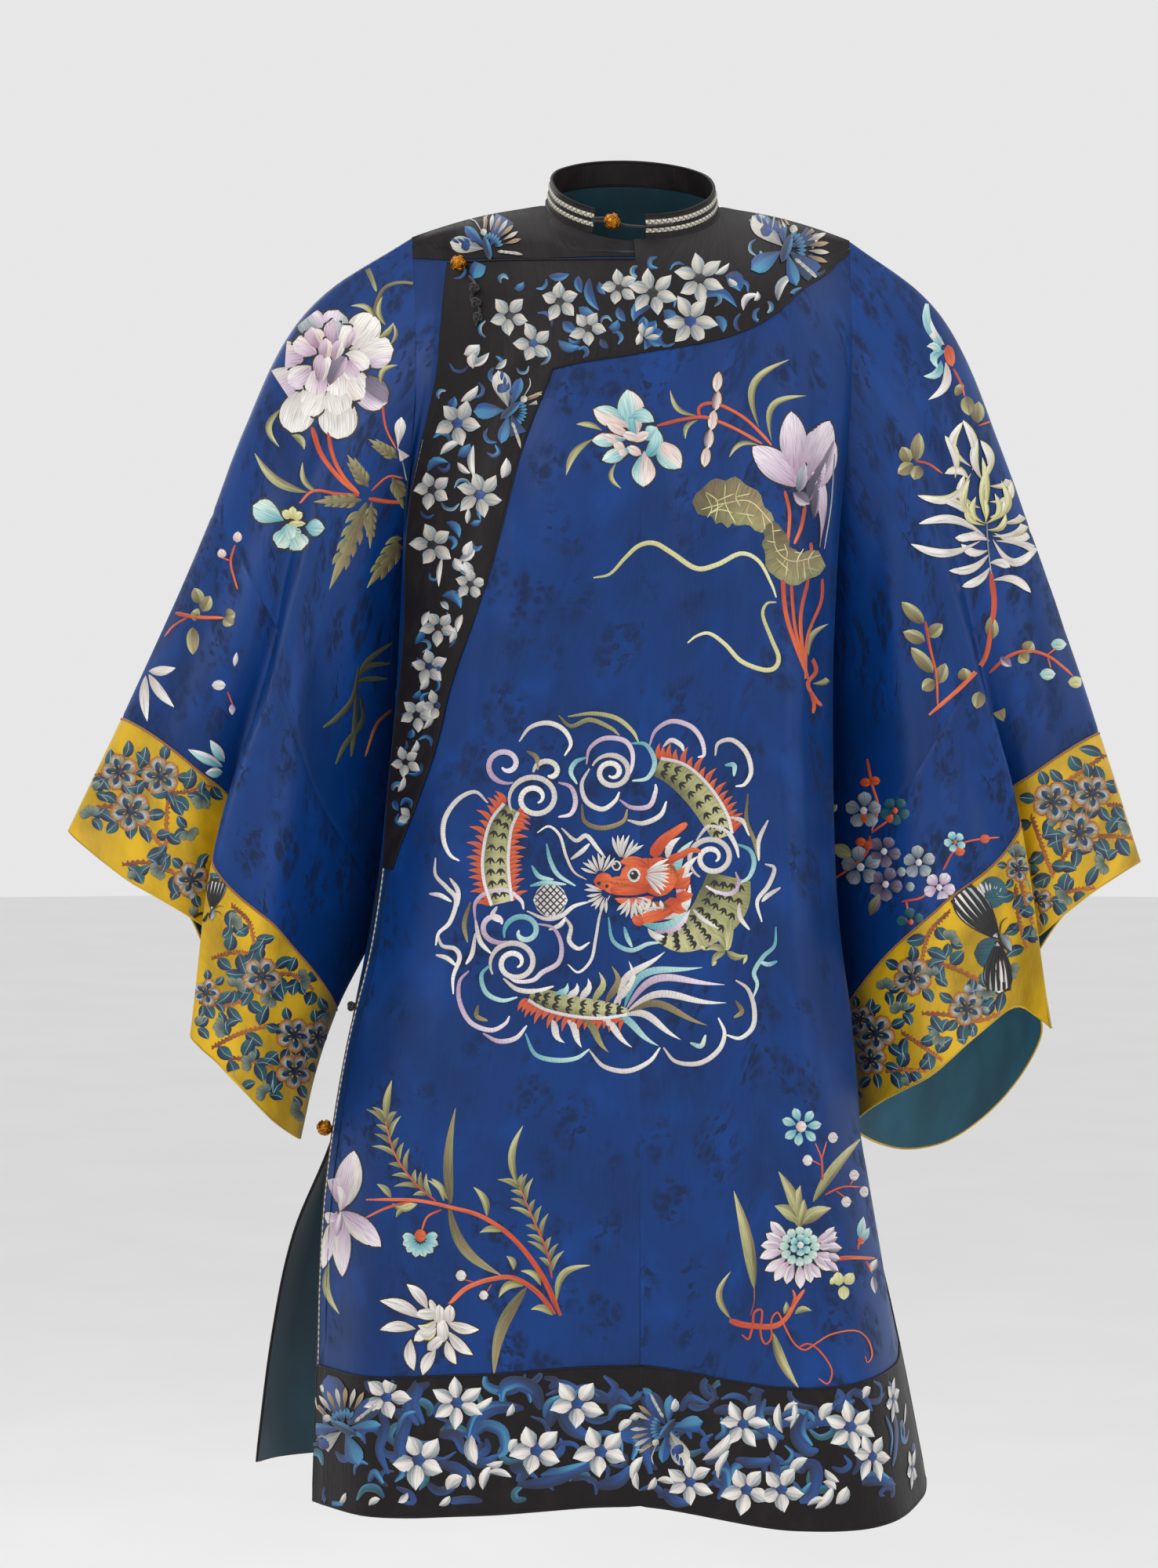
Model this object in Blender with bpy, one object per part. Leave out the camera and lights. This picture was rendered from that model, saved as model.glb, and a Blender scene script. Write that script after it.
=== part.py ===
"""Lady's side-fastening silk robe of Han Chinese cut, worn, with wide cuffed sleeves.

Metres, +Z up. The wearer faces -Y, so the wearer's left is +X. The origin lies in the middle of the
neck, between the tops of the shoulders, where the wearer carries the robe. Tables are in millimetres.

The cloth is worked out as three surfaces. front() and back() take a share across half the body, from
the centre seam (0) to the side (1), and a height. sleeve() takes a place round the tube and a place
along it. Each piece is a stretch of one of them, given a wall. What lies on a panel, such as the yoke,
is made from the panel's own points, moved out.
"""
import math
from collections import namedtuple

import bmesh
import bpy
import numpy as np

MM = 0.001

# Cloth
CLOTH = 1.2 * MM  # silk with its lining
SATIN = 1.0 * MM  # applied black satin
SEAM = 0.3 * MM  # gap between pieces at a seam
LAP = 5.0 * MM  # how far the inner front lies under the outer one
LAP_FROM, LAP_TO = -38 * MM, -57 * MM  # heights between which it dips under

# Neck and collar
NECK_WIDE, NECK_DEEP, NECK_BACK = 66 * MM, 68 * MM, -8 * MM
NECK_HEIGHT = -14 * MM
NECK_FRONT_SLOPE, NECK_BACK_SLOPE = 0.43, 0.30
NECK_SHARE = 0.38  # share of the top line that follows the neck
COLLAR_HIGH, COLLAR_THICK, COLLAR_LEAN, COLLAR_IN = 17 * MM, 2.0 * MM, 2.5 * MM, 0.9 * MM
COLLAR_BASE = 1.5 * MM
COLLAR_STEPS = 34
COLLAR_OPENS, COLLAR_CLOSES = 2, 326  # degrees round the neck from the front towards +X
CENTRE_SEAM = -7 * MM
CHEST = -150 * MM  # height where the shoulder's curve ends
FLAT_START, STEEP_START, STEEP_TO = 14, 34, 0.75  # fall of the cloth at the top line, in degrees
EDGE = 0.80  # share across, of the fold on the left and of the free edge on the right
YOKE_TOP = -62 * MM  # top edge of the overlap

# Heights
ARMPIT, SLIT_TOP = -385 * MM, -720 * MM
SHOULDER_HIGH = -41 * MM
RIDGE_RISE = 3.5 * MM  # how far the shoulder's ridge bows up between neck and sleeve
HEM_BAND = 104 * MM
INNER_HEM = -700 * MM

# Hem: how far each place across hangs below the hem height
HEM = -990 * MM
Drop = namedtuple("Drop", "across drop")
FRONT_DROP = (
    Drop(-0.80, 8), Drop(-0.40, 3), Drop(0.0, -2), Drop(0.35, 12), Drop(0.70, 9), Drop(1.0, 4),
)

# The side line, where front and back meet or part: (height, x, y)
Side = namedtuple("Side", "z x y")
SIDE_LEFT = (
    Side(-41, 168, 2), Side(-90, 165, 1), Side(-150, 162, 0), Side(-250, 156, 2),
    Side(-350, 152, 4), Side(-385, 151, 5), Side(-450, 151, 3), Side(-550, 153, 4),
    Side(-650, 156, 8), Side(-720, 160, 10), Side(-800, 187, 18), Side(-880, 206, 24),
    Side(-1010, 231, 34),
)
SIDE_RIGHT = (
    Side(-41, -167, 2), Side(-90, -167, 1), Side(-150, -168, 0), Side(-250, -175, 2),
    Side(-350, -178, 3), Side(-385, -179, 4), Side(-450, -184, 2), Side(-550, -197, 2),
    Side(-650, -215, 3), Side(-720, -227, 4), Side(-800, -256, 11), Side(-880, -272, 20),
    Side(-1010, -287, 40),
)
# How far front and back stand from the side line, in the armhole and in the slit
ARMHOLE_FORE, ARMHOLE_AFT, ARMHOLE_PEAK = 50 * MM, 45 * MM, 1.35
SLIT_LONG = 270 * MM
Slit = namedtuple("Slit", "fore aft power")
SLIT = {1: Slit(46 * MM, 48 * MM, 0.8), -1: Slit(0.0, 60 * MM, 0.6)}

# Level sections of the front: depth at the centre, the quarter and near the fold, then the fold itself
FRONT_PLACES = (0.0, 0.36, 0.70, EDGE, 1.0)
NEAR = 22 * MM  # how far inside the fold the third place lies
Front = namedtuple("Front", "z centre quarter near fold_x fold_y")
FRONT_LEFT = (
    Front(-150, -116, -111, -88, 150, -66),
    Front(-250, -124, -120, -102, 145, -72),
    Front(-350, -122, -119, -104, 143, -74),
    Front(-450, -119, -118, -106, 143, -76),
    Front(-550, -118, -119, -108, 147, -77),
    Front(-650, -119, -122, -110, 156, -77),
    Front(-720, -120, -126, -112, 163, -76),
    Front(-800, -121, -133, -114, 177, -74),
    Front(-880, -121, -141, -118, 189, -76),
    Front(-1010, -122, -154, -125, 216, -74),
)
FRONT_RIGHT = (
    Front(-150, -116, -110, -86, -153, -62),
    Front(-250, -124, -118, -94, -173, -50),
    Front(-350, -122, -117, -94, -177, -48),
    Front(-450, -119, -114, -90, -188, -48),
    Front(-550, -118, -113, -88, -197, -48),
    Front(-650, -119, -114, -86, -220, -46),
    Front(-720, -120, -116, -84, -232, -44),
    Front(-800, -121, -118, -82, -240, -38),
    Front(-880, -121, -119, -80, -242, -34),
    Front(-1010, -122, -121, -78, -247, -30),
)
# Level sections of the back: depth at the centre and the quarter, then the corner on each side
BACK_PLACES = (0.0, 0.42, 0.82, 1.0)
Back = namedtuple("Back", "z centre quarter left_x left_y right_x right_y")
BACK = (
    Back(-150, 84, 82, 148, 58, -150, 58),
    Back(-250, 96, 93, 146, 62, -162, 62),
    Back(-350, 101, 97, 144, 60, -170, 60),
    Back(-450, 104, 103, 147, 60, -178, 60),
    Back(-550, 108, 112, 153, 64, -190, 64),
    Back(-650, 113, 121, 160, 70, -205, 70),
    Back(-720, 117, 128, 168, 76, -220, 76),
    Back(-800, 122, 136, 182, 86, -238, 88),
    Back(-880, 127, 143, 196, 98, -252, 101),
    Back(-1010, 134, 152, 212, 118, -266, 124),
)
# Lower edge of the yoke, front and back, and the inner edge of the lapel on the overlap
Edge = namedtuple("Edge", "across z")
YOKE_LEFT = (Edge(0.0, -132), Edge(0.25, -121), Edge(0.5, -103), Edge(0.75, -74), Edge(1.0, -51))
YOKE_RIGHT = (Edge(0.0, -132), Edge(0.36, -146), Edge(0.5, -157), Edge(0.8, -172))
YOKE_BACK = (Edge(0.0, -118), Edge(0.25, -112), Edge(0.5, -95), Edge(0.75, -70), Edge(1.0, -51))
Lapel = namedtuple("Lapel", "z x")
LAPEL = (
    Lapel(-100, -66), Lapel(-150, -72), Lapel(-189, -90), Lapel(-233, -103), Lapel(-310, -124),
    Lapel(-369, -144), Lapel(-431, -159), Lapel(-500, -184), Lapel(-516, -192),
)
LAPEL_END = -516 * MM
TIP_SHARE = 0.035  # share across that the lapel's tip still covers

# Places outside the robe, from which the outer side of a panel is judged
BEFORE, BEHIND, IN_FRONT_OF_RIGHT = (0.0, -3.0, -0.4), (0.0, 3.0, -0.4), (-0.09, -2.0, -0.4)

# Sleeves. The columns run round the tube from the top fold, down the front and up the back.
COLUMNS = (
    "top", "brow", "pleat", "under", "fold", "hollow", "belly", "low",
    "seam", "back_low", "back_belly", "back_mid", "back_high", "back_brow", "back_top",
)
Profile = namedtuple("Profile", "down fore root_down")
PROFILE = (
    Profile(0.00, -2, 0.00), Profile(0.09, -40, 0.09), Profile(0.21, -52, 0.20),
    Profile(0.29, -53, 0.29), Profile(0.37, -56, 0.38), Profile(0.46, -56, 0.48),
    Profile(0.64, -52, 0.65), Profile(0.84, -36, 0.84), Profile(1.00, -2, 1.00),
    Profile(0.86, 22, 0.86), Profile(0.70, 36, 0.70), Profile(0.54, 44, 0.54),
    Profile(0.38, 48, 0.38), Profile(0.23, 48, 0.23), Profile(0.09, 36, 0.09),
)
SEAM_COLUMN = COLUMNS.index("seam")
Station = namedtuple("Station", "name along top seam")
STATIONS = {
    1: (
        Station("root", 0.0, (168, 2, -41), (151, 5, -385)),
        Station("shoulder", 0.14, (229, 0, -86), (162, 2, -430)),
        Station("elbow", 0.38, (286, -5, -202), (166, 0, -508)),
        Station("extension", 0.50, (308, -8, -262), (168, -2, -550)),
        Station("cuff", 0.80, (362, -15, -418), (172, -4, -632)),
        Station("hem", 1.0, (391, -30, -516), (173, -2, -722)),
    ),
    -1: (
        Station("root", 0.0, (-167, 2, -41), (-179, 4, -385)),
        Station("shoulder", 0.14, (-236, 0, -86), (-192, 2, -430)),
        Station("elbow", 0.38, (-297, -5, -192), (-208, 0, -506)),
        Station("extension", 0.50, (-319, -8, -250), (-215, -3, -548)),
        Station("cuff", 0.80, (-388, -15, -404), (-233, -6, -628)),
        Station("hem", 1.0, (-428, -30, -487), (-254, -10, -724)),
    ),
}
Ring = namedtuple("Ring", COLUMNS)
CUFF_RING = {
    1: Ring(
        (362, -15, -418), (328, -48, -431), (300, -52, -449), (281, -40, -466), (288, -76, -484),
        (270, -68, -514), (227, -76, -546), (192, -50, -586), (172, -4, -632), (206, 34, -618),
        (246, 50, -588), (278, 50, -548), (300, 46, -510), (319, 36, -470), (345, 16, -437),
    ),
    -1: Ring(
        (-388, -15, -404), (-360, -48, -419), (-329, -52, -444), (-304, -40, -470), (-322, -80, -506),
        (-303, -86, -533), (-276, -80, -556), (-252, -54, -586), (-233, -6, -628), (-256, 26, -614),
        (-286, 42, -584), (-312, 47, -548), (-332, 44, -508), (-350, 33, -466), (-373, 13, -426),
    ),
}
HEM_RING = {
    1: Ring(
        (391, -30, -516), (351, -50, -537), (311, -52, -568), (290, -34, -596), (311, -84, -638),
        (286, -64, -624), (222, -82, -671), (188, -52, -695), (173, -2, -722), (214, 44, -745),
        (259, 60, -742), (302, 55, -708), (330, 42, -655), (320, 38, -606), (352, 12, -548),
    ),
    -1: Ring(
        (-428, -30, -487), (-384, -50, -523), (-336, -52, -552), (-303, -36, -588), (-338, -84, -633),
        (-320, -90, -655), (-298, -84, -679), (-275, -60, -705), (-254, -10, -724), (-274, 24, -705),
        (-300, 40, -675), (-318, 46, -640), (-322, 42, -598), (-340, 32, -552), (-388, 4, -508),
    ),
}
PLEAT_FROM = 0.22  # place along the sleeve where the pleat begins
ROOT_BLEND = 0.16  # stretch over which the sleeve takes the armhole's line
ROOT_CLEAR = 0.7 * MM  # how far the sleeve's end stands off the armhole's line
TUBE_STEPS = 2  # points in each column's stretch

# Fastenings
BALL, KNOT = 6.2 * MM, 3.4 * MM  # radii of a button and of the small knot
CORD = 1.6 * MM
LOOP_OUT, LOOP_REST = 4.0 * MM, 1.5 * MM  # how far the collar's loop stands before its ends
Spot = namedtuple("Spot", "x z")
CHEST_BALL = Spot(-131, -66)
CHEST_FROG = (Spot(-127, -74), Spot(-123, -82), Spot(-126, -92), Spot(-121, -100), Spot(-124, -112))
KNOT_HEIGHT, SLIT_BALL_HEIGHT = -620 * MM, -712 * MM

# Rows and columns of the panels' grids
YOKE_ROWS, CHEST_ROWS, ARM_ROWS, SKIRT_ROWS, BAND_ROWS = 4, 3, 5, 6, 1
ROWS = (YOKE_ROWS, CHEST_ROWS, ARM_ROWS, SKIRT_ROWS, BAND_ROWS)
LAPEL_ROWS, LAPEL_COLUMNS, OVERLAP_COLUMNS = 6, 4, 7
INNER_ROWS = (3, 2, 7)
YOKE_BELOW, LAPEL_TURN, BACK_DROP = -200 * MM, -235 * MM, 4 * MM
LEVEL_AT = 0.4  # share across at which the overlap's rows are levelled
RIDGE_FROM = 6  # column where the shoulder's ridge begins
NECK_SHARES = [NECK_SHARE * k / RIDGE_FROM for k in range(RIDGE_FROM + 1)]
SIDE_END = 0.997  # the panels stop short of the armhole's line by a seam's gap
LEFT_SHARES = NECK_SHARES + [0.47, 0.56, 0.64, 0.70, 0.75, 0.79, 0.83, 0.89, SIDE_END]
INNER_SHARES = NECK_SHARES + [0.50, 0.62, 0.70, 0.75, 0.80, 0.85, 0.91, SIDE_END]
BACK_SHARES = NECK_SHARES + [0.50, 0.62, 0.73, 0.81, 0.88, SIDE_END]
LEAST_YOKE = 2 * MM  # least height of a yoke at its outer end
DIP_INSET = 0.02  # how far inside the free edge the inner front starts to rise again

# Pieces of a sleeve, each between two places along it
Part = namedtuple("Part", "name slot first last steps")
PARTS = (
    Part("sleeve", "silk", 0.0030, 0.50, 5),
    Part("sleeve_end", "silk", 0.50, 0.80, 3),
    Part("cuff", "cuff", 0.80, 1.0, 2),
)
SLEEVE_LONG = 0.54  # length in metres that one whole step along a sleeve stands for

COLOURS = {
    "silk": ((0.012, 0.042, 0.215), 0.45),
    "satin": ((0.015, 0.011, 0.012), 0.42),
    "cuff": ((0.56, 0.37, 0.02), 0.45),
    "gilt": ((0.50, 0.20, 0.02), 0.35),
    "cord": ((0.01, 0.01, 0.012), 0.7),
}


def clear_scene():
    for item in list(bpy.data.objects):
        bpy.data.objects.remove(item, do_unlink=True)


def through(keys, rows, at):
    """Smooth curve through the rows at their rising keys, read at one key."""
    keys = np.asarray(keys, float)
    rows = np.asarray(rows, float)
    slopes = np.gradient(rows, keys, axis=0)
    i = int(np.clip(np.searchsorted(keys, at) - 1, 0, len(keys) - 2))
    span = keys[i + 1] - keys[i]
    t = (at - keys[i]) / span
    start = rows[i] * (1 + 2 * t) * (1 - t) ** 2 + slopes[i] * span * t * (1 - t) ** 2
    return start + rows[i + 1] * t * t * (3 - 2 * t) + slopes[i + 1] * span * t * t * (t - 1)


def ease(value):
    value = min(max(value, 0.0), 1.0)
    return value * value * (3 - 2 * value)


def table(rows, sign, read):
    """(heights, values) of a table in metres, lowest row first."""
    rows = sorted(rows, key=lambda row: row.z)
    return [row.z * MM for row in rows], np.array([read(row, sign) for row in rows]) * MM


def front_columns(row, sign):
    near = (row.fold_x - sign * NEAR / MM, row.near)
    return ((CENTRE_SEAM / MM, row.centre), (row.fold_x / 2, row.quarter), near, (row.fold_x, row.fold_y))


def back_columns(row, sign):
    x, y = (row.left_x, row.left_y) if sign > 0 else (row.right_x, row.right_y)
    return ((CENTRE_SEAM / MM, row.centre), (x * 0.52, row.quarter), (x, y))


FRONT_TABLE = {1: table(FRONT_LEFT, 1, front_columns), -1: table(FRONT_RIGHT, -1, front_columns)}
BACK_TABLE = {sign: table(BACK, sign, back_columns) for sign in (1, -1)}
SIDE_TABLE = {
    1: table(SIDE_LEFT, 1, lambda row, sign: (row.x, row.y)),
    -1: table(SIDE_RIGHT, -1, lambda row, sign: (row.x, row.y)),
}


def side(sign, z, aft):
    """Edge of a front (aft=False) or of the back at a height: the armhole, the side seam or the slit."""
    x, y = through(*SIDE_TABLE[sign], z)
    armhole = min(max((z - ARMPIT) / (SHOULDER_HIGH - ARMPIT), 0.0), 1.0)
    away = math.sin(math.pi * armhole**ARMHOLE_PEAK) * (ARMHOLE_AFT if aft else ARMHOLE_FORE)
    if z < SLIT_TOP:
        slit = SLIT[sign]
        away += ((SLIT_TOP - z) / SLIT_LONG) ** slit.power * (slit.aft if aft else slit.fore)
    return np.array((x, y + away if aft else y - away))


def neck(angle):
    """Point of the neck's ring; the angle runs from the front towards +X."""
    x = NECK_WIDE * math.sin(angle)
    y = NECK_BACK - NECK_DEEP * math.cos(angle)
    slope = NECK_FRONT_SLOPE if y < 0 else NECK_BACK_SLOPE
    return np.array((x, y, NECK_HEIGHT + slope * y))


def top_line(sign, across, aft):
    """Upper edge of a half: the neck's ring, then the ridge of the shoulder."""
    start = math.asin(sign * CENTRE_SEAM / NECK_WIDE)
    if across <= NECK_SHARE:
        turn = start + (math.pi / 2 - start) * across / NECK_SHARE
        return neck(sign * (math.pi - turn if aft else turn))
    share = (across - NECK_SHARE) / (1 - NECK_SHARE)
    inner = neck(sign * math.pi / 2)
    outer = np.array((*side(sign, SHOULDER_HIGH, aft), SHOULDER_HIGH))
    point = inner + (outer - inner) * share
    point[2] += RIDGE_RISE * math.sin(math.pi * share)
    return point


def start_angle(across):
    """How steeply the cloth leaves the top line: flat on the shoulder, falling at the neck."""
    return math.radians(FLAT_START + STEEP_START * (1 - ease(across / STEEP_TO)))


def body(sign, across, z, aft):
    """Point of the outer surface of a front or back half, at a height below its top line."""
    heights, rows = BACK_TABLE[sign] if aft else FRONT_TABLE[sign]
    places = BACK_PLACES if aft else FRONT_PLACES
    level = min(z, CHEST)
    columns = np.vstack((through(heights, rows, level), side(sign, level, aft)))
    x, y = through(places, columns, across)
    if z <= CHEST:
        return np.array((x, y, z))
    top = top_line(sign, across, aft)
    first = start_angle(across)
    fall = min(max((top[2] - z) / (top[2] - CHEST), 0.0), 1.0)
    angle = math.acos(math.cos(first) * (1 - fall))
    spread = (math.sin(angle) - math.sin(first)) / (1 - math.sin(first))
    point = np.array((top[0] + (x - top[0]) * (fall + spread) / 2, top[1] + (y - top[1]) * spread, z))
    if across > NECK_SHARE:
        edge_fall = min(max((SHOULDER_HIGH - z) / (SHOULDER_HIGH - CHEST), 0.0), 1.0)
        edge_z = SHOULDER_HIGH + (CHEST - SHOULDER_HIGH) * edge_fall
        wanted = side(sign, edge_z, aft)
        rough = body_edge(sign, edge_z, aft)
        point[:2] += (wanted - rough) * ease((across - NECK_SHARE) / (1 - NECK_SHARE))
    return point


def body_edge(sign, z, aft):
    """The shoulder's own curve at the side, before it is drawn to the armhole's line."""
    top = np.array((*side(sign, SHOULDER_HIGH, aft), SHOULDER_HIGH))
    end = side(sign, CHEST, aft)
    first = start_angle(1.0)
    fall = (top[2] - z) / (top[2] - CHEST)
    angle = math.acos(math.cos(first) * (1 - min(max(fall, 0.0), 1.0)))
    spread = (math.sin(angle) - math.sin(first)) / (1 - math.sin(first))
    x = top[0] + (end[0] - top[0]) * (fall + spread) / 2
    return np.array((x, top[1] + (end[1] - top[1]) * spread))


def hem_height(sign, across):
    place = sign * across
    return HEM - through([d.across for d in FRONT_DROP], [d.drop * MM for d in FRONT_DROP], place)


def edge_height(edges, across):
    return through([e.across for e in edges], [e.z * MM for e in edges], across)


def across_at(sign, x, z):
    """Share across the front where its surface has this x, found by halving."""
    low, high = 0.0, EDGE
    for _ in range(30):
        middle = (low + high) / 2
        if sign * body(sign, middle, z, False)[0] < sign * x:
            low = middle
        else:
            high = middle
    return (low + high) / 2


def lapel_share(z):
    """Share across the right front of the lapel band's inner edge, or of the line that carries on from it."""
    rows = sorted(LAPEL, key=lambda row: row.z)
    held = min(max(z, LAPEL_END), LAPEL[0].z * MM)
    x = through([row.z * MM for row in rows], [row.x * MM for row in rows], held)
    share = across_at(-1, x, held)
    tip = EDGE - TIP_SHARE
    return min(share, tip) if z > LAPEL_END else tip


# ---------------------------------------------------------------- sleeves


def chord_ring(sign, station):
    """Plain ring between the top fold and the under seam."""
    top, seam = np.array(station.top, float), np.array(station.seam, float)
    points = []
    for row in PROFILE:
        point = top + (seam - top) * row.down
        point[1] += row.fore * math.sin(math.pi * min(1.0, row.down + 0.02)) ** 0.35
        points.append(point)
    points[0], points[SEAM_COLUMN] = top, seam
    return np.array(points) * MM


def root_ring(sign):
    points = []
    for column, row in enumerate(PROFILE):
        z = SHOULDER_HIGH + (ARMPIT - SHOULDER_HIGH) * row.root_down
        points.append((*side(sign, z, column > SEAM_COLUMN), z))
    return np.array(points)


def sleeve_rings(sign):
    """Rings at the stations; the cuff's own pleats fade out towards the shoulder."""
    stations = STATIONS[sign]
    cuff = np.array(CUFF_RING[sign]) * MM
    pleats = cuff - chord_ring(sign, stations[4])
    rings = [root_ring(sign)]
    for station in stations[1:4]:
        share = max(station.along - PLEAT_FROM, 0.0) / (stations[4].along - PLEAT_FROM)
        rings.append(chord_ring(sign, station) + pleats * share**1.2)
    rings += [cuff, np.array(HEM_RING[sign]) * MM]
    return [station.along for station in stations], np.array(rings)


SLEEVE_TABLE = {sign: sleeve_rings(sign) for sign in (1, -1)}


def round_ring(columns, place):
    """Smooth closed curve through a ring's columns, read at a place counted in columns."""
    count = len(columns)
    i = int(math.floor(place))
    t = place - i
    a, b, c, d = (columns[(i + k) % count] for k in (-1, 0, 1, 2))
    near = max(np.linalg.norm(c - b), 1e-6)
    into = (c - a) * min(near / max(np.linalg.norm(c - a), 1e-6), 0.5)
    out = (d - b) * min(near / max(np.linalg.norm(d - b), 1e-6), 0.5)
    start = b * (1 + 2 * t) * (1 - t) ** 2 + into * t * (1 - t) ** 2
    return start + c * t * t * (3 - 2 * t) + out * t * t * (t - 1)


def armhole_point(sign, place):
    """The armhole's exact line at a place round the sleeve."""
    count = len(COLUMNS)
    downs = [row.root_down for row in PROFILE] + [0.0]
    place %= count
    i = int(place)
    down = downs[i] + (downs[i + 1] - downs[i]) * (place - i)
    z = SHOULDER_HIGH + (ARMPIT - SHOULDER_HIGH) * down
    return np.array((*side(sign, z, place > SEAM_COLUMN), z))


def sleeve(sign, place, along):
    """Point of the sleeve's outer surface."""
    keys, rings = SLEEVE_TABLE[sign]
    point = round_ring(through(keys, rings, along), place)
    if along < ROOT_BLEND:
        drift = armhole_point(sign, place) - round_ring(rings[0], place)
        near = (1 - along / ROOT_BLEND) ** 2
        point = point + drift * near + np.array((sign * ROOT_CLEAR * near, 0, 0))
    return point


def sleeve_normal(sign, place, along):
    """Outward normal of the sleeve, from short steps along and round it."""
    round_way = sleeve(sign, place + 0.15, along) - sleeve(sign, place - 0.15, along)
    first, last = max(along - 0.006, 0.0), min(along + 0.006, 1.0)
    normal = np.cross(round_way, sleeve(sign, place, last) - sleeve(sign, place, first)) * -sign
    return normal / np.linalg.norm(normal)


# ---------------------------------------------------------------- making solids


def material(slot):
    made = bpy.data.materials.get(slot)
    if made:
        return made
    colour, rough = COLOURS[slot]
    made = bpy.data.materials.new(slot)
    made.use_nodes = True
    shader = made.node_tree.nodes["Principled BSDF"]
    shader.inputs["Base Color"].default_value = (*colour, 1)
    shader.inputs["Roughness"].default_value = rough
    shader.inputs["Metallic"].default_value = 0.9 if slot == "gilt" else 0.0
    return made


def add_object(name, mesh, slot):
    mesh.materials.append(material(slot))
    item = bpy.data.objects.new(name, mesh)
    bpy.context.scene.collection.objects.link(item)
    mesh.shade_smooth()
    mesh.set_sharp_from_angle(angle=math.radians(40))
    return item


def finish_bmesh(name, work, slot):
    bmesh.ops.triangulate(work, faces=work.faces[:])
    bmesh.ops.recalc_face_normals(work, faces=work.faces[:])
    mesh = bpy.data.meshes.new(name)
    work.to_mesh(mesh)
    work.free()
    return add_object(name, mesh, slot)


def grid_normals(grid, ring):
    """Unit normals of a grid of points; ring says that the columns close on themselves."""
    if ring:
        round_way = np.roll(grid, -1, axis=1) - np.roll(grid, 1, axis=1)
    else:
        round_way = np.gradient(grid, axis=1)
    normals = np.cross(round_way, np.gradient(grid, axis=0))
    return normals / np.linalg.norm(normals, axis=2, keepdims=True)


def wall(name, slot, grid, normals, low, high, cells=None, ring=False):
    """Closed wall between two distances from the grid, over the cells asked for.

    grid[row][column] is the surface, with normals that point outwards."""
    rows, columns = grid.shape[:2]
    work = bmesh.new()
    made = {}

    def vertex(row, column, layer):
        key = (row, column % columns if ring else column, layer)
        if key not in made:
            distance = high if layer else low
            made[key] = work.verts.new(grid[key[0], key[1]] + normals[key[0], key[1]] * distance)
        return made[key]

    used = set()
    for row in range(rows - 1):
        for column in range(columns if ring else columns - 1):
            if cells is None or cells(row, column):
                used.add((row, column))
    for row, column in sorted(used):
        corners = ((row, column), (row + 1, column), (row + 1, column + 1), (row, column + 1))
        for layer in (0, 1):
            face = [vertex(r, c, layer) for r, c in corners]
            work.faces.new(face if layer else face[::-1])
        wrap = (lambda c: c % columns) if ring else (lambda c: c)
        sides = (
            ((row, wrap(column - 1)), corners[0], corners[1]),
            ((row + 1, column), corners[1], corners[2]),
            ((row, wrap(column + 1)), corners[2], corners[3]),
            ((row - 1, column), corners[3], corners[0]),
        )
        for neighbour, a, b in sides:
            if neighbour not in used:
                work.faces.new((vertex(*a, 0), vertex(*b, 0), vertex(*b, 1), vertex(*a, 1)))
    return finish_bmesh(name, work, slot)


def square_edge(normals, rows, columns, axis):
    """Turns the normals of a piece's edge along its seam, so that two pieces meet face to face."""
    normals[rows, columns, axis] = 0
    normals[rows, columns] /= np.linalg.norm(normals[rows, columns], axis=-1, keepdims=True)


def facing(grid, normals, outside):
    """Turns the normals to the side that a point outside lies on, judged at the grid's middle."""
    row, column = grid.shape[0] // 2, grid.shape[1] // 2
    way = np.dot(normals[row, column], np.asarray(outside) - grid[row, column])
    return normals if way > 0 else -normals


# ---------------------------------------------------------------- fronts and back


def rows_between(levels, counts, across):
    """Heights from one level line to the next, each a function of the share across."""
    heights = []
    for first, last, count in zip(levels, levels[1:], counts):
        high, low = first(across), last(across)
        heights += [high + (low - high) * k / count for k in range(count)]
    return heights + [levels[-1](across)]


def round_start(heights, across, sign, aft, count):
    """Spaces the first heights evenly along the shoulder's curve instead of by height."""
    top, stop = heights[0], heights[count]
    base = top_line(sign, across, aft)[2]
    first = start_angle(across)

    def angle(z):
        return math.acos(math.cos(first) * (1 - min(max((base - z) / (base - CHEST), 0.0), 1.0)))

    turns = np.linspace(angle(top), angle(stop), count + 1)
    for k in range(1, count):
        heights[k] = base - (base - CHEST) * (1 - math.cos(turns[k]) / math.cos(first))
    return heights


def panel_grid(sign, shares, aft, levels, counts):
    """Points of a panel between its level lines, the top row drawn back from the shoulder's seam."""
    columns = []
    for across in shares:
        heights = rows_between(levels, counts, across)
        heights = round_start(heights, across, sign, aft, counts[0])
        column = [body(sign, across, z, aft) for z in heights]
        column[0][1] += SEAM / 2 if aft else -SEAM / 2
        columns.append(column)
    return np.array(columns).transpose(1, 0, 2)


def yoke_line(edges, sign, aft):
    """Lower edge of a yoke, at least a little below the top line."""
    return lambda across: min(edge_height(edges, across), top_line(sign, across, aft)[2] - LEAST_YOKE)


def front_left_grid():
    levels = (
        lambda a: top_line(1, a, False)[2],
        yoke_line(YOKE_LEFT, 1, False),
        lambda a: YOKE_BELOW,
        lambda a: ARMPIT,
        lambda a: hem_height(1, a) + HEM_BAND,
        lambda a: hem_height(1, a),
    )
    grid = panel_grid(1, LEFT_SHARES, False, levels, ROWS)
    grid[:, 0, 0] += SEAM / 2
    return grid


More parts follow.
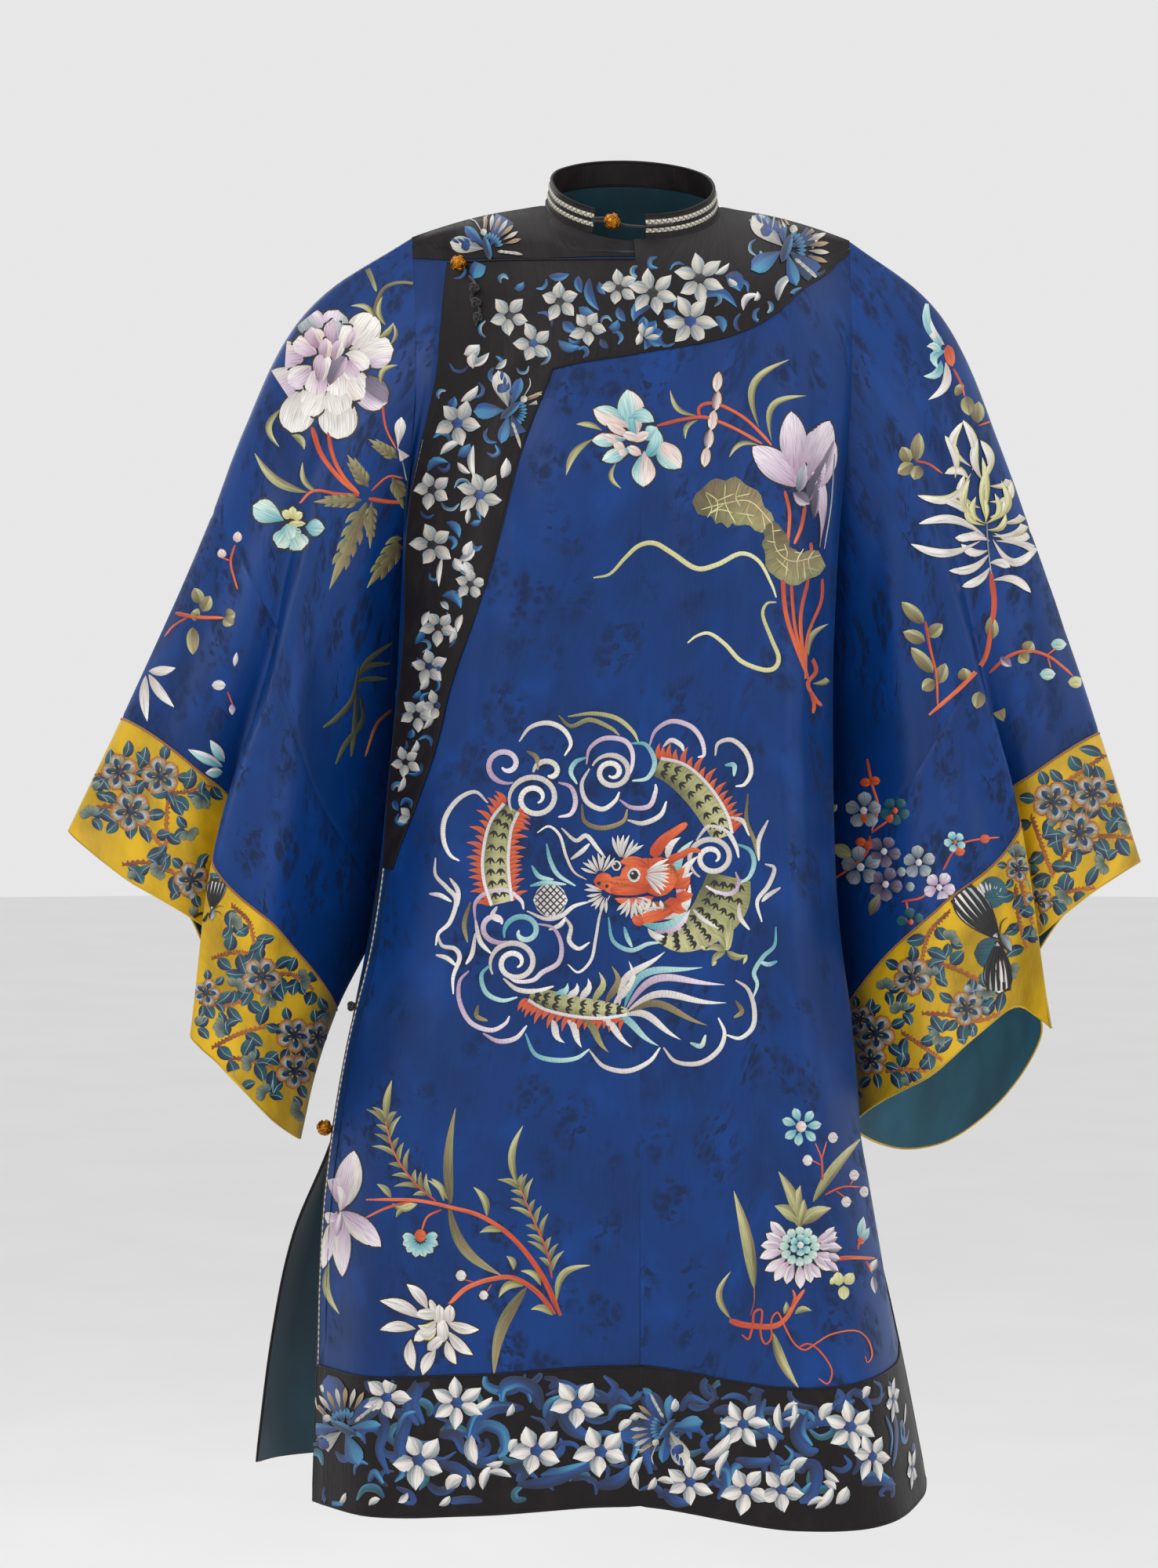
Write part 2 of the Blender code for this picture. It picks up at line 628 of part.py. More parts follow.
def overlap_shares(z):
    """Shares across the right front: from the free edge over the lapel's inner edge to the centre."""
    inner = lapel_share(z)
    lapel = [EDGE + (inner - EDGE) * k / LAPEL_COLUMNS for k in range(LAPEL_COLUMNS)]
    return lapel + [inner * (1 - k / OVERLAP_COLUMNS) for k in range(OVERLAP_COLUMNS + 1)]


def overlap_grid():
    rows = []
    bands = (
        (YOKE_ROWS, lambda a: YOKE_TOP, lambda a: edge_height(YOKE_RIGHT, a)),
        (CHEST_ROWS, lambda a: edge_height(YOKE_RIGHT, a), lambda a: LAPEL_TURN),
        (LAPEL_ROWS, lambda a: LAPEL_TURN, lambda a: LAPEL_END),
        (SKIRT_ROWS, lambda a: LAPEL_END, lambda a: hem_height(-1, a) + HEM_BAND),
        (BAND_ROWS, lambda a: hem_height(-1, a) + HEM_BAND, lambda a: hem_height(-1, a)),
    )
    for index, (count, high, low) in enumerate(bands):
        for k in range(count + (index == len(bands) - 1)):
            share = k / count
            level = high(LEVEL_AT) + (low(LEVEL_AT) - high(LEVEL_AT)) * share
            row = []
            for across in overlap_shares(level):
                row.append(body(-1, across, high(across) + (low(across) - high(across)) * share, False))
            rows.append(row)
    grid = np.array(rows)
    grid[:, -1, 0] -= SEAM / 2
    return grid


def inner_grid():
    levels = (
        lambda a: top_line(-1, a, False)[2],
        lambda a: LAP_TO,
        lambda a: CHEST,
        lambda a: INNER_HEM,
    )
    grid = panel_grid(-1, INNER_SHARES, False, levels, INNER_ROWS)
    grid[:, 0, 0] -= SEAM / 2
    normals = facing(grid, grid_normals(grid, False), IN_FRONT_OF_RIGHT)
    for row in range(grid.shape[0]):
        for column, across in enumerate(INNER_SHARES):
            depth = ease((LAP_FROM - grid[row, column, 2]) / (LAP_FROM - LAP_TO))
            side_fade = 1 - ease((across - EDGE - DIP_INSET) / (1 - EDGE - 2 * DIP_INSET))
            grid[row, column] -= normals[row, column] * LAP * depth * side_fade
    return grid


def back_grid():
    halves = []
    for sign, shares in ((-1, BACK_SHARES[::-1]), (1, BACK_SHARES[1:])):
        levels = (
            lambda a: top_line(sign, a, True)[2],
            yoke_line(YOKE_BACK, sign, True),
            lambda a: YOKE_BELOW,
            lambda a: ARMPIT,
            lambda a: HEM + HEM_BAND - BACK_DROP,
            lambda a: HEM - BACK_DROP,
        )
        halves.append(panel_grid(sign, shares, True, levels, ROWS))
    return np.concatenate(halves, axis=1)


def cells_in(first, last):
    """Test for the cells between two rows."""
    return lambda row, column: first <= row < last


def lapel_cells(row, column):
    return row < YOKE_ROWS or (row < YOKE_ROWS + CHEST_ROWS + LAPEL_ROWS and column < LAPEL_COLUMNS)


def lay_satin(name, grid, normals, cells):
    wall(name, "satin", grid, normals, SEAM, SEAM + SATIN, cells)


def hem_cells(grid):
    last = grid.shape[0] - 1
    return cells_in(last - BAND_ROWS, last)


def sew_body():
    """Front, overlap, inner front, back, and the satin that lies on them."""
    grid = front_left_grid()
    normals = facing(grid, grid_normals(grid, False), BEFORE)
    square_edge(normals, slice(None), 0, 0)
    square_edge(normals, 0, slice(RIDGE_FROM, None), 1)
    wall("front_left", "silk", grid, normals, -CLOTH, 0)
    lay_satin("yoke_left", grid, normals, cells_in(0, YOKE_ROWS))
    lay_satin("hem_band_left", grid, normals, hem_cells(grid))

    lap = overlap_grid()
    normals = facing(lap, grid_normals(lap, False), BEFORE)
    square_edge(normals, slice(None), -1, 0)
    wall("front_overlap", "silk", lap, normals, -CLOTH, 0)
    lay_satin("yoke_overlap", lap, normals, lapel_cells)
    lay_satin("hem_band_overlap", lap, normals, hem_cells(lap))

    inner = inner_grid()
    normals = facing(inner, grid_normals(inner, False), BEFORE)
    square_edge(normals, slice(0, INNER_ROWS[0] + 1), 0, 0)
    square_edge(normals, 0, slice(RIDGE_FROM, None), 1)
    wall("front_inner", "silk", inner, normals, -CLOTH, 0)
    lay_satin("yoke_right", inner, normals, cells_in(0, INNER_ROWS[0]))

    back = back_grid()
    normals = facing(back, grid_normals(back, False), BEHIND)
    middle = back.shape[1] // 2
    square_edge(normals, 0, slice(middle + RIDGE_FROM, None), 1)
    square_edge(normals, 0, slice(0, middle - RIDGE_FROM + 1), 1)
    wall("back", "silk", back, normals, -CLOTH, 0)
    lay_satin("yoke_back", back, normals, cells_in(0, YOKE_ROWS))
    lay_satin("hem_band_back", back, normals, hem_cells(back))


def sew_sleeves():
    """Sleeve, sleeve end and cuff on each side, a seam's gap apart."""
    places = [k / TUBE_STEPS for k in range(len(COLUMNS) * TUBE_STEPS)]
    gap = SEAM / 2 / SLEEVE_LONG
    for sign, hand in ((1, "left"), (-1, "right")):
        for part in PARTS:
            start = part.first + (0.0 if part is PARTS[0] else gap)
            stop = part.last - (0.0 if part is PARTS[-1] else gap)
            alongs = [start + (stop - start) * step / part.steps for step in range(part.steps + 1)]
            grid = np.array([[sleeve(sign, place, along) for place in places] for along in alongs])
            normals = np.array([[sleeve_normal(sign, place, along) for place in places] for along in alongs])
            wall(f"{part.name}_{hand}", part.slot, grid, normals, -CLOTH, 0, ring=True)


# ---------------------------------------------------------------- collar and fastenings


def make_collar():
    """Low standing collar, open at the front, leaning in towards the neck."""
    grid = []
    for high in (0.0, 0.5, 1.0):
        row = []
        for k in range(COLLAR_STEPS + 1):
            angle = math.radians(COLLAR_OPENS + (COLLAR_CLOSES - COLLAR_OPENS) * k / COLLAR_STEPS)
            point = neck(angle)
            inward = -np.array((math.sin(angle), -math.cos(angle), 0.0))
            point += inward * (COLLAR_IN + COLLAR_LEAN * high)
            point[2] += COLLAR_BASE + COLLAR_HIGH * high
            row.append(point)
        grid.append(row)
    grid = np.array(grid)
    normals = grid_normals(grid, False)
    if normals[1, 5][0] < 0:
        normals = -normals
    wall("collar", "satin", grid, normals, -COLLAR_THICK, 0)


def ball(name, place, radius=BALL, slot="gilt"):
    work = bmesh.new()
    bmesh.ops.create_uvsphere(work, u_segments=12, v_segments=8, radius=radius)
    bmesh.ops.translate(work, verts=work.verts[:], vec=place)
    finish_bmesh(name, work, slot)


def cord(name, points, radius, slot="cord"):
    """Closed round cord through a few points."""
    route = bpy.data.curves.new(name, "CURVE")
    route.dimensions = "3D"
    route.bevel_depth = radius
    route.bevel_resolution = 2
    route.use_fill_caps = True
    line = route.splines.new("POLY")
    line.points.add(len(points) - 1)
    for spot, point in zip(line.points, points):
        spot.co = (*point, 1)
    route.materials.append(material(slot))
    item = bpy.data.objects.new(name, route)
    bpy.context.scene.collection.objects.link(item)
    return item


def smooth_route(points, count):
    keys = range(len(points))
    return [through(keys, points, k * (len(points) - 1) / (count - 1)) for k in range(count)]


def on_overlap(x, z, lift):
    across = across_at(-1, x, z)
    point = body(-1, across, z, False)
    side_step = body(-1, across + 0.01, z, False) - point
    down_step = body(-1, across, z - 2 * MM, False) - point
    out = np.cross(side_step, down_step)
    out /= np.linalg.norm(out)
    if out[1] > 0:
        out = -out
    return point + out * lift


def collar_fastening():
    """A ball between the collar's two ends, on a loop that runs from one to the other."""
    high = SEAM + SATIN + COLLAR_HIGH * 0.5
    ends = []
    for degrees, aside in ((COLLAR_CLOSES, 1), (COLLAR_OPENS, -1)):
        point = neck(math.radians(degrees)) + np.array((0, LOOP_REST, high))
        ends.append(point + np.array((aside * (CORD + 0.4 * MM), 0, 0)))
    middle = (ends[0] * 0.66 + ends[1] * 0.34) + np.array((0, -LOOP_OUT, 0.5 * MM))
    past = (ends[0] * 0.4 + ends[1] * 0.6) + np.array((0, -LOOP_OUT, -1 * MM))
    ball("collar_button", middle + np.array((0, -BALL - CORD - 2 * SEAM, 0)))
    cord("collar_loop", smooth_route([ends[0], middle, past, ends[1]], 12), CORD)


def chest_fastening():
    """A ball at the overlap's corner, with a cord that hangs down the lapel."""
    clear = SEAM + SATIN
    ball("chest_button", on_overlap(CHEST_BALL.x * MM, CHEST_BALL.z * MM, clear + BALL))
    route = [on_overlap(spot.x * MM, spot.z * MM, clear + CORD) for spot in CHEST_FROG]
    cord("chest_frog", smooth_route(route, 14), CORD)


def side_fastenings():
    """A small knot on the overlap's edge and a ball at the top of the slit."""
    for name, z, radius, slot in (
        ("side_knot", KNOT_HEIGHT, KNOT, "cord"), ("slit_button", SLIT_BALL_HEIGHT, BALL, "gilt"),
    ):
        edge = body(-1, EDGE, z, False)
        ball(name, edge + np.array((-radius - SEAM, 0.5 * MM, 0)), radius, slot)


def main():
    clear_scene()
    sew_body()
    sew_sleeves()
    make_collar()
    collar_fastening()
    chest_fastening()
    side_fastenings()


main()
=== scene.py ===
"""Looks of a lady's side-fastening silk robe: damask, satin bands, embroidery and fastenings."""

import math
import random
from collections import namedtuple

import bmesh
import bpy
import numpy as np
from bpy.props import FloatProperty, FloatVectorProperty, PointerProperty
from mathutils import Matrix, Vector
from mathutils.bvhtree import BVHTree


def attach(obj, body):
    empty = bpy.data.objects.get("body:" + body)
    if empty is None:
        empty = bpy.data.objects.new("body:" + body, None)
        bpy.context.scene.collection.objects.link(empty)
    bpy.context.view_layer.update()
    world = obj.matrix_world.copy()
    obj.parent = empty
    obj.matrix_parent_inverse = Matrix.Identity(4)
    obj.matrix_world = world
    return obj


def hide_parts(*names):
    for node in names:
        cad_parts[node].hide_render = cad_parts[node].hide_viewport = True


bl_info = {
    "name": "Embroidered side-fastening robe",
    "version": (1, 0, 0),
    "blender": (4, 5, 0),
    "location": "3D View > Sidebar > Robe",
    "description": "Builds a worn silk robe with satin bands and embroidery on its packed model",
    "category": "Object",
}

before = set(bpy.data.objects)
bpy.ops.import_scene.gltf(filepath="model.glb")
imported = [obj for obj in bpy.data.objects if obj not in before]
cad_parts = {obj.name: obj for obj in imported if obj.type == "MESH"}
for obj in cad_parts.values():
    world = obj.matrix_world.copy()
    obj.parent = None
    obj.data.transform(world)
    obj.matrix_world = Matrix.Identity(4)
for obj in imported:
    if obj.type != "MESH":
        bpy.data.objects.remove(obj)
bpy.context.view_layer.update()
MM = 0.001

# ---------------------------------------------------------------- sizes of the robe's cut
CLOTH, SEAM = 1.2 * MM, 0.3 * MM
LAP = 5.0 * MM
LAP_FROM, LAP_TO = -38 * MM, -57 * MM
NECK_WIDE, NECK_DEEP, NECK_BACK = 66 * MM, 68 * MM, -8 * MM
NECK_HEIGHT = -14 * MM
NECK_FRONT_SLOPE, NECK_BACK_SLOPE = 0.43, 0.30
NECK_SHARE = 0.38
COLLAR_HIGH, COLLAR_THICK, COLLAR_LEAN, COLLAR_IN = 17 * MM, 2.0 * MM, 2.5 * MM, 0.9 * MM
COLLAR_BASE = 1.5 * MM
COLLAR_OPENS, COLLAR_CLOSES = 2, 326
CENTRE_SEAM = -7 * MM
CHEST = -150 * MM
FLAT_START, STEEP_START, STEEP_TO = 14, 34, 0.75
EDGE = 0.80
YOKE_TOP = -62 * MM
ARMPIT, SLIT_TOP, SHOULDER_HIGH = -385 * MM, -720 * MM, -41 * MM
HEM_BAND, INNER_HEM, HEM = 104 * MM, -700 * MM, -990 * MM
YOKE_BELOW, LAPEL_TURN, BACK_DROP = -200 * MM, -235 * MM, 4 * MM
SIDE_END = 1.0
SHOULDER_SWELL = 3.5 * MM  # how far the shoulder's top line rises between neck and armhole
TIP_SHARE = 0.035  # share across that the lapel's tip still covers
HALVINGS = 22

Drop = namedtuple("Drop", "across drop")
FRONT_DROP = (
    Drop(-0.80, 8), Drop(-0.40, 3), Drop(0.0, -2), Drop(0.35, 12), Drop(0.70, 9), Drop(1.0, 4),
)
Side = namedtuple("Side", "z x y")
SIDE_LEFT = (
    Side(-41, 168, 2), Side(-90, 165, 1), Side(-150, 162, 0), Side(-250, 156, 2),
    Side(-350, 152, 4), Side(-385, 151, 5), Side(-450, 151, 3), Side(-550, 153, 4),
    Side(-650, 156, 8), Side(-720, 160, 10), Side(-800, 187, 18), Side(-880, 206, 24),
    Side(-1010, 231, 34),
)
SIDE_RIGHT = (
    Side(-41, -167, 2), Side(-90, -167, 1), Side(-150, -168, 0), Side(-250, -175, 2),
    Side(-350, -178, 3), Side(-385, -179, 4), Side(-450, -184, 2), Side(-550, -197, 2),
    Side(-650, -215, 3), Side(-720, -227, 4), Side(-800, -256, 11), Side(-880, -272, 20),
    Side(-1010, -287, 40),
)
ARMHOLE_FORE, ARMHOLE_AFT, ARMHOLE_PEAK = 50 * MM, 45 * MM, 1.35
SLIT_LONG = 270 * MM
Slit = namedtuple("Slit", "fore aft power")
SLIT = {1: Slit(46 * MM, 48 * MM, 0.8), -1: Slit(0.0, 60 * MM, 0.6)}
FRONT_PLACES = (0.0, 0.36, 0.70, EDGE, 1.0)
NEAR = 22 * MM
Front = namedtuple("Front", "z centre quarter near fold_x fold_y")
FRONT_LEFT = (
    Front(-150, -116, -111, -88, 150, -66), Front(-250, -124, -120, -102, 145, -72),
    Front(-350, -122, -119, -104, 143, -74), Front(-450, -119, -118, -106, 143, -76),
    Front(-550, -118, -119, -108, 147, -77), Front(-650, -119, -122, -110, 156, -77),
    Front(-720, -120, -126, -112, 163, -76), Front(-800, -121, -133, -114, 177, -74),
    Front(-880, -121, -141, -118, 189, -76), Front(-1010, -122, -154, -125, 216, -74),
)
FRONT_RIGHT = (
    Front(-150, -116, -110, -86, -153, -62), Front(-250, -124, -118, -94, -173, -50),
    Front(-350, -122, -117, -94, -177, -48), Front(-450, -119, -114, -90, -188, -48),
    Front(-550, -118, -113, -88, -197, -48), Front(-650, -119, -114, -86, -220, -46),
    Front(-720, -120, -116, -84, -232, -44), Front(-800, -121, -118, -82, -240, -38),
    Front(-880, -121, -119, -80, -242, -34), Front(-1010, -122, -121, -78, -247, -30),
)
BACK_PLACES = (0.0, 0.42, 0.82, 1.0)
Back = namedtuple("Back", "z centre quarter left_x left_y right_x right_y")
BACK = (
    Back(-150, 84, 82, 148, 58, -150, 58), Back(-250, 96, 93, 146, 62, -162, 62),
    Back(-350, 101, 97, 144, 60, -170, 60), Back(-450, 104, 103, 147, 60, -178, 60),
    Back(-550, 108, 112, 153, 64, -190, 64), Back(-650, 113, 121, 160, 70, -205, 70),
    Back(-720, 117, 128, 168, 76, -220, 76), Back(-800, 122, 136, 182, 86, -238, 88),
    Back(-880, 127, 143, 196, 98, -252, 101), Back(-1010, 134, 152, 212, 118, -266, 124),
)
Edge = namedtuple("Edge", "across z")
YOKE_LEFT = (Edge(0.0, -132), Edge(0.25, -121), Edge(0.5, -103), Edge(0.75, -74), Edge(1.0, -51))
YOKE_RIGHT = (Edge(0.0, -132), Edge(0.36, -146), Edge(0.5, -157), Edge(0.8, -172))
YOKE_BACK = (Edge(0.0, -118), Edge(0.25, -112), Edge(0.5, -95), Edge(0.75, -70), Edge(1.0, -51))
Lapel = namedtuple("Lapel", "z x")
LAPEL = (
    Lapel(-100, -66), Lapel(-150, -72), Lapel(-189, -90), Lapel(-233, -103), Lapel(-310, -124),
    Lapel(-369, -144), Lapel(-431, -159), Lapel(-500, -184), Lapel(-516, -192),
)
LAPEL_END = -516 * MM
COLUMNS = (
    "top", "brow", "pleat", "under", "fold", "hollow", "belly", "low",
    "seam", "back_low", "back_belly", "back_mid", "back_high", "back_brow", "back_top",
)
Profile = namedtuple("Profile", "down fore root_down")
PROFILE = (
    Profile(0.00, -2, 0.00), Profile(0.09, -40, 0.09), Profile(0.21, -52, 0.20),
    Profile(0.29, -53, 0.29), Profile(0.37, -56, 0.38), Profile(0.46, -56, 0.48),
    Profile(0.64, -52, 0.65), Profile(0.84, -36, 0.84), Profile(1.00, -2, 1.00),
    Profile(0.86, 22, 0.86), Profile(0.70, 36, 0.70), Profile(0.54, 44, 0.54),
    Profile(0.38, 48, 0.38), Profile(0.23, 48, 0.23), Profile(0.09, 36, 0.09),
)
SEAM_COLUMN = COLUMNS.index("seam")
Station = namedtuple("Station", "name along top seam")
STATIONS = {
    1: (
        Station("root", 0.0, (168, 2, -41), (151, 5, -385)),
        Station("shoulder", 0.14, (229, 0, -86), (162, 2, -430)),
        Station("elbow", 0.38, (286, -5, -202), (166, 0, -508)),
        Station("extension", 0.50, (308, -8, -262), (168, -2, -550)),
        Station("cuff", 0.80, (362, -15, -418), (172, -4, -632)),
        Station("hem", 1.0, (391, -30, -516), (173, -2, -722)),
    ),
    -1: (
        Station("root", 0.0, (-167, 2, -41), (-179, 4, -385)),
        Station("shoulder", 0.14, (-236, 0, -86), (-192, 2, -430)),
        Station("elbow", 0.38, (-297, -5, -192), (-208, 0, -506)),
        Station("extension", 0.50, (-319, -8, -250), (-215, -3, -548)),
        Station("cuff", 0.80, (-388, -15, -404), (-233, -6, -628)),
        Station("hem", 1.0, (-428, -30, -487), (-254, -10, -724)),
    ),
}
Ring = namedtuple("Ring", COLUMNS)
CUFF_RING = {
    1: Ring(
        (362, -15, -418), (328, -48, -431), (300, -52, -449), (281, -40, -466), (288, -76, -484),
        (270, -68, -514), (227, -76, -546), (192, -50, -586), (172, -4, -632), (206, 34, -618),
        (246, 50, -588), (278, 50, -548), (300, 46, -510), (319, 36, -470), (345, 16, -437),
    ),
    -1: Ring(
        (-388, -15, -404), (-360, -48, -419), (-329, -52, -444), (-304, -40, -470), (-322, -80, -506),
        (-303, -86, -533), (-276, -80, -556), (-252, -54, -586), (-233, -6, -628), (-256, 26, -614),
        (-286, 42, -584), (-312, 47, -548), (-332, 44, -508), (-350, 33, -466), (-373, 13, -426),
    ),
}
HEM_RING = {
    1: Ring(
        (391, -30, -516), (351, -50, -537), (311, -52, -568), (290, -34, -596), (311, -84, -638),
        (286, -64, -624), (222, -82, -671), (188, -52, -695), (173, -2, -722), (214, 44, -745),
        (259, 60, -742), (302, 55, -708), (330, 42, -655), (320, 38, -606), (352, 12, -548),
    ),
    -1: Ring(
        (-428, -30, -487), (-384, -50, -523), (-336, -52, -552), (-303, -36, -588), (-338, -84, -633),
        (-320, -90, -655), (-298, -84, -679), (-275, -60, -705), (-254, -10, -724), (-274, 24, -705),
        (-300, 40, -675), (-318, 46, -640), (-322, 42, -598), (-340, 32, -552), (-388, 4, -508),
    ),
}
PLEAT_FROM, ROOT_BLEND = 0.22, 0.16
BALL, CORD = 6.2 * MM, 1.6 * MM


# ---------------------------------------------------------------- surfaces of the cloth


def through(keys, rows, at):
    """Smooth curve through the rows at their rising keys, read at one key."""
    keys = np.asarray(keys, float)
    rows = np.asarray(rows, float)
    slopes = np.gradient(rows, keys, axis=0)
    i = int(np.clip(np.searchsorted(keys, at) - 1, 0, len(keys) - 2))
    span = keys[i + 1] - keys[i]
    t = (at - keys[i]) / span
    start = rows[i] * (1 + 2 * t) * (1 - t) ** 2 + slopes[i] * span * t * (1 - t) ** 2
    return start + rows[i + 1] * t * t * (3 - 2 * t) + slopes[i + 1] * span * t * t * (t - 1)


def ease(value):
    value = np.clip(value, 0.0, 1.0)
    return value * value * (3 - 2 * value)


def table(rows, sign, read):
    rows = sorted(rows, key=lambda row: row.z)
    return [row.z * MM for row in rows], np.array([read(row, sign) for row in rows]) * MM


def front_columns(row, sign):
    near = (row.fold_x - sign * NEAR / MM, row.near)
    return ((CENTRE_SEAM / MM, row.centre), (row.fold_x / 2, row.quarter), near, (row.fold_x, row.fold_y))


def back_columns(row, sign):
    x, y = (row.left_x, row.left_y) if sign > 0 else (row.right_x, row.right_y)
    return ((CENTRE_SEAM / MM, row.centre), (x * 0.52, row.quarter), (x, y))


FRONT_TABLE = {1: table(FRONT_LEFT, 1, front_columns), -1: table(FRONT_RIGHT, -1, front_columns)}
BACK_TABLE = {sign: table(BACK, sign, back_columns) for sign in (1, -1)}
SIDE_TABLE = {
    1: table(SIDE_LEFT, 1, lambda row, sign: (row.x, row.y)),
    -1: table(SIDE_RIGHT, -1, lambda row, sign: (row.x, row.y)),
}


def side(sign, z, aft):
    x, y = through(*SIDE_TABLE[sign], z)
    armhole = min(max((z - ARMPIT) / (SHOULDER_HIGH - ARMPIT), 0.0), 1.0)
    away = math.sin(math.pi * armhole**ARMHOLE_PEAK) * (ARMHOLE_AFT if aft else ARMHOLE_FORE)
    if z < SLIT_TOP:
        slit = SLIT[sign]
        away += ((SLIT_TOP - z) / SLIT_LONG) ** slit.power * (slit.aft if aft else slit.fore)
    return np.array((x, y + away if aft else y - away))


def neck(angle):
    x = NECK_WIDE * math.sin(angle)
    y = NECK_BACK - NECK_DEEP * math.cos(angle)
    slope = NECK_FRONT_SLOPE if y < 0 else NECK_BACK_SLOPE
    return np.array((x, y, NECK_HEIGHT + slope * y))


def top_line(sign, across, aft):
    start = math.asin(sign * CENTRE_SEAM / NECK_WIDE)
    if across <= NECK_SHARE:
        turn = start + (math.pi / 2 - start) * across / NECK_SHARE
        return neck(sign * (math.pi - turn if aft else turn))
    share = (across - NECK_SHARE) / (1 - NECK_SHARE)
    inner = neck(sign * math.pi / 2)
    outer = np.array((*side(sign, SHOULDER_HIGH, aft), SHOULDER_HIGH))
    point = inner + (outer - inner) * share
    point[2] += SHOULDER_SWELL * math.sin(math.pi * share)
    return point


def start_angle(across):
    return math.radians(FLAT_START + STEEP_START * (1 - ease(across / STEEP_TO)))


def spread_of(first, fall):
    angle = math.acos(math.cos(first) * (1 - min(max(fall, 0.0), 1.0)))
    return (math.sin(angle) - math.sin(first)) / (1 - math.sin(first))


def body_edge(sign, z, aft):
    top = np.array((*side(sign, SHOULDER_HIGH, aft), SHOULDER_HIGH))
    end = side(sign, CHEST, aft)
    fall = (top[2] - z) / (top[2] - CHEST)
    spread = spread_of(start_angle(1.0), fall)
    return np.array((top[0] + (end[0] - top[0]) * (0.5 * fall + 0.5 * spread),
                     top[1] + (end[1] - top[1]) * spread))


def body(sign, across, z, aft):
    """Point of the outer surface of a front or back half."""
    heights, rows = BACK_TABLE[sign] if aft else FRONT_TABLE[sign]
    places = BACK_PLACES if aft else FRONT_PLACES
    level = min(z, CHEST)
    columns = np.vstack((through(heights, rows, level), side(sign, level, aft)))
    x, y = through(places, columns, across)
    if z <= CHEST:
        return np.array((x, y, z))
    top = top_line(sign, across, aft)
    fall = min(max((top[2] - z) / (top[2] - CHEST), 0.0), 1.0)
    spread = spread_of(start_angle(across), fall)
    point = np.array((top[0] + (x - top[0]) * (0.5 * fall + 0.5 * spread), top[1] + (y - top[1]) * spread, z))
    if across > NECK_SHARE:
        edge_fall = min(max((SHOULDER_HIGH - z) / (SHOULDER_HIGH - CHEST), 0.0), 1.0)
        edge_z = SHOULDER_HIGH + (CHEST - SHOULDER_HIGH) * edge_fall
        drift = side(sign, edge_z, aft) - body_edge(sign, edge_z, aft)
        point[:2] += drift * ease((across - NECK_SHARE) / (1 - NECK_SHARE))
    return point


def hem_height(sign, across):
    return HEM - through([d.across for d in FRONT_DROP], [d.drop * MM for d in FRONT_DROP], sign * across)


def edge_height(edges, across):
    return through([e.across for e in edges], [e.z * MM for e in edges], across)


def across_at(sign, x, z):
    """Share across a front at which its surface reaches x."""
    low, high = 0.0, EDGE
    for _ in range(HALVINGS):
        middle = (low + high) / 2
        if sign * body(sign, middle, z, False)[0] < sign * x:
            low = middle
        else:
            high = middle
    return (low + high) / 2


def lapel_share(z):
    rows = sorted(LAPEL, key=lambda row: row.z)
    held = min(max(z, LAPEL_END), LAPEL[0].z * MM)
    x = through([row.z * MM for row in rows], [row.x * MM for row in rows], held)
    tip = EDGE - TIP_SHARE
    return min(across_at(-1, x, held), tip) if z > LAPEL_END else tip


def chord_ring(station):
    top, seam = np.array(station.top, float), np.array(station.seam, float)
    points = []
    for row in PROFILE:
        point = top + (seam - top) * row.down
        point[1] += row.fore * math.sin(math.pi * min(1.0, row.down + 0.02)) ** 0.35
        points.append(point)
    points[0], points[SEAM_COLUMN] = top, seam
    return np.array(points) * MM


def root_ring(sign):
    points = []
    for column, row in enumerate(PROFILE):
        z = SHOULDER_HIGH + (ARMPIT - SHOULDER_HIGH) * row.root_down
        points.append((*side(sign, z, column > SEAM_COLUMN), z))
    return np.array(points)


def sleeve_rings(sign):
    stations = STATIONS[sign]
    cuff = np.array(CUFF_RING[sign]) * MM
    pleats = cuff - chord_ring(stations[4])
    rings = [root_ring(sign)]
    for station in stations[1:4]:
        share = max(station.along - PLEAT_FROM, 0.0) / (stations[4].along - PLEAT_FROM)
        rings.append(chord_ring(station) + pleats * share**1.2)
    rings += [cuff, np.array(HEM_RING[sign]) * MM]
    return [station.along for station in stations], np.array(rings)


SLEEVE_TABLE = {sign: sleeve_rings(sign) for sign in (1, -1)}


def round_ring(columns, place):
    count = len(columns)
    i = int(math.floor(place))
    t = place - i
    a, b, c, d = (columns[(i + k) % count] for k in (-1, 0, 1, 2))
    near = max(np.linalg.norm(c - b), 1e-6)
    into = (c - a) * min(near / max(np.linalg.norm(c - a), 1e-6), 0.5)
    out = (d - b) * min(near / max(np.linalg.norm(d - b), 1e-6), 0.5)
    start = b * (1 + 2 * t) * (1 - t) ** 2 + into * t * (1 - t) ** 2
    return start + c * t * t * (3 - 2 * t) + out * t * t * (t - 1)


def armhole_point(sign, place):
    count = len(COLUMNS)
    downs = [row.root_down for row in PROFILE] + [0.0]
    place %= count
    i = int(place)
    down = downs[i] + (downs[i + 1] - downs[i]) * (place - i)
    z = SHOULDER_HIGH + (ARMPIT - SHOULDER_HIGH) * down
    return np.array((*side(sign, z, place > SEAM_COLUMN), z))


def sleeve(sign, place, along):
    keys, rings = SLEEVE_TABLE[sign]
    point = round_ring(through(keys, rings, along), place)
    if along < ROOT_BLEND:
        drift = armhole_point(sign, place) - round_ring(rings[0], place)
        point = point + drift * (1 - along / ROOT_BLEND) ** 2
    return point


# ---------------------------------------------------------------- grids, creases and shells


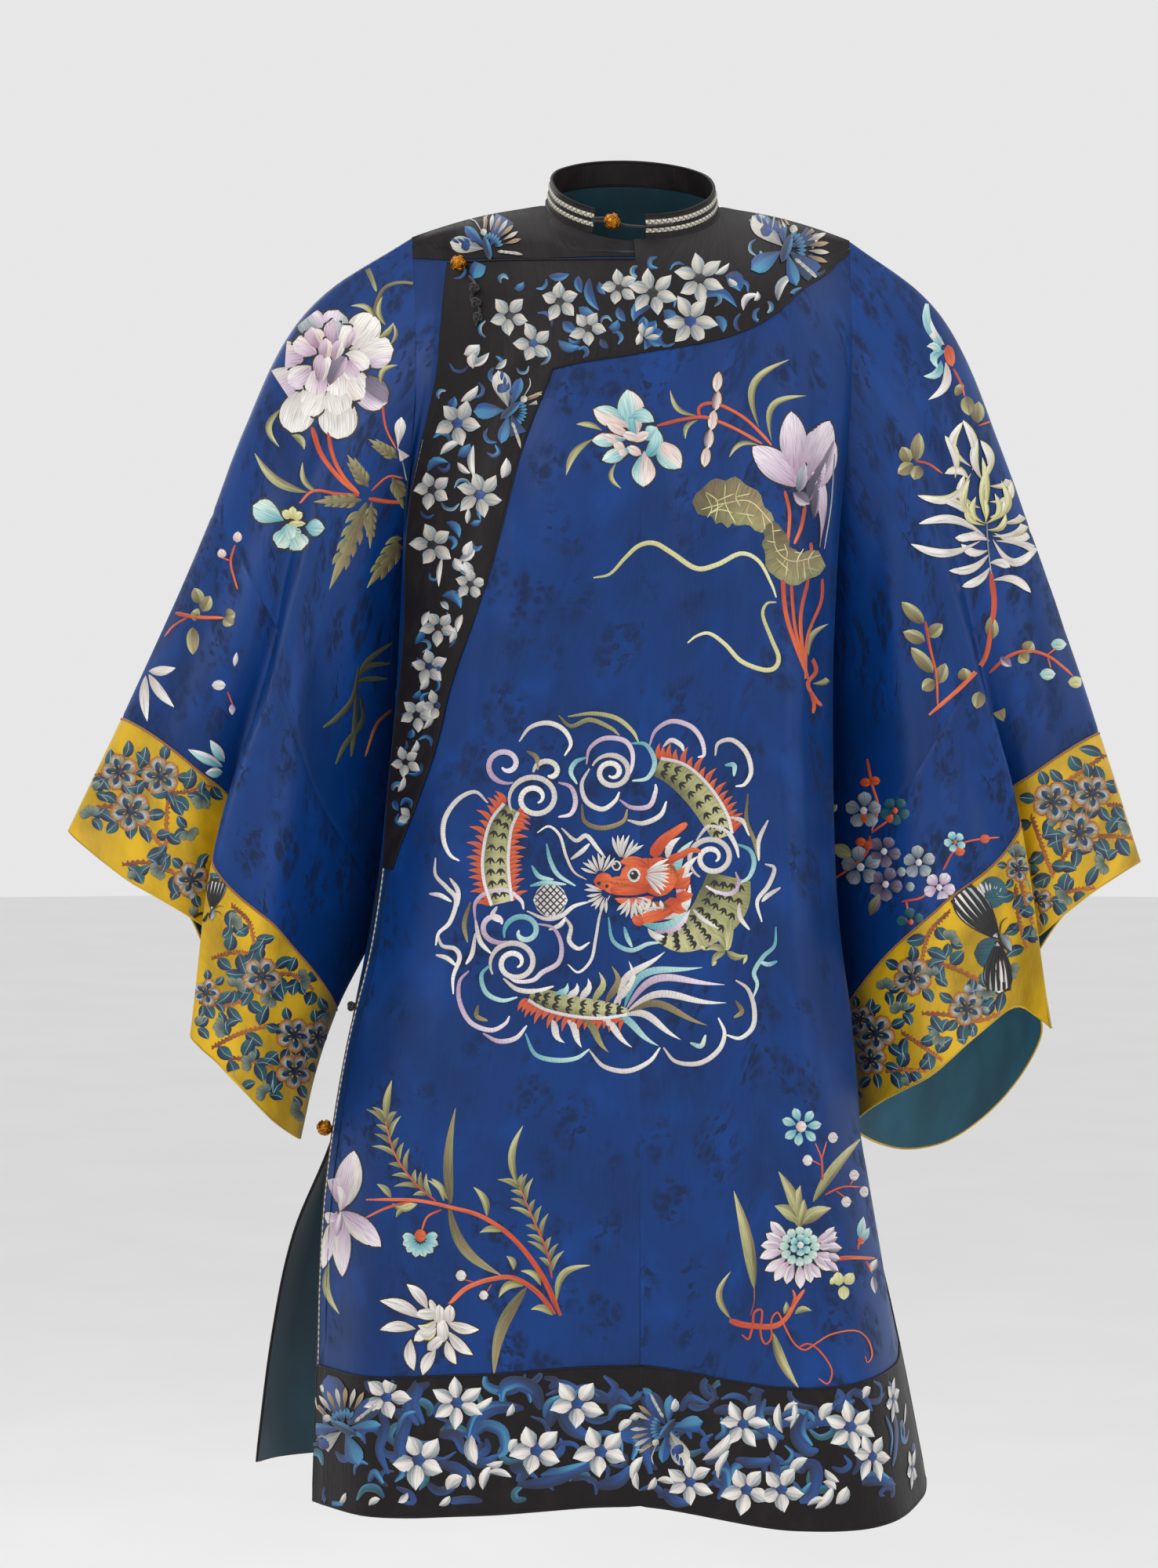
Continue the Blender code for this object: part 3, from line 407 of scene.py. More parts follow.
def finer(grid, down, across, ring=False):
    """The grid with so many times the steps, on a smooth surface through its points."""
    for axis, times in ((0, down), (1, across)):
        closed = ring and axis == 1
        work = np.moveaxis(grid, axis, 0)
        count = len(work)
        if closed:
            before, after = np.roll(work, 1, 0), np.roll(work, -1, 0)
        else:
            before = np.concatenate((2 * work[:1] - work[1:2], work[:-1]))
            after = np.concatenate((work[1:], 2 * work[-1:] - work[-2:-1]))
        slopes = (after - before) / 2
        rows = []
        for i in range(count if closed else count - 1):
            j = (i + 1) % count
            for k in range(times):
                t = k / times
                start = work[i] * (1 + 2 * t) * (1 - t) ** 2 + slopes[i] * t * (1 - t) ** 2
                rows.append(start + work[j] * t * t * (3 - 2 * t) + slopes[j] * t * t * (t - 1))
        if not closed:
            rows.append(work[-1])
        grid = np.moveaxis(np.array(rows), 0, axis)
    return grid


def normals_of(grid, toward, at, ring=False):
    """Unit normals of the grid, on the side that is toward the direction at one of its points."""
    if ring:
        across = np.roll(grid, -1, axis=1) - np.roll(grid, 1, axis=1)
    else:
        across = np.gradient(grid, axis=1)
    normals = np.cross(across, np.gradient(grid, axis=0))
    normals /= np.linalg.norm(normals, axis=2, keepdims=True) + 1e-12
    return normals if np.dot(normals[at], toward) > 0 else -normals


def lengths(grid):
    """Distances in metres across and down the cloth, in which weaves and stitches are measured."""
    across = np.zeros(grid.shape[:2])
    across[:, 1:] = np.cumsum(np.linalg.norm(np.diff(grid, axis=1), axis=2), axis=1)
    across -= across[:, grid.shape[1] // 2][:, None]
    down = np.zeros(grid.shape[:2])
    down[1:] = np.cumsum(np.linalg.norm(np.diff(grid, axis=0), axis=2), axis=0)
    return across, down


def shell(name, grid, normals, low, high, finishes, keep=None, ring=False):
    """Thin closed piece between two distances from the grid. finishes are (outer, inner, rim)."""
    rows, columns = grid.shape[:2]
    ids = np.arange(rows * columns).reshape(rows, columns)
    left = ids if ring else ids[:, :-1]
    right = np.roll(ids, -1, axis=1) if ring else ids[:, 1:]
    if keep is None:
        keep = np.ones((rows - 1, left.shape[1]), bool)
    quads = np.stack((left[:-1], left[1:], right[1:], right[:-1]), axis=-1)[keep]
    flat_grid, flat_normals = grid.reshape(-1, 3), normals.reshape(-1, 3)
    a, b, d = (flat_grid[quads[:, k]] for k in (0, 1, 3))
    if (np.cross(b - a, d - a) * flat_normals[quads[:, 0]]).sum(1).mean() < 0:
        quads = quads[:, ::-1]
    total = rows * columns
    sides = {(q[k], q[(k + 1) % 4]) for q in quads.tolist() for k in range(4)}
    rim = sorted((q, p, p + total, q + total) for p, q in sides if (q, p) not in sides)
    faces = np.concatenate((quads, quads[:, ::-1] + total, np.array(rim)))
    across, down = lengths(grid)
    cloth = np.stack((across, down), axis=-1).reshape(-1, 2)
    points = np.concatenate((flat_grid + flat_normals * high, flat_grid + flat_normals * low))
    used, faces = np.unique(faces, return_inverse=True)
    faces = faces.reshape(-1, 4)
    mesh = bpy.data.meshes.new(name)
    mesh.from_pydata(points[used].tolist(), [], faces.tolist())
    layer = mesh.uv_layers.new(name="cloth")
    layer.data.foreach_set("uv", np.concatenate((cloth, cloth))[used][faces.ravel()].ravel())
    for item in finishes:
        mesh.materials.append(finish(item))
    index = [0] * len(quads) + [1] * len(quads) + [2] * len(rim)
    mesh.polygons.foreach_set("material_index", index)
    mesh.shade_smooth()
    mesh.set_sharp_from_angle(angle=math.radians(50))
    return add(name, mesh)


def add(name, data):
    made = bpy.data.objects.new(name, data)
    bpy.context.scene.collection.objects.link(made)
    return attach(made, "root")


Crease = namedtuple("Crease", "x z to_x to_z wide to_wide deep")


def creases(x, z, rows):
    """Depth of soft troughs, or of ridges where deep is below nought, each along its own line."""
    total = np.zeros_like(x)
    for row in rows:
        start, end = np.array((row.x, row.z)) * MM, np.array((row.to_x, row.to_z)) * MM
        along = end - start
        long = np.linalg.norm(along)
        share = ((x - start[0]) * along[0] + (z - start[1]) * along[1]) / long**2
        off = ((x - start[0]) * along[1] - (z - start[1]) * along[0]) / long
        held = np.clip(share, 0, 1)
        wide = (row.wide + (row.to_wide - row.wide) * held) * MM
        bend = off + 0.12 * wide * np.sin(held * 7 + row.x)
        fade = ease((share + 0.12) / 0.3) * ease((1.12 - share) / 0.3)
        total -= row.deep * MM * np.exp(-((bend / wide) ** 2)) * fade
    return total


# ---------------------------------------------------------------- finishes


def rgb(red, green, blue):
    """Linear colour of a screen colour from 0 to 255."""
    return tuple((c / 255 / 12.92) if c < 10.3 else ((c / 255 + 0.055) / 1.055) ** 2.4 for c in (red,
                                                                                                 green, blue))


def shade(colour, times):
    """The colour so many times as bright."""
    return tuple(c * times for c in colour)


class Wire:
    """A value socket whose operators add Math nodes."""

    def __init__(self, bench, socket):
        self.bench, self.socket = bench, socket

    def to(self, operation, *values):
        settings = {"operation": operation}
        return self.bench.node("ShaderNodeMath", settings, dict(enumerate((self, *values))))

    def __add__(self, other):
        return self.to("ADD", other)

    def __mul__(self, other):
        return self.to("MULTIPLY", other)

    def __sub__(self, other):
        return self.to("SUBTRACT", other)

    def __truediv__(self, other):
        return self.to("DIVIDE", other)

    def __rsub__(self, other):
        return self.bench.node("ShaderNodeMath", {"operation": "SUBTRACT"}, {0: other, 1: self})

    __radd__, __rmul__ = __add__, __mul__

    def between(self, low, high):
        """Rises smoothly from 0 to 1 between two values."""
        settings = {"interpolation_type": "SMOOTHSTEP"}
        return self.bench.node("ShaderNodeMapRange", settings, {0: self, 1: low, 2: high})


class Bench:
    """The node tree of one finish."""

    def __init__(self, name):
        self.item = bpy.data.materials.new(name)
        self.item.use_nodes = True
        self.tree = self.item.node_tree
        self.tree.nodes.clear()

    def node(self, kind, settings=None, inputs=None, out=0):
        """Adds a node with its settings, then its socket values and links, and gives an output."""
        made = self.tree.nodes.new(kind)
        for key, value in (settings or {}).items():
            if key == "stops":
                ramp = made.color_ramp
                for place, colour in value[2:]:
                    ramp.elements.new(place)
                for stop, (place, colour) in zip(ramp.elements, sorted(value)):
                    stop.position, stop.color = place, (*colour, 1)
            else:
                setattr(made, key, value)
        for key, value in (inputs or {}).items():
            socket = made.inputs[key]
            if isinstance(value, Wire):
                self.tree.links.new(value.socket, socket)
            elif socket.type == "RGBA":
                socket.default_value = (*value, 1)
            else:
                socket.default_value = value
        return Wire(self, made.outputs[out]) if made.outputs else None

    def mix(self, share, first, second):
        return self.node("ShaderNodeMix", {"data_type": "RGBA"}, {0: share, 6: first, 7: second}, 2)

    def map(self, across=1, down=1, layer="cloth"):
        """Map of a mesh's flat measure, in metres, scaled each way."""
        flat = self.node("ShaderNodeUVMap", {"uv_map": layer})
        return self.node("ShaderNodeVectorMath", {"operation": "MULTIPLY"}, {0: flat, 1: (across, down, 1)})

    def space(self, scale):
        place = self.node("ShaderNodeTexCoord", out="Object")
        return self.node("ShaderNodeVectorMath", {"operation": "MULTIPLY"}, {0: place, 1: (scale,) * 3})

    def noise(self, vector, detail=2.0):
        return self.node("ShaderNodeTexNoise", None, {"Vector": vector, "Scale": 1.0, "Detail": detail})

    def cells(self, vector, wander=1.0):
        return self.node("ShaderNodeTexVoronoi", None, {"Vector": vector, "Scale": 1.0, "Randomness": wander})

    def bump(self, height, deep, strength=1.0):
        return self.node("ShaderNodeBump", None, {"Height": height, "Distance": deep, "Strength": strength})

    def surface(self, colour, rough, normal=None, **constants):
        inputs = {"Base Color": colour, "Roughness": rough}
        if normal is not None:
            inputs["Normal"] = normal
        inputs.update({key.replace("_", " "): value for key, value in constants.items()})
        shader = self.node("ShaderNodeBsdfPrincipled", None, inputs)
        self.node("ShaderNodeOutputMaterial", None, {"Surface": shader})
        return self.item


def weave(bench, warp, weft):
    """Threads of a fine cloth: uneven long warps crossed by wefts."""
    long = bench.noise(bench.map(warp, weft * 0.06), detail=1.0)
    crossing = bench.noise(bench.map(warp * 0.05, weft), detail=1.0)
    return long * 0.6 + crossing * 0.4


def make_silk(name, colour, figure):
    """Silk damask: strewn flower clusters in the weave, matter and darker than their ground."""
    bench = Bench(name)
    mottled = bench.noise(bench.map(9, 7), detail=3)
    edge = bench.noise(bench.map(120, 120), detail=3)
    far = bench.cells(bench.map(1 / 0.038, 1 / 0.048), wander=0.55)
    near = bench.cells(bench.map(1 / 0.015, 1 / 0.017), wander=0.8)
    cluster = 1 - (far + edge * 0.36).between(0.54, 0.76)
    petals = bench.cells(bench.map(190, 170))
    bloom = (1 - near.between(0.34, 0.60)).to("MAXIMUM", edge.between(0.52, 0.58))
    drawn = cluster * bloom * (1 - petals.between(0.44, 0.74) * 0.55)
    threads = weave(bench, 2600, 2200)
    slubs_and_sheen = bench.noise(bench.map(900, 40), detail=2)
    sheen_patches = bench.noise(bench.map(26, 17), detail=5)
    # The large darker and lighter patches of the ground are painted shade, standing in for the shade in the
    # cloth's folds.
    ground = bench.mix(mottled.between(0.3, 0.7), shade(colour, 0.74), shade(colour, 1.18))
    # The brighter patches toward 1.6 times the ground are painted sheen.
    ground = bench.mix(sheen_patches.between(0.48, 0.72) * 0.6, ground, shade(colour, 1.6))
    base = bench.mix(drawn * (mottled.between(0.34, 0.60) * 0.42 + 0.48), ground, figure)
    # Streaks of slubs in the weave: they raise the bump, and brightening them toward 1.7 times the ground is
    # painted lustre.
    base = bench.mix(slubs_and_sheen.between(0.42, 0.75) * 0.20, base, shade(colour, 1.7))
    height = threads * 0.35 + slubs_and_sheen * 0.4 - drawn * 0.5
    return bench.surface(
        base, drawn * 0.16 + threads * 0.16 + 0.36, bench.bump(height, 0.00025, 0.5),
        Sheen_Weight=0.05, Sheen_Roughness=0.4, Sheen_Tint=(0.12, 0.5, 0.9), Specular_IOR_Level=0.26,
    )


def make_satin(name, colour):
    """Worn black satin, browner where its face has rubbed."""
    bench = Bench(name)
    rubbed = bench.noise(bench.map(70, 50), detail=5)
    pull = bench.noise(bench.map(260, 34), detail=3)
    threads = weave(bench, 2400, 2400)
    base = bench.mix(rubbed.between(0.46, 0.72), colour, shade(colour, 1.9))
    height = pull * 0.9 + threads * 0.25 + rubbed * 0.5
    return bench.surface(
        base, rubbed * 0.22 + 0.40, bench.bump(height, 0.0008, 0.8),
        Sheen_Weight=0.02, Sheen_Roughness=0.5, Specular_IOR_Level=0.20,
    )


def make_plain(name, colour, low=0.75, high=1.3, rough=0.5):
    """Plain silk: uneven dye, soft creases and a fine weave."""
    bench = Bench(name)
    dye_and_sheen = bench.noise(bench.map(22, 16), detail=4)
    soft = bench.noise(bench.map(60, 40), detail=3)
    threads = weave(bench, 2200, 1800)
    # Uneven dyeing; with the cuffs' wide range these patches are partly painted sheen.
    base = bench.mix(dye_and_sheen.between(0.3, 0.7), shade(colour, low), shade(colour, high))
    base = bench.mix(threads.between(0.45, 0.7) * 0.3, base, shade(colour, 1.5))
    height = threads * 0.3 + soft * 1.2
    return bench.surface(
        base, threads * 0.15 + rough, bench.bump(height, 0.0004, 0.5),
        Sheen_Weight=0.2, Sheen_Roughness=0.4, Specular_IOR_Level=0.35,
    )


def make_thread(name):
    """Floss silk in satin stitch: the colour is each shape's own, in fine side-by-side threads."""
    bench = Bench(name)
    dyed = bench.node("ShaderNodeVertexColor", {"layer_name": "thread"})
    strands = bench.noise(bench.map(1500, 60, "stitch"), detail=2)
    fine = bench.noise(bench.map(3400, 120, "stitch"), detail=1)
    # Strands lighter and darker side by side: painted sheen on each strand and painted shade between them.
    lit = strands.between(0.25, 0.62)
    dark = bench.node("ShaderNodeVectorMath", {"operation": "MULTIPLY"}, {0: dyed, 1: (0.52, 0.52, 0.55)})
    base = bench.mix(lit, dark, dyed)
    return bench.surface(
        base, fine * 0.25 + 0.32, bench.bump(strands * 0.7 + fine * 0.3, 0.0003, 0.8),
        Sheen_Weight=0.25, Sheen_Roughness=0.3, Specular_IOR_Level=0.5,
    )


def make_braid(name, colour, ground):
    """Narrow woven braid with a small zigzag of darker thread."""
    bench = Bench(name)
    flat = bench.map()
    parts = bench.node("ShaderNodeSeparateXYZ", None, {0: flat})
    down = bench.node("ShaderNodeSeparateXYZ", None, {0: flat}, 1)
    zigzag = (parts * 420).to("PINGPONG", 1.0) - (down * 420).to("PINGPONG", 1.0)
    line = 1 - zigzag.to("ABSOLUTE").between(0.12, 0.34)
    knots = bench.noise(bench.map(1300, 1300), detail=1)
    base = bench.mix(line * 0.8, colour, ground)
    base = bench.mix(knots.between(0.5, 0.75) * 0.45, base, shade(colour, 0.45))
    height = knots * 0.6 - line * 0.5
    return bench.surface(base, knots * 0.2 + 0.5, bench.bump(height, 0.0005, 0.7), Sheen_Weight=0.1)


def make_cord(name, colour):
    """Twisted silk cord."""
    bench = Bench(name)
    parts = bench.node("ShaderNodeSeparateXYZ", None, {0: bench.map()})
    down = bench.node("ShaderNodeSeparateXYZ", None, {0: bench.map()}, 1)
    twist = ((parts * 900 + down * 1500).to("PINGPONG", 1.0)).between(0.0, 1.0)
    hair = bench.noise(bench.space(2400), detail=2)
    # The twist's stripes are painted: darker in the grooves between the plies as shade, lighter on their
    # crowns as sheen.
    base = bench.mix(twist * 0.7 + hair * 0.3, shade(colour, 0.5), shade(colour, 1.5))
    return bench.surface(
        base, hair * 0.2 + 0.42, bench.bump(twist + hair * 0.3, 0.0005, 0.8), Sheen_Weight=0.2,
    )


def make_gilt(name, colour):
    """Gilt metal, dark in its hollows and bright where it is handled."""
    bench = Bench(name)
    mottled = bench.noise(bench.space(500), detail=4)
    grain = bench.noise(bench.space(2600), detail=2)
    base = bench.mix(mottled.between(0.35, 0.65), shade(colour, 0.45), colour)
    return bench.surface(
        base, mottled * 0.3 + 0.2, bench.bump(grain + mottled, 0.0002, 0.5), Metallic=1.0,
    )


FINISHES = {
    "silk": lambda name, look: make_silk(name, look.silk, look.figure),
    "satin": lambda name, look: make_satin(name, look.satin),
    # The cuffs' wide range from 0.6 to 1.3 paints the silk's brighter and darker sheen patches.
    "cuff_silk": lambda name, look: make_plain(name, look.cuff, 0.6, 1.3, 0.36),
    "sleeve_lining": lambda name, look: make_plain(name, look.lining),
    # The body's lining is the sleeves' lining at 0.42 of its brightness: painted shade for the dim inside of
    # the body.
    "body_lining": lambda name, look: make_plain(name, shade(look.lining, 0.42)),
    "thread": lambda name, look: make_thread(name),
    "braid": lambda name, look: make_braid(name, look.braid, look.satin),
    "cord": lambda name, look: make_cord(name, look.satin),
    "piping": lambda name, look: make_cord(name, look.piping),
    "gilt": lambda name, look: make_gilt(name, look.gilt),
}


def finish(name):
    """The material of that name, made when it is first asked for."""
    made = bpy.data.materials.get("robe_" + name)
    if made is None:
        look = bpy.context.scene.robe_look
        made = FINISHES[name]("robe_" + name, Linear(look))
    return made


class Linear:
    """The look's colours as plain tuples."""

    def __init__(self, look):
        for key in ("silk", "figure", "satin", "cuff", "lining", "braid", "piping", "gilt"):
            setattr(self, key, tuple(getattr(look, key)))


# ---------------------------------------------------------------- body panels

NECK_SHARES = [NECK_SHARE * k / 6 for k in range(7)]
ROWS = (4, 3, 5, 6, 1)
DOWN, ACROSS = 8, 4
YOKE_ROW, LAPEL_ROW, LAPEL_COLUMN, SLIT_ROW = 4 * DOWN, 13 * DOWN, 4 * ACROSS, 12 * DOWN
BEFORE, BEHIND, BELOW = (0, -1, 0), (0, 1, 0), (0, 0, -1)


def heights_down(across, sign, aft, levels, counts, rounded):
    """Heights between the level lines, the first ones spread along the shoulder's curve."""
    heights = []
    for high, low, count in zip(levels, levels[1:], counts):
        heights += [high + (low - high) * k / count for k in range(count)]
    heights.append(levels[-1])
    base, first = top_line(sign, across, aft)[2], start_angle(across)
    ends = [
        math.acos(math.cos(first) * (1 - min(max((base - z) / (base - CHEST), 0.0), 1.0)))
        for z in (heights[0], heights[rounded])
    ]
    for k in range(1, rounded):
        turn = ends[0] + (ends[1] - ends[0]) * k / rounded
        heights[k] = base - (base - CHEST) * (1 - math.cos(turn) / math.cos(first))
    return heights


def panel(shares, sign, aft, levels, counts, rounded):
    columns = []
    for across in shares:
        heights = heights_down(across, sign, aft, levels(across), counts, rounded)
        columns.append([body(sign, across, z, aft) for z in heights])
    return np.array(columns).transpose(1, 0, 2)


def left_levels(across):
    top, hem = top_line(1, across, False)[2], hem_height(1, across)
    return (top, min(edge_height(YOKE_LEFT, across), top - 2 * MM), YOKE_BELOW, ARMPIT, hem + HEM_BAND, hem)


def back_levels(sign):
    def levels(across):
        top = top_line(sign, across, True)[2]
        yoke = min(edge_height(YOKE_BACK, across), top - 2 * MM)
        return (top, yoke, YOKE_BELOW, ARMPIT, HEM + HEM_BAND - BACK_DROP, HEM - BACK_DROP)

    return levels


def overlap_panel():
    """Grid of the overlap, whose first columns keep to the lapel's inner edge."""
    bands = (
        (4, lambda a: YOKE_TOP, lambda a: edge_height(YOKE_RIGHT, a)),
        (3, lambda a: edge_height(YOKE_RIGHT, a), lambda a: LAPEL_TURN),
        (6, lambda a: LAPEL_TURN, lambda a: LAPEL_END),
        (6, lambda a: LAPEL_END, lambda a: hem_height(-1, a) + HEM_BAND),
        (1, lambda a: hem_height(-1, a) + HEM_BAND, lambda a: hem_height(-1, a)),
    )
    rows = []
    for count, high, low in bands:
        for k in range(count + (low(0) == hem_height(-1, 0))):
            share = k / count
            inner = lapel_share(high(0.4) + (low(0.4) - high(0.4)) * share)
            outer_shares = [EDGE + (inner - EDGE) * j / 4 for j in range(4)]
            shares = outer_shares + [inner * (1 - j / 7) for j in range(8)]
            rows.append([body(-1, a, high(a) + (low(a) - high(a)) * share, False) for a in shares])
    return np.array(rows)


BODY_CREASES = (
    Crease(34, -150, 26, -960, 26, 40, 3.6), Crease(104, -280, 128, -970, 20, 34, -4.2),
    Crease(72, -400, 84, -990, 22, 34, 4.6), Crease(-52, -280, -74, -970, 24, 40, 3.4),
    Crease(-112, -500, -168, -970, 20, 32, 4.2), Crease(-8, -330, -2, -960, 8, 14, 2.4),
    Crease(132, -140, 140, -600, 13, 18, 5.6), Crease(152, -560, 178, -950, 15, 26, -3.8),
    Crease(-146, -600, -214, -950, 16, 26, -3.4), Crease(56, -110, 104, -340, 14, 24, 2.4),
    Crease(-104, -220, -150, -540, 11, 18, -2.4), Crease(8, -180, 24, -430, 10, 18, -1.6),
    Crease(120, -120, 40, -240, 9, 16, 1.6), Crease(150, -330, 96, -470, 9, 15, 1.5),
    Crease(-30, -620, 60, -700, 12, 20, 1.2), Crease(-196, -760, -120, -830, 10, 16, 1.4),
    Crease(186, -690, 128, -770, 10, 16, 1.4), Crease(-84, -130, -120, -300, 8, 12, 1.6),
)
BACK_CREASES = (
    Crease(-40, -160, -58, -960, 30, 48, 4.0), Crease(52, -180, 66, -970, 26, 44, 3.6),
    Crease(6, -240, 0, -960, 22, 34, -3.4), Crease(112, -260, 150, -960, 20, 34, 3.4),
    Crease(-118, -250, -176, -950, 20, 36, 3.8), Crease(-84, -420, -120, -970, 20, 32, -2.8),
    Crease(92, -460, 110, -960, 18, 30, -2.6), Crease(-140, -120, -100, -300, 14, 20, 2.2),
    Crease(138, -110, 98, -290, 14, 20, 2.0),
)


CREASE_TOP, CREASE_FADE = -0.07, 0.06  # height at which the creases begin, and over what depth


def below_yoke(grid):
    return ease((CREASE_TOP - grid[..., 2]) / CREASE_FADE)


def press(grid, normals, rows, edge):
    """Adds the creases to a panel, none of them at its armhole edge."""
    deep = creases(grid[..., 0], grid[..., 2], rows) * edge
    return grid + normals * deep[..., None]


def fade_beside(columns, start, end):
    """1 over a panel and 0 at the columns start to end."""
    return 1 - ease((np.arange(columns) - start) / (end - start))


SEAM_SHUT = 0.14 * MM  # how far each front is drawn in so that their middle seam closes


def cloth_grids():
    """The four body panels as fine grids with normals, creases pressed in."""
    grids = {}
    half = NECK_SHARES + [0.47, 0.56, 0.64, 0.70, 0.75, 0.79, 0.83, 0.89, SIDE_END]
    left = finer(panel(half, 1, False, left_levels, ROWS, ROWS[0]), DOWN, ACROSS)
    normals = normals_of(left, BEFORE, (60, 8))
    side_fade = fade_beside(left.shape[1], 48, 58)[None, :]
    left = press(left, normals, BODY_CREASES, side_fade * below_yoke(left))
    grids["left"] = left, normals_of(left, BEFORE, (60, 8))
    lap = finer(overlap_panel(), DOWN, ACROSS)
    normals = normals_of(lap, BEFORE, (60, 30))
    lap = press(lap, normals, BODY_CREASES, below_yoke(lap))
    grids["overlap"] = lap, normals_of(lap, BEFORE, (60, 30))
    left[:, 0, 0] -= SEAM_SHUT
    lap[:, -1, 0] += SEAM_SHUT
    shares = NECK_SHARES + [0.50, 0.62, 0.70, 0.75, 0.80, 0.85, 0.91, SIDE_END]
    levels = lambda a: (top_line(-1, a, False)[2], LAP_TO, CHEST, INNER_HEM)
    inner = panel(shares, -1, False, levels, (3, 2, 7), 3)
    normals = normals_of(inner, BEFORE, (8, 3))
    deep = ease((LAP_FROM - inner[..., 2]) / (LAP_FROM - LAP_TO))
    deep = deep * (1 - ease((np.array(shares) - EDGE - 0.02) / (1 - EDGE - 0.04)))
    inner = finer(inner - normals * (LAP * deep)[..., None], DOWN, ACROSS)
    grids["inner"] = inner, normals_of(inner, BEFORE, (60, 8))
    half = NECK_SHARES + [0.50, 0.62, 0.73, 0.81, 0.88, SIDE_END]
    parts = [
        panel(shares, sign, True, back_levels(sign), ROWS, ROWS[0])
        for sign, shares in ((-1, half[::-1]), (1, half[1:]))
    ]
    back = finer(np.concatenate(parts, axis=1), DOWN, ACROSS)
    normals = normals_of(back, BEHIND, (60, 40))
    fade = fade_beside(back.shape[1], 88, 98) * fade_beside(back.shape[1], 88, 98)[::-1]
    back = press(back, normals, BACK_CREASES, fade[None, :] * below_yoke(back))
    grids["back"] = back, normals_of(back, BEHIND, (60, 40))
    return grids


STORE = {}


def body_grids():
    if "body" not in STORE:
        STORE["body"] = cloth_grids()
    return STORE["body"]


Cut = namedtuple("Cut", "wide long area held")


def declare(piece, node):
    """Says which solid a piece stands for, its slot, and the flat cloth that it was cut from."""
    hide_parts(node)
    return piece


# ---------------------------------------------------------------- making the pieces


def rows_of(count, first, last):
    keep = np.zeros((count[0] - 1, count[1] - 1), bool)
    keep[first:last] = True
    return keep


def make_panels(look):
    grids = body_grids()
    silk = ("silk", "body_lining", "satin")
    cuts = {
        "front_left": Cut(0.30, 0.98, 0.248, "hung"), "front_overlap": Cut(0.27, 0.95, 0.211, "hung"),
        "front_inner": Cut(0.25, 0.70, 0.160, "hung"), "back": Cut(0.56, 0.98, 0.466, "hung"),
    }
    for node, cut in cuts.items():
        grid, normals = grids[node.removeprefix("front_")]
        piece = shell(node + "_silk", grid, normals, -look.cloth, 0, silk)
        declare(piece, node)


def make_satin_bands(look):
    """Shoulder yokes, the lapel border and the borders of the hem, laid on their panels."""
    grids = body_grids()
    satin = ("satin", "satin", "satin")
    low, high = 0.1 * MM, look.satin_lift

    def lay(node, key, keep):
        grid, normals = grids[key]
        piece = shell(node + "_satin", grid, normals, low, high, satin, keep)
        declare(piece, node)

    left, lap, inner, back = (grids[key][0].shape for key in ("left", "overlap", "inner", "back"))
    keep = rows_of(left, 0, ROWS[0] * DOWN)
    lay("yoke_left", "left", keep)
    keep = rows_of(lap, 0, YOKE_ROW)
    keep[:LAPEL_ROW, :LAPEL_COLUMN] = True
    lay("yoke_overlap", "overlap", keep)
    keep = rows_of(inner, 0, 3 * DOWN)
    lay("yoke_right", "inner", keep)
    keep = rows_of(back, 0, ROWS[0] * DOWN)
    lay("yoke_back", "back", keep)
    for key, size in (("left", left), ("overlap", lap), ("back", back)):
        keep = rows_of(size, size[0] - 1 - DOWN, size[0])
        lay("hem_band_" + key, key, keep)


ALONG = (0.0, 0.50, 0.80, 1.0)
SLEEVE_STEPS = (13, 8, 6)
AROUND = 30
FINER_DOWN, FINER_ROUND = 4, 5
SLEEVE_BOUNDS = np.concatenate(([0], np.cumsum(SLEEVE_STEPS) * FINER_DOWN))  # rows of the sleeve's seams
UNDER_SEAM = 80  # column of the under seam
SWING = {1: (13 * MM, 16 * MM), -1: (20 * MM, 26 * MM)}  # how far the hanging seam swings in and back


def sleeve_grid(sign):
    """One sleeve from the armhole to its hem, as a fine ring grid with its creases."""
    if sign not in STORE:
        rows = []
        for start, stop, count in zip(ALONG, ALONG[1:], SLEEVE_STEPS):
            rows += [start + (stop - start) * k / count for k in range(count)]
        rows.append(1.0)
        grid = [[sleeve(sign, k * len(COLUMNS) / AROUND, along) for k in range(AROUND)] for along in rows]
        grid = finer(np.array(grid), FINER_DOWN, FINER_ROUND, ring=True)
        normals = normals_of(grid, BELOW, (54, 80), ring=True)
        share = np.interp(np.arange(grid.shape[0]), np.arange(len(rows)) * FINER_DOWN, rows)
        front = ease((0.02 - normals[..., 1]) / 0.4)
        held = ease((share - 0.02) / 0.16)[:, None]
        deep = creases(grid[..., 0], grid[..., 2], SLEEVE_CREASES[sign]) * front
        deep = deep + creases(grid[..., 0], grid[..., 2], SLEEVE_BACK_CREASES[sign]) * (1 - front)
        for place in SLEEVE_BOUNDS[1:3]:
            deep[place] -= 0.6 * MM
        grid = grid + normals * (deep * held)[..., None]
        swing = np.exp(-((np.arange(grid.shape[1]) - UNDER_SEAM) / 11.0) ** 2)
        fall = ease(share / 0.16) * (1 - ease((share - 0.60) / 0.34))
        for axis, way in ((0, -sign), (1, 1)):
            grid[..., axis] += way * SWING[sign][axis] * fall[:, None] * swing[None, :]
        STORE[sign] = grid, normals_of(grid, BELOW, (54, 80), ring=True)
    return STORE[sign]


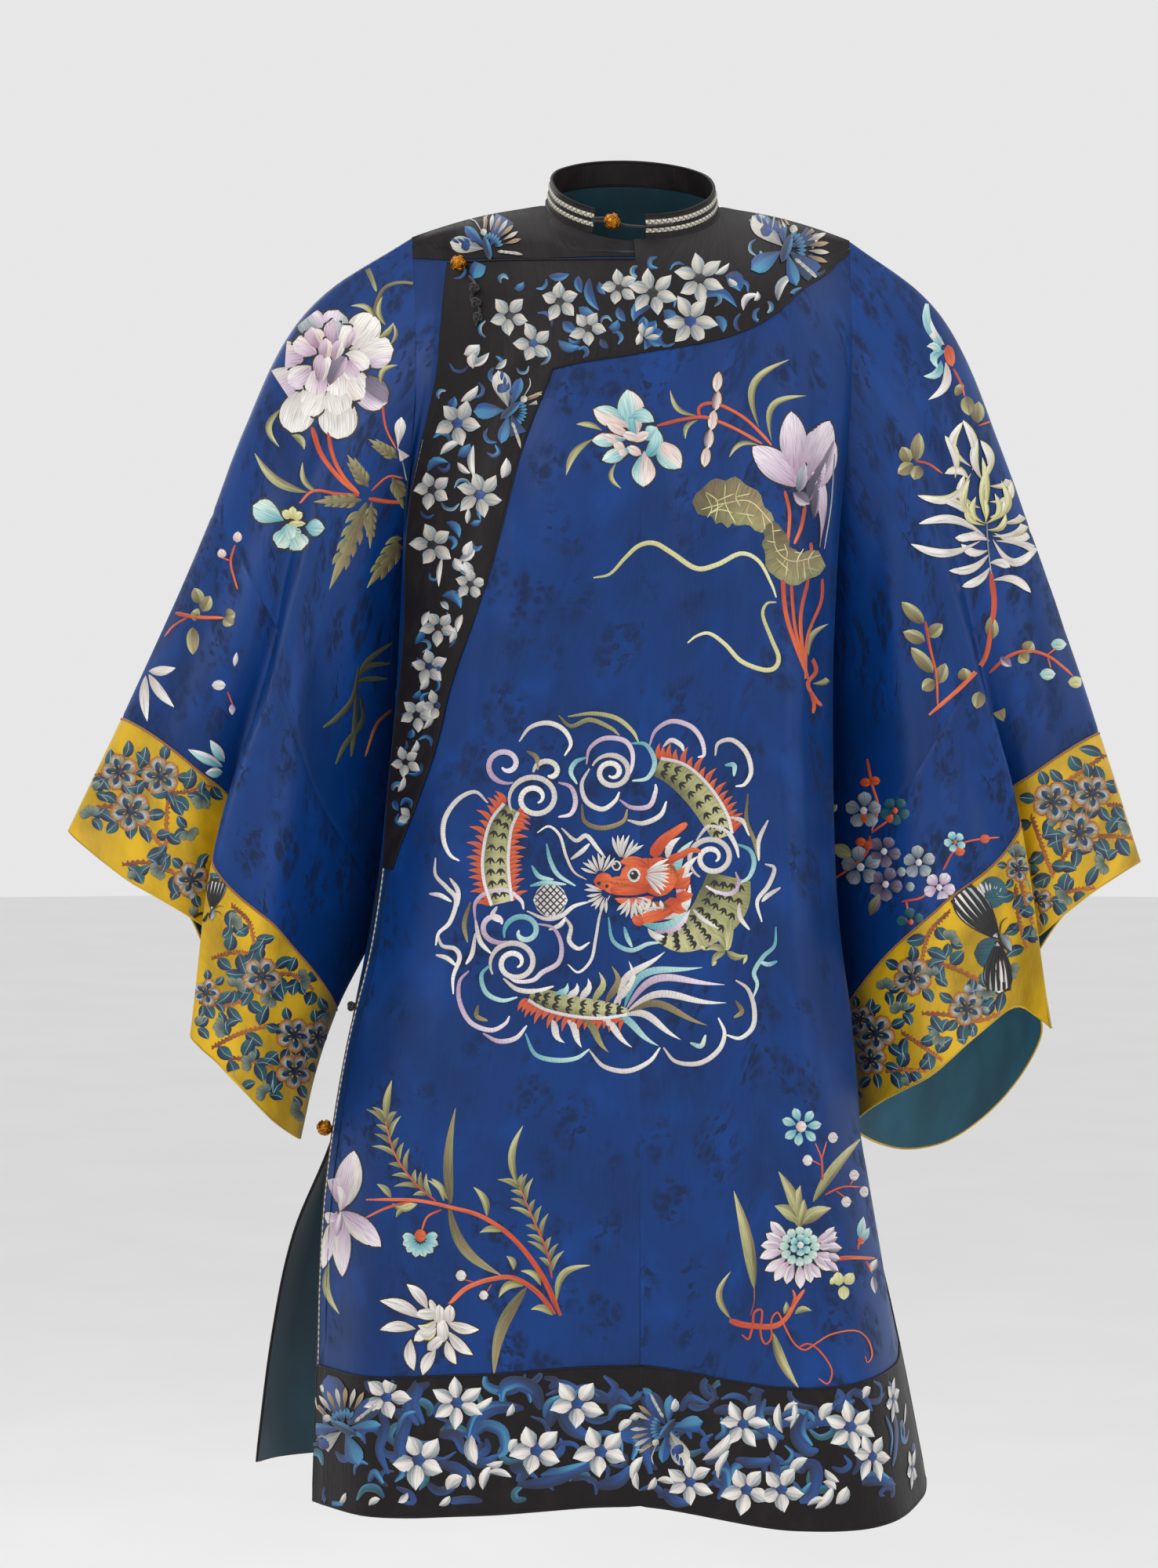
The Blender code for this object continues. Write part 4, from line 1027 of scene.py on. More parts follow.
SLEEVE_CREASES = {
    1: (
        Crease(190, -90, 262, -330, 14, 20, 2.6), Crease(230, -110, 318, -400, 16, 26, -2.2),
        Crease(180, -180, 214, -560, 12, 20, -3.0), Crease(260, -230, 300, -420, 12, 18, 2.2),
        Crease(214, -330, 236, -640, 16, 20, 4.2), Crease(330, -330, 352, -480, 14, 16, 1.6),
        Crease(250, -470, 268, -640, 12, 14, -1.6), Crease(176, -130, 186, -420, 8, 12, 2.4),
    ),
    -1: (
        Crease(-190, -90, -250, -300, 14, 20, 2.4), Crease(-226, -110, -300, -380, 16, 26, -2.2),
        Crease(-186, -180, -220, -560, 12, 20, -3.0), Crease(-262, -180, -290, -480, 12, 20, 2.4),
        Crease(-230, -330, -262, -620, 16, 20, 4.4), Crease(-350, -300, -380, -440, 14, 16, 1.6),
        Crease(-280, -500, -300, -660, 12, 14, -1.8), Crease(-182, -130, -196, -420, 8, 12, 2.2),
    ),
}
SLEEVE_BACK_CREASES = {
    sign: (
        Crease(sign * 200, -110, sign * 270, -460, 18, 26, 3.4),
        Crease(sign * 240, -130, sign * 330, -420, 16, 26, -2.8),
        Crease(sign * 190, -220, sign * 220, -600, 14, 22, -3.0),
        Crease(sign * 214, -260, sign * 290, -640, 14, 24, 2.6),
        Crease(sign * 300, -260, sign * 352, -520, 12, 20, 2.0),
    )
    for sign in (1, -1)
}


def make_sleeves(look):
    parts = (
        ("sleeve", "silk", ("silk", "sleeve_lining", "silk"), Cut(0.72, 0.28, 0.104, "hung")),
        ("sleeve_end", "silk", ("silk", "sleeve_lining", "silk"), Cut(0.72, 0.17, 0.068, "hung")),
        ("cuff", "cuff", ("cuff_silk", "sleeve_lining", "cuff_silk"), None),
    )
    for sign, hand in ((1, "left"), (-1, "right")):
        grid, normals = sleeve_grid(sign)
        for (part, slot, silk, cut), first, last in zip(parts, SLEEVE_BOUNDS, SLEEVE_BOUNDS[1:]):
            piece = shell(
                f"{part}_{hand}_silk", grid[first:last + 1], normals[first:last + 1],
                -look.cloth, 0.35 * MM if part == "cuff" else 0, silk, ring=True,
            )
            declare(piece, f"{part}_{hand}")


def tube(name, routes, radius, material, ring=False, sides=8):
    """Round cords along smooth routes, joined in one mesh; in a ring each route's end meets its start."""
    points, faces, flat = [], [], []
    for route in routes:
        route = np.asarray(route, float)
        ahead = np.gradient(route, axis=0)
        if ring:
            ahead = np.roll(route, -1, 0) - np.roll(route, 1, 0)
        ahead /= np.linalg.norm(ahead, axis=1, keepdims=True) + 1e-12
        upright = np.array((0.3, -0.9, 0.3))
        start, run = len(points), 0.0
        for k, (point, way) in enumerate(zip(route, ahead)):
            upright = upright - way * np.dot(upright, way)
            upright /= np.linalg.norm(upright)
            beside = np.cross(way, upright)
            run += np.linalg.norm(point - route[k - 1]) if k else 0.0
            size = radius if ring or 0 < k < len(route) - 1 else radius * 0.6
            for j in range(sides):
                turn = 2 * math.pi * j / sides
                points.append(point + (upright * math.cos(turn) + beside * math.sin(turn)) * size)
                flat.append((turn * radius, run))
        count = len(route)
        for k in range(count if ring else count - 1):
            for j in range(sides):
                a, b = k * sides, (k + 1) % count * sides
                n = (j + 1) % sides
                faces.append([start + i for i in (a + j, a + n, b + n, b + j)])
        if not ring:
            faces.append([start + j for j in range(sides)][::-1])
            faces.append([start + (count - 1) * sides + j for j in range(sides)])
    return plain_mesh(name, points, faces, flat, material)


def plain_mesh(name, points, faces, flat, material, layer="cloth"):
    mesh = bpy.data.meshes.new(name)
    mesh.from_pydata([tuple(p) for p in points], [], faces)
    uvs = mesh.uv_layers.new(name=layer)
    order = np.empty(len(mesh.loops), int)
    mesh.loops.foreach_get("vertex_index", order)
    uvs.data.foreach_set("uv", np.asarray(flat, float)[order].ravel())
    mesh.materials.append(finish(material))
    mesh.shade_smooth()
    return add(name, mesh)


def make_trims(look):
    """Piping at the cuffs' seams, the satin's bindings and the braid down the lapel."""
    seam = SLEEVE_BOUNDS[2]
    for sign, hand in ((1, "left"), (-1, "right")):
        grid, normals = sleeve_grid(sign)
        route = [grid[seam] + normals[seam] * 0.5 * MM]
        tube(f"cuff_piping_{hand}", route, 0.9 * MM, "piping", ring=True, sides=6)
        hem = [grid[-1] + normals[-1] * -0.4 * MM]
        tube(f"cuff_edge_{hand}", hem, 1.0 * MM, "cuff_silk", ring=True, sides=6)
    grids = body_grids()
    left, nl = grids["left"]
    lap, no = grids["overlap"]
    back, nb = grids["back"]
    everywhere, yoke = slice(None), ROWS[0] * DOWN
    lines = [grid[row, columns] + normals[row, columns] * look.satin_lift for grid, normals, row, columns in (
        (left, nl, yoke, slice(None, -ACROSS)), (left, nl, len(left) - 1 - DOWN, everywhere),
        (lap, no, len(lap) - 1 - DOWN, everywhere), (lap, no, YOKE_ROW, slice(LAPEL_COLUMN, None)),
        (lap, no, slice(YOKE_ROW, LAPEL_ROW + 1), LAPEL_COLUMN), (back, nb, len(back) - 1 - DOWN, everywhere),
        (back, nb, yoke, slice(ACROSS, -ACROSS)), (lap, no, 0, everywhere),
    )]
    tube("satin_bindings", lines, 0.9 * MM, "satin", sides=6)
    hems = [grid[-1] + normals[-1] * 0.2 * MM for grid, normals in ((left, nl), (lap, no), (back, nb))]
    tube("hem_edge", hems, 1.3 * MM, "satin", sides=6)
    slits = [
        lap[:, 0] + no[:, 0] * 0.1 * MM,
        back[SLIT_ROW:, 0] + nb[SLIT_ROW:, 0] * 0.1 * MM,
        back[SLIT_ROW:, -1] + nb[SLIT_ROW:, -1] * 0.1 * MM,
        left[SLIT_ROW:, -1] + nl[SLIT_ROW:, -1] * 0.1 * MM,
    ]
    tube("edge_bindings", slits, 1.0 * MM, "satin", sides=6)
    braid = [lap[5 * DOWN:, 0] + no[5 * DOWN:, 0] * 0.4 * MM + np.array((0.6 * MM, -0.4 * MM, 0))]
    tube("lapel_braid", braid, 0.8 * MM, "braid", sides=6)


def collar_point(degrees, high, out=0.0):
    angle = math.radians(degrees)
    outward = np.array((math.sin(angle), -math.cos(angle), 0.0))
    point = neck(angle) - outward * (COLLAR_IN + COLLAR_LEAN * high - out)
    point[2] += COLLAR_BASE + COLLAR_HIGH * high
    return point


def make_collar(look):
    """Stand collar of black satin with its two rows of pale braid."""
    steps = 150
    turns = [COLLAR_OPENS + (COLLAR_CLOSES - COLLAR_OPENS) * k / steps for k in range(steps + 1)]
    wave = [0.35 * MM * math.sin(t / 9.0) + 0.2 * MM * math.sin(t / 4.1) for t in turns]
    grid = np.array([
        [collar_point(t, high, wave[i] * high) for i, t in enumerate(turns)]
        for high in np.linspace(0, 1, 9)
    ])
    normals = normals_of(grid, (0, -1, 0), (4, 2))
    band = shell("collar_band", grid, normals, -COLLAR_THICK + 0.4 * MM, -0.3 * MM,
                 ("satin", "satin", "satin"))
    declare(band, "collar")
    for name, low, high in (("collar_braid_low", 0.24, 0.42), ("collar_braid_high", 0.60, 0.80)):
        rows = np.linspace(low, high, 5)
        strip = np.array([[collar_point(t, h, wave[i] * h) for i, t in enumerate(turns)] for h in rows])
        crown = normals_of(strip, (0, -1, 0), (2, 2)) * np.array((0, 0.35, 0.45, 0.35, 0))[:, None, None] * MM
        piece = shell(name, strip + crown, normals_of(strip, (0, -1, 0), (2, 2)), -0.5 * MM, 0.15 * MM,
                      ("braid", "braid", "braid"))
    top = [np.array([collar_point(t, 1.0, wave[i] - 1.0 * MM) for i, t in enumerate(turns)])]
    tube("collar_top_edge", top, 1.1 * MM, "satin", sides=8)
    seam = [np.array([collar_point(t, 0.0) - (0, 0, 0.8 * MM) for t in turns])]
    tube("neck_binding", seam, 1.1 * MM, "satin", sides=8)


def on_overlap(x, z, lift):
    """A point on the overlap, given in millimetres, lifted off the cloth."""
    grid, normals = body_grids()["overlap"]
    far = (grid[..., 0] - x * MM) ** 2 + (grid[..., 2] - z * MM) ** 2
    spot = np.unravel_index(np.argmin(far), far.shape)
    point = grid[spot] + np.array((x * MM - grid[spot][0], 0, z * MM - grid[spot][2]))
    return point + normals[spot] * lift


def filigree(name, node, place, radius):
    """Gilt ball button: a worn core under turned spirals of wire, with a ring round its middle."""
    wires, core = [], bmesh.new()
    bmesh.ops.create_uvsphere(core, u_segments=20, v_segments=14, radius=radius * 0.84)
    core.verts.index_update()
    for vertex in core.verts:
        vertex.co *= 1 + 0.03 * math.sin(vertex.co.x / radius * 7) * math.cos(vertex.co.z / radius * 8)
    order = sorted(core.verts, key=lambda vertex: tuple(vertex.co))  # the sphere's own order varies
    rank = {vertex.index: k for k, vertex in enumerate(order)}
    points = [np.array(vertex.co) + place for vertex in order]
    faces = sorted(([rank[vertex.index] for vertex in face.verts] for face in core.faces), key=sorted)
    flat = [(p[0], p[2]) for p in points]
    core.free()
    body_piece = plain_mesh(name, points, faces, flat, "gilt")
    for k in range(11):
        turn, tilt = k * 2.4, math.acos(1 - 2 * (k + 0.5) / 11)
        out = np.array((math.sin(tilt) * math.cos(turn), math.sin(tilt) * math.sin(turn), math.cos(tilt)))
        beside = np.cross(out, (0.3, 0.2, 0.9))
        beside /= np.linalg.norm(beside)
        other = np.cross(out, beside)
        spiral = []
        for j in range(30):
            angle, size = j * 0.42, radius * (0.46 - 0.013 * j)
            spot = out * radius + (beside * math.cos(angle) + other * math.sin(angle)) * size
            spiral.append(place + spot / np.linalg.norm(spot) * radius * 0.92)
        wires.append(spiral)
    ring = [place + np.array((math.cos(a), math.sin(a), 0)) * radius * 0.93 for a in np.linspace(0, 6.28, 40)]
    wires.append(ring)
    wire = tube(name + "_wire", wires, radius * 0.07, "gilt", sides=5)
    declare(body_piece, node)


def smooth(points, count):
    points = np.asarray(points, float)
    keys = np.arange(len(points))
    return np.array([through(keys, points, k * (len(points) - 1) / (count - 1)) for k in range(count)])


def knot(centre, size, turns=3):
    """Small button knot: a cord wound round itself."""
    route = []
    for k in range(72):
        a = k / 71 * 2 * math.pi * turns
        r = size * (0.62 + 0.3 * math.cos(a * 1.5))
        lift = size * 0.35 * math.sin(a * 1.5) - size * 0.3
        route.append(np.asarray(centre) + np.array((r * math.cos(a), lift, r * math.sin(a))))
    return route


def make_fastenings(look):
    lift = look.satin_lift
    high = SEAM + MM + COLLAR_HIGH * 0.5
    ends = []
    for degrees, aside in ((COLLAR_CLOSES, 1), (COLLAR_OPENS, -1)):
        point = neck(math.radians(degrees)) + np.array((0, 1.5 * MM, high))
        ends.append(point + np.array((aside * (CORD - 1.6 * MM), 0, 0)))
    middle = (ends[0] * 0.66 + ends[1] * 0.34) + np.array((0, -4.0 * MM, 0.5 * MM))
    filigree("collar_button_ball", "collar_button", middle + np.array((0, -BALL - CORD - 2 * SEAM, 0)), BALL)
    bead = ends[1] * 0.6 + ends[0] * 0.4 + np.array((0, -4 * MM, -1 * MM))
    routes = [
        smooth([ends[0], middle, bead, ends[1]], 24),
        smooth([ends[0] + np.array((0, 0, 2.0 * MM)), middle + np.array((0, 0, 2.2 * MM)), bead,
                ends[1]], 24),
        smooth([ends[1] + np.array((0, -1.5 * MM, 0)), ends[1] + np.array((9 * MM, -2.6 * MM, 1 * MM)),
                ends[1] + np.array((20 * MM, -2.8 * MM, 2.5 * MM))], 16),
    ]
    loop = tube("collar_loop_cord", routes, CORD * 0.72, "cord")
    declare(loop, "collar_loop")
    filigree("chest_button_ball", "chest_button", on_overlap(-131, -66, lift + BALL), BALL)
    spots = ((-127, -74), (-123, -82), (-126, -92), (-121, -100), (-124, -112))
    frog = [smooth([on_overlap(x, z, lift + CORD) for x, z in spots], 40)]
    for x, z in ((-124, -84), (-123, -95), (-122, -106)):
        frog.append(knot(on_overlap(x, z, lift + CORD * 1.4), 3.4 * MM, 2))
    declare(tube("chest_frog_cord", frog, CORD * 0.62, "cord"), "chest_frog")
    edge = body(-1, EDGE, -0.620, False) + np.array((-3.7 * MM, 0.5 * MM, 0))
    declare(tube("side_knot_cord", [knot(edge, 3.4 * MM)], CORD * 0.62, "cord"), "side_knot")
    edge = body(-1, EDGE, -0.712, False) + np.array((-BALL - SEAM, 0.5 * MM, 0))
    filigree("slit_button_ball", "slit_button", edge, BALL)


# ---------------------------------------------------------------- stage

FLOOR = -1.62
FILM = 36
AIM = np.array((-0.040, 0.0, -0.456))
AZIMUTH, ELEVATION, AWAY = math.radians(-6), math.radians(3), 3.4
CHART, CHART_HIGH = 0.0006, 2000  # metres to a unit of the embroidery's chart, and its height in units
CHART_MIDDLE = (738.5, 1000.0)


def eye_frame():
    """The viewer's place with its right, up and forward directions."""
    back = np.array((
        math.sin(AZIMUTH) * math.cos(ELEVATION), -math.cos(AZIMUTH) * math.cos(ELEVATION),
        math.sin(ELEVATION),
    ))
    right = np.array((math.cos(AZIMUTH), math.sin(AZIMUTH), 0.0))
    return AIM + back * AWAY, right, np.cross(back, right), -back


def make_stage(stage):
    world = bpy.data.worlds.new("studio")
    world.use_nodes = True
    world.node_tree.nodes["Background"].inputs[0].default_value = (1, 1, 1, 1)
    world.node_tree.nodes["Background"].inputs[1].default_value = stage.world
    bpy.context.scene.world = world
    bpy.context.scene.view_settings.view_transform = "Standard"
    bench = Bench("studio_floor")
    cloud = bench.noise(bench.space(3.0), detail=2)
    bench.surface(bench.mix(cloud, (0.80, 0.80, 0.80), (0.86, 0.86, 0.86)), cloud * 0.1 + 0.6)
    work = bmesh.new()
    bmesh.ops.create_circle(work, cap_ends=True, segments=64, radius=stage.floor)
    mesh = bpy.data.meshes.new("floor")
    work.to_mesh(mesh)
    work.free()
    mesh.materials.append(bench.item)
    floor = bpy.data.objects.new("floor", mesh)
    floor.location.z = FLOOR
    bpy.context.scene.collection.objects.link(floor)
    for name, place, size, power in (
        ("key", (-1.5, -2.6, 1.3), 1.5, stage.key),
        ("fill", (2.0, -2.2, 0.4), 2.0, stage.key * 0.42),
        ("top", (0.3, 0.2, 2.4), 1.6, stage.key * 0.45),
        ("rim", (-1.2, 2.4, 1.2), 1.6, stage.key * 0.45),
    ):
        light = bpy.data.lights.new(name, "AREA")
        light.energy, light.size = power, size
        item = bpy.data.objects.new(name, light)
        item.location = place
        item.rotation_euler = (Vector(AIM) - Vector(place)).to_track_quat("-Z", "Y").to_euler()
        bpy.context.scene.collection.objects.link(item)
    eye, _, _, ahead = eye_frame()
    view = bpy.data.cameras.new("view")
    view.sensor_fit, view.sensor_height = "VERTICAL", FILM
    view.lens = FILM * AWAY / (CHART_HIGH * CHART)
    item = bpy.data.objects.new("view", view)
    item.location = eye
    item.rotation_euler = Vector(ahead).to_track_quat("-Z", "Y").to_euler()
    bpy.context.scene.collection.objects.link(item)
    bpy.context.scene.camera = item


# ---------------------------------------------------------------- embroidery

TONES = {
    "white": ((196, 186, 180), (238, 234, 226)), "lilac": ((172, 142, 168), (234, 222, 230)),
    "rose": ((142, 106, 128), (214, 192, 204)), "blush": ((206, 176, 168), (236, 224, 214)),
    "aqua": ((84, 156, 168), (188, 222, 216)),
    "mint": ((140, 186, 176), (214, 228, 214)), "leaf": ((94, 94, 58), (160, 156, 106)),
    "olive": ((96, 84, 56), (154, 138, 96)), "lime": ((140, 140, 88), (198, 194, 142)),
    "orange": ((186, 62, 24), (226, 104, 52)), "sky": ((18, 70, 118), (64, 138, 176)),
    "blue": ((6, 34, 82), (16, 76, 144)), "grey": ((92, 104, 116), (176, 184, 184)),
    "navy": ((12, 24, 52), (28, 52, 90)), "ink": ((16, 14, 18), (26, 24, 28)),
    "gold": ((140, 98, 34), (214, 168, 72)), "teal": ((16, 62, 74), (38, 98, 108)),
    "rust": ((124, 62, 20), (182, 104, 38)), "sand": ((120, 92, 56), (176, 152, 116)),
    "linen": ((138, 136, 128), (216, 210, 198)), "pearl": ((200, 192, 190), (232, 226, 222)),
    "cream": ((190, 184, 120), (226, 222, 170)), "moss": ((38, 44, 34), (88, 92, 58)),
    "sage": ((62, 80, 76), (128, 138, 120)), "dusk": ((70, 62, 80), (132, 120, 140)),
}


Spot = namedtuple("Spot", "place normal chart")
CROWN = (0.0, 0.75, 1.0, 0.75, 0.0)  # rise of the stitches across a shape
CHORDS = (-1, -0.62, 0, 0.62, 1)
EDGE_SHADE = 0.86
LAYER = 0.10  # millimetres from one level of stitches to the next
END_START, END_SHORT, END_POWER = 0.35, 0.3, 0.35  # how a shape sinks into the cloth at its ends
LONG_FLAT, CROSS_FLAT = 0.37, 0.21  # shifts of the thread's pattern from shape to shape
COIL_WIDE = 6.5
COIL_EYE, COIL_SQUASH = 0.22, 0.92  # size of a curl's eye, and its height over its width
FAR_BEHIND = (-0.02, 2.0)  # middle line of the back's chart, and the depth from which it is cast
STRETCH, SLACK = 3.2, 1.2 * MM  # stitches stop where the cloth turns away or another cloth begins
PROBE, LEAST_WIDTH = 4.0, 0.2  # how far beside a shape its cloth is felt, and how narrow it may be drawn
FEWEST_ROWS, LEAST_SHARE, ENOUGH_ROWS = 4, 0.5, 6  # what is left of a shape that the cloth's edge cuts


def torn(one, other):
    """Whether two neighbouring spots lie too far apart to be on one stretch of cloth."""
    return np.linalg.norm(one.place - other.place) > STRETCH * np.linalg.norm(one.chart - other.chart) + SLACK


class Stitches:
    """Satin-stitched shapes drawn on a chart and laid on the cloth that lies under it.

    The chart is the front view, in units of CHART counted from the top left. Behind the robe it is read
    from the back. level is how many layers lie below a shape; gap is the width of dark cloth round it."""

    def __init__(self, cloth, high, behind=False):
        self.high, self.behind, self.level, self.gap = high, behind, 0, 0.0
        self.points, self.faces, self.tints, self.flat = [], [], [], []
        self.eye, self.right, self.up, self.ahead = eye_frame()
        self.moves = []
        points, faces = [], []
        for name in cloth:
            mesh = bpy.data.objects[name].data
            faces += [[i + len(points) for i in p.vertices] for p in mesh.polygons if p.material_index == 0]
            points += [v.co for v in mesh.vertices]
        self.cloth = BVHTree.FromPolygons(points, faces)

    def put(self, middle, to, scale=1.0, mirrored=False, turn=0.0):
        """Draws what follows round another place, larger or smaller, mirrored or turned."""
        self.moves.append((middle, to, scale, -scale if mirrored else scale, math.radians(turn)))

    def stay(self):
        self.moves.pop()

    def turned(self, x, y):
        """Draws what follows round (x, y) in its true width on cloth that turns away from the chart."""
        one, other = self.cast(x - PROBE, y), self.cast(x + PROBE, y)
        share = 1.0
        if one and other:
            share = np.linalg.norm(other.chart - one.chart) / np.linalg.norm(other.place - one.place)
        self.moves.append(((x, y), (x, y), 1.0, max(min(share, 1.0), LEAST_WIDTH), 0.0))

    def cast(self, x, y):
        for middle, to, scale, across, turn in reversed(self.moves):
            x, y = (x - middle[0]) * across, (y - middle[1]) * scale
            cosine, sine = math.cos(turn), math.sin(turn)
            x, y = to[0] + x * cosine - y * sine, to[1] + x * sine + y * cosine
        x, y = (x - CHART_MIDDLE[0]) * CHART, (CHART_MIDDLE[1] - y) * CHART
        if self.behind:
            start, way = Vector((FAR_BEHIND[0] - x, FAR_BEHIND[1], AIM[2] + y)), Vector((0, -1, 0))
        else:
            way = Vector(self.ahead * AWAY + self.right * x + self.up * y).normalized()
            start = Vector(self.eye)
        spot, normal, _, _ = self.cloth.ray_cast(start, way)
        if spot is None:
            return None
        return Spot(np.array(spot), np.array(normal if normal.dot(way) < 0 else -normal), np.array((x, y)))

    def lay(self, rows, tints, along=True, high=None):
        """Rows of chart points across a shape, with a colour for each point."""
        high = self.high if high is None else high
        lift = (LAYER + LAYER * self.level) * MM
        run, before, stretches = 0.0, None, [[]]
        for k, (row, tint) in enumerate(zip(rows, tints)):
            spots = [self.cast(*point) for point in row]
            if any(spot is None for spot in spots) or any(torn(*pair) for pair in zip(spots, spots[1:])):
                stretches.append([])
                continue
            middle = spots[len(spots) // 2]
            if before is not None:
                run += np.linalg.norm(middle.place - before.place)
                if torn(before, middle):
                    stretches.append([])
            before = middle
            stretches[-1].append((k, spots, tint, run))
        for stretch in stretches:
            if len(stretch) < min(max(FEWEST_ROWS, LEAST_SHARE * len(rows)), ENOUGH_ROWS):
                continue
            last = None
            for k, spots, tint, run in stretch:
                middle = spots[len(spots) // 2]
                share = min(max((k + END_START) / (len(rows) - END_SHORT), 0.0), 1.0)
                taper = math.sin(math.pi * share) ** END_POWER
                now = []
                for j, spot in enumerate(spots):
                    now.append(len(self.points))
                    self.points.append(spot.place + spot.normal * (lift + high * CROWN[j] * taper))
                    self.tints.append(tint[j])
                    aside = np.linalg.norm(spot.place - middle.place) * (-1 if j < len(spots) // 2 else 1)
                    flat = (aside + LONG_FLAT * len(rows),
                            run) if along else (run + CROSS_FLAT * len(rows), aside)
                    self.flat.append(flat)
                if last is not None:
                    for j in range(len(now) - 1):
                        self.faces.append((last[j], last[j + 1], now[j + 1], now[j]))
                last = now

    def ribbon(self, line, widths, tone, along=True, half=None, high=None, reverse=False):
        """A strip along a line of chart points; half is a tone for its second side."""
        line = np.asarray(line, float)
        ahead = np.gradient(line, axis=0)
        ahead /= np.linalg.norm(ahead, axis=1, keepdims=True) + 1e-9
        beside = np.stack((-ahead[:, 1], ahead[:, 0]), axis=1)
        root, tip = (rgb(*c) for c in TONES[tone])
        other = [rgb(*c) for c in TONES[half]] if half else (root, tip)
        rows, tints = [], []
        for k in range(len(line)):
            t = k / (len(line) - 1)
            t = 1 - t if reverse else t
            t = t * t * (3 - 2 * t)
            rows.append([line[k] + beside[k] * widths[k] * chord for chord in CHORDS])
            first = tuple(a + (b - a) * t for a, b in zip(root, tip)) + (1,)
            second = tuple(a + (b - a) * t for a, b in zip(*other)) + (1,)
            first_edge, second_edge = ((*shade(side_tone[:3], EDGE_SHADE), 1) for side_tone in (first,
                                                                                                second))
            tints.append([first_edge, first, first, second, second_edge])
        self.lay(rows, tints, along=along, high=high)

    def blade(self, x, y, to_x, to_y, wide, tone="leaf", bow=0.0, widest=0.45, blunt=0.9, curl=0.0, **more):
        """A leaf or petal from its root to its tip."""
        start, end = np.array((x, y), float), np.array((to_x, to_y), float)
        way = end - start
        long = np.linalg.norm(way)
        beside = np.array((-way[1], way[0]))
        count = int(min(max(long / 4.5, 6), 22)) + 1
        ts = np.linspace(0.0, 1.0, count)
        line = [start + way * t + beside * (bow * math.sin(math.pi * t) + curl * math.sin(2 * math.pi * t))
                for t in ts]
        power = math.log(0.5) / math.log(widest)
        widths = [wide / 2 * max(math.sin(math.pi * t**power), 0.0) ** blunt + 0.25 for t in ts]
        # The ink band under the shape's edge is the voided ground round it, painted darker as shade.
        if self.gap:
            longer = [point + way / long * self.gap * (2 * t - 1) for point, t in zip(line, ts)]
            self.ribbon(longer, [w + self.gap for w in widths], "ink", high=0.05 * MM)
        self.ribbon(line, widths, tone, **more)

    def stem(self, points, wide, tone="orange", end=0.5, **more):
        """A line of stitches through chart points, thinner at its end."""
        points = np.asarray(points, float)
        long = np.linalg.norm(np.diff(points, axis=0), axis=1).sum()
        line = smooth(points, int(min(max(long / 5, 5), 120)))
        ts = np.linspace(0, 1, len(line))
        widths = [wide / 2 * (1 - (1 - end) * t) * (0.35 + 0.65 * min(t * 12 + 0.2, (1 - t) * 12 + 0.2,
                                                                      1)) for t in ts]
        self.ribbon(line, widths, tone, **more)

    def disc(self, x, y, size, tone="pearl", squash=1.0, **more):
        self.blade(x - size, y, x + size, y, size * 2 * squash, tone, widest=0.5, blunt=0.55, **more)

    def petals(self, x, y, size, count, tone="white", turn=-90.0, wide=0.5, inner=0.12, widest=0.58,
               blunt=0.6,
               spread=360.0, uneven=0.06, **more):
        """A ring or fan of petals."""
        pick = random.Random(int(x * 7 + y * 3 + count))
        around = spread / count if spread >= 360 else spread / max(count - 1, 1)
        for k in range(count):
            angle = math.radians(turn + around * k + pick.uniform(-1, 1) * uneven * around)
            out = np.array((math.cos(angle), math.sin(angle)))
            long = size * (1 + pick.uniform(-1, 1) * uneven)
            a, b = np.array((x, y)) + out * size * inner, np.array((x, y)) + out * long
            self.blade(*a, *b, size * wide, tone, widest=widest, blunt=blunt,
                       bow=pick.uniform(-1, 1) * uneven, **more)

    def coil(self, x, y, size, turns, tone, start):
        """A cloud's curl, from its outside to its eye."""
        line = []
        count = int(26 * turns)
        for k in range(count + 1):
            t = k / count
            angle = math.radians(start) + 2 * math.pi * turns * t
            r = size * (1 - (1 - COIL_EYE) * t)
            line.append((x + r * math.cos(angle), y + r * COIL_SQUASH * math.sin(angle)))
        ts = np.linspace(0, 1, len(line))
        widths = [COIL_WIDE / 2 * (0.3 + 0.7 * min(1, t * 8, (1 - t) * 5)) + 0.2 for t in ts]
        self.ribbon(line, widths, tone, along=False)

    def arc(self, points, wide=6.0, tone="white"):
        """A swelling curl of cloud or flame, pointed at both ends, stitched across."""
        line = smooth(points, int(8 + 6 * len(points)))
        ts = np.linspace(0, 1, len(line))
        widths = [wide / 2 * math.sin(math.pi * (0.04 + 0.92 * t)) ** 0.6 for t in ts]
        self.ribbon(line, widths, tone, along=False)

    def finish(self, name):
        """The shapes as one piece that follows the cloth."""
        piece = plain_mesh(name, self.points, self.faces, self.flat, "thread", "stitch")
        layer = piece.data.color_attributes.new("thread", "FLOAT_COLOR", "POINT")
        layer.data.foreach_set("color", np.asarray(self.tints, float).ravel())
        return piece


FRONT = ("front_left_silk", "front_overlap_silk")


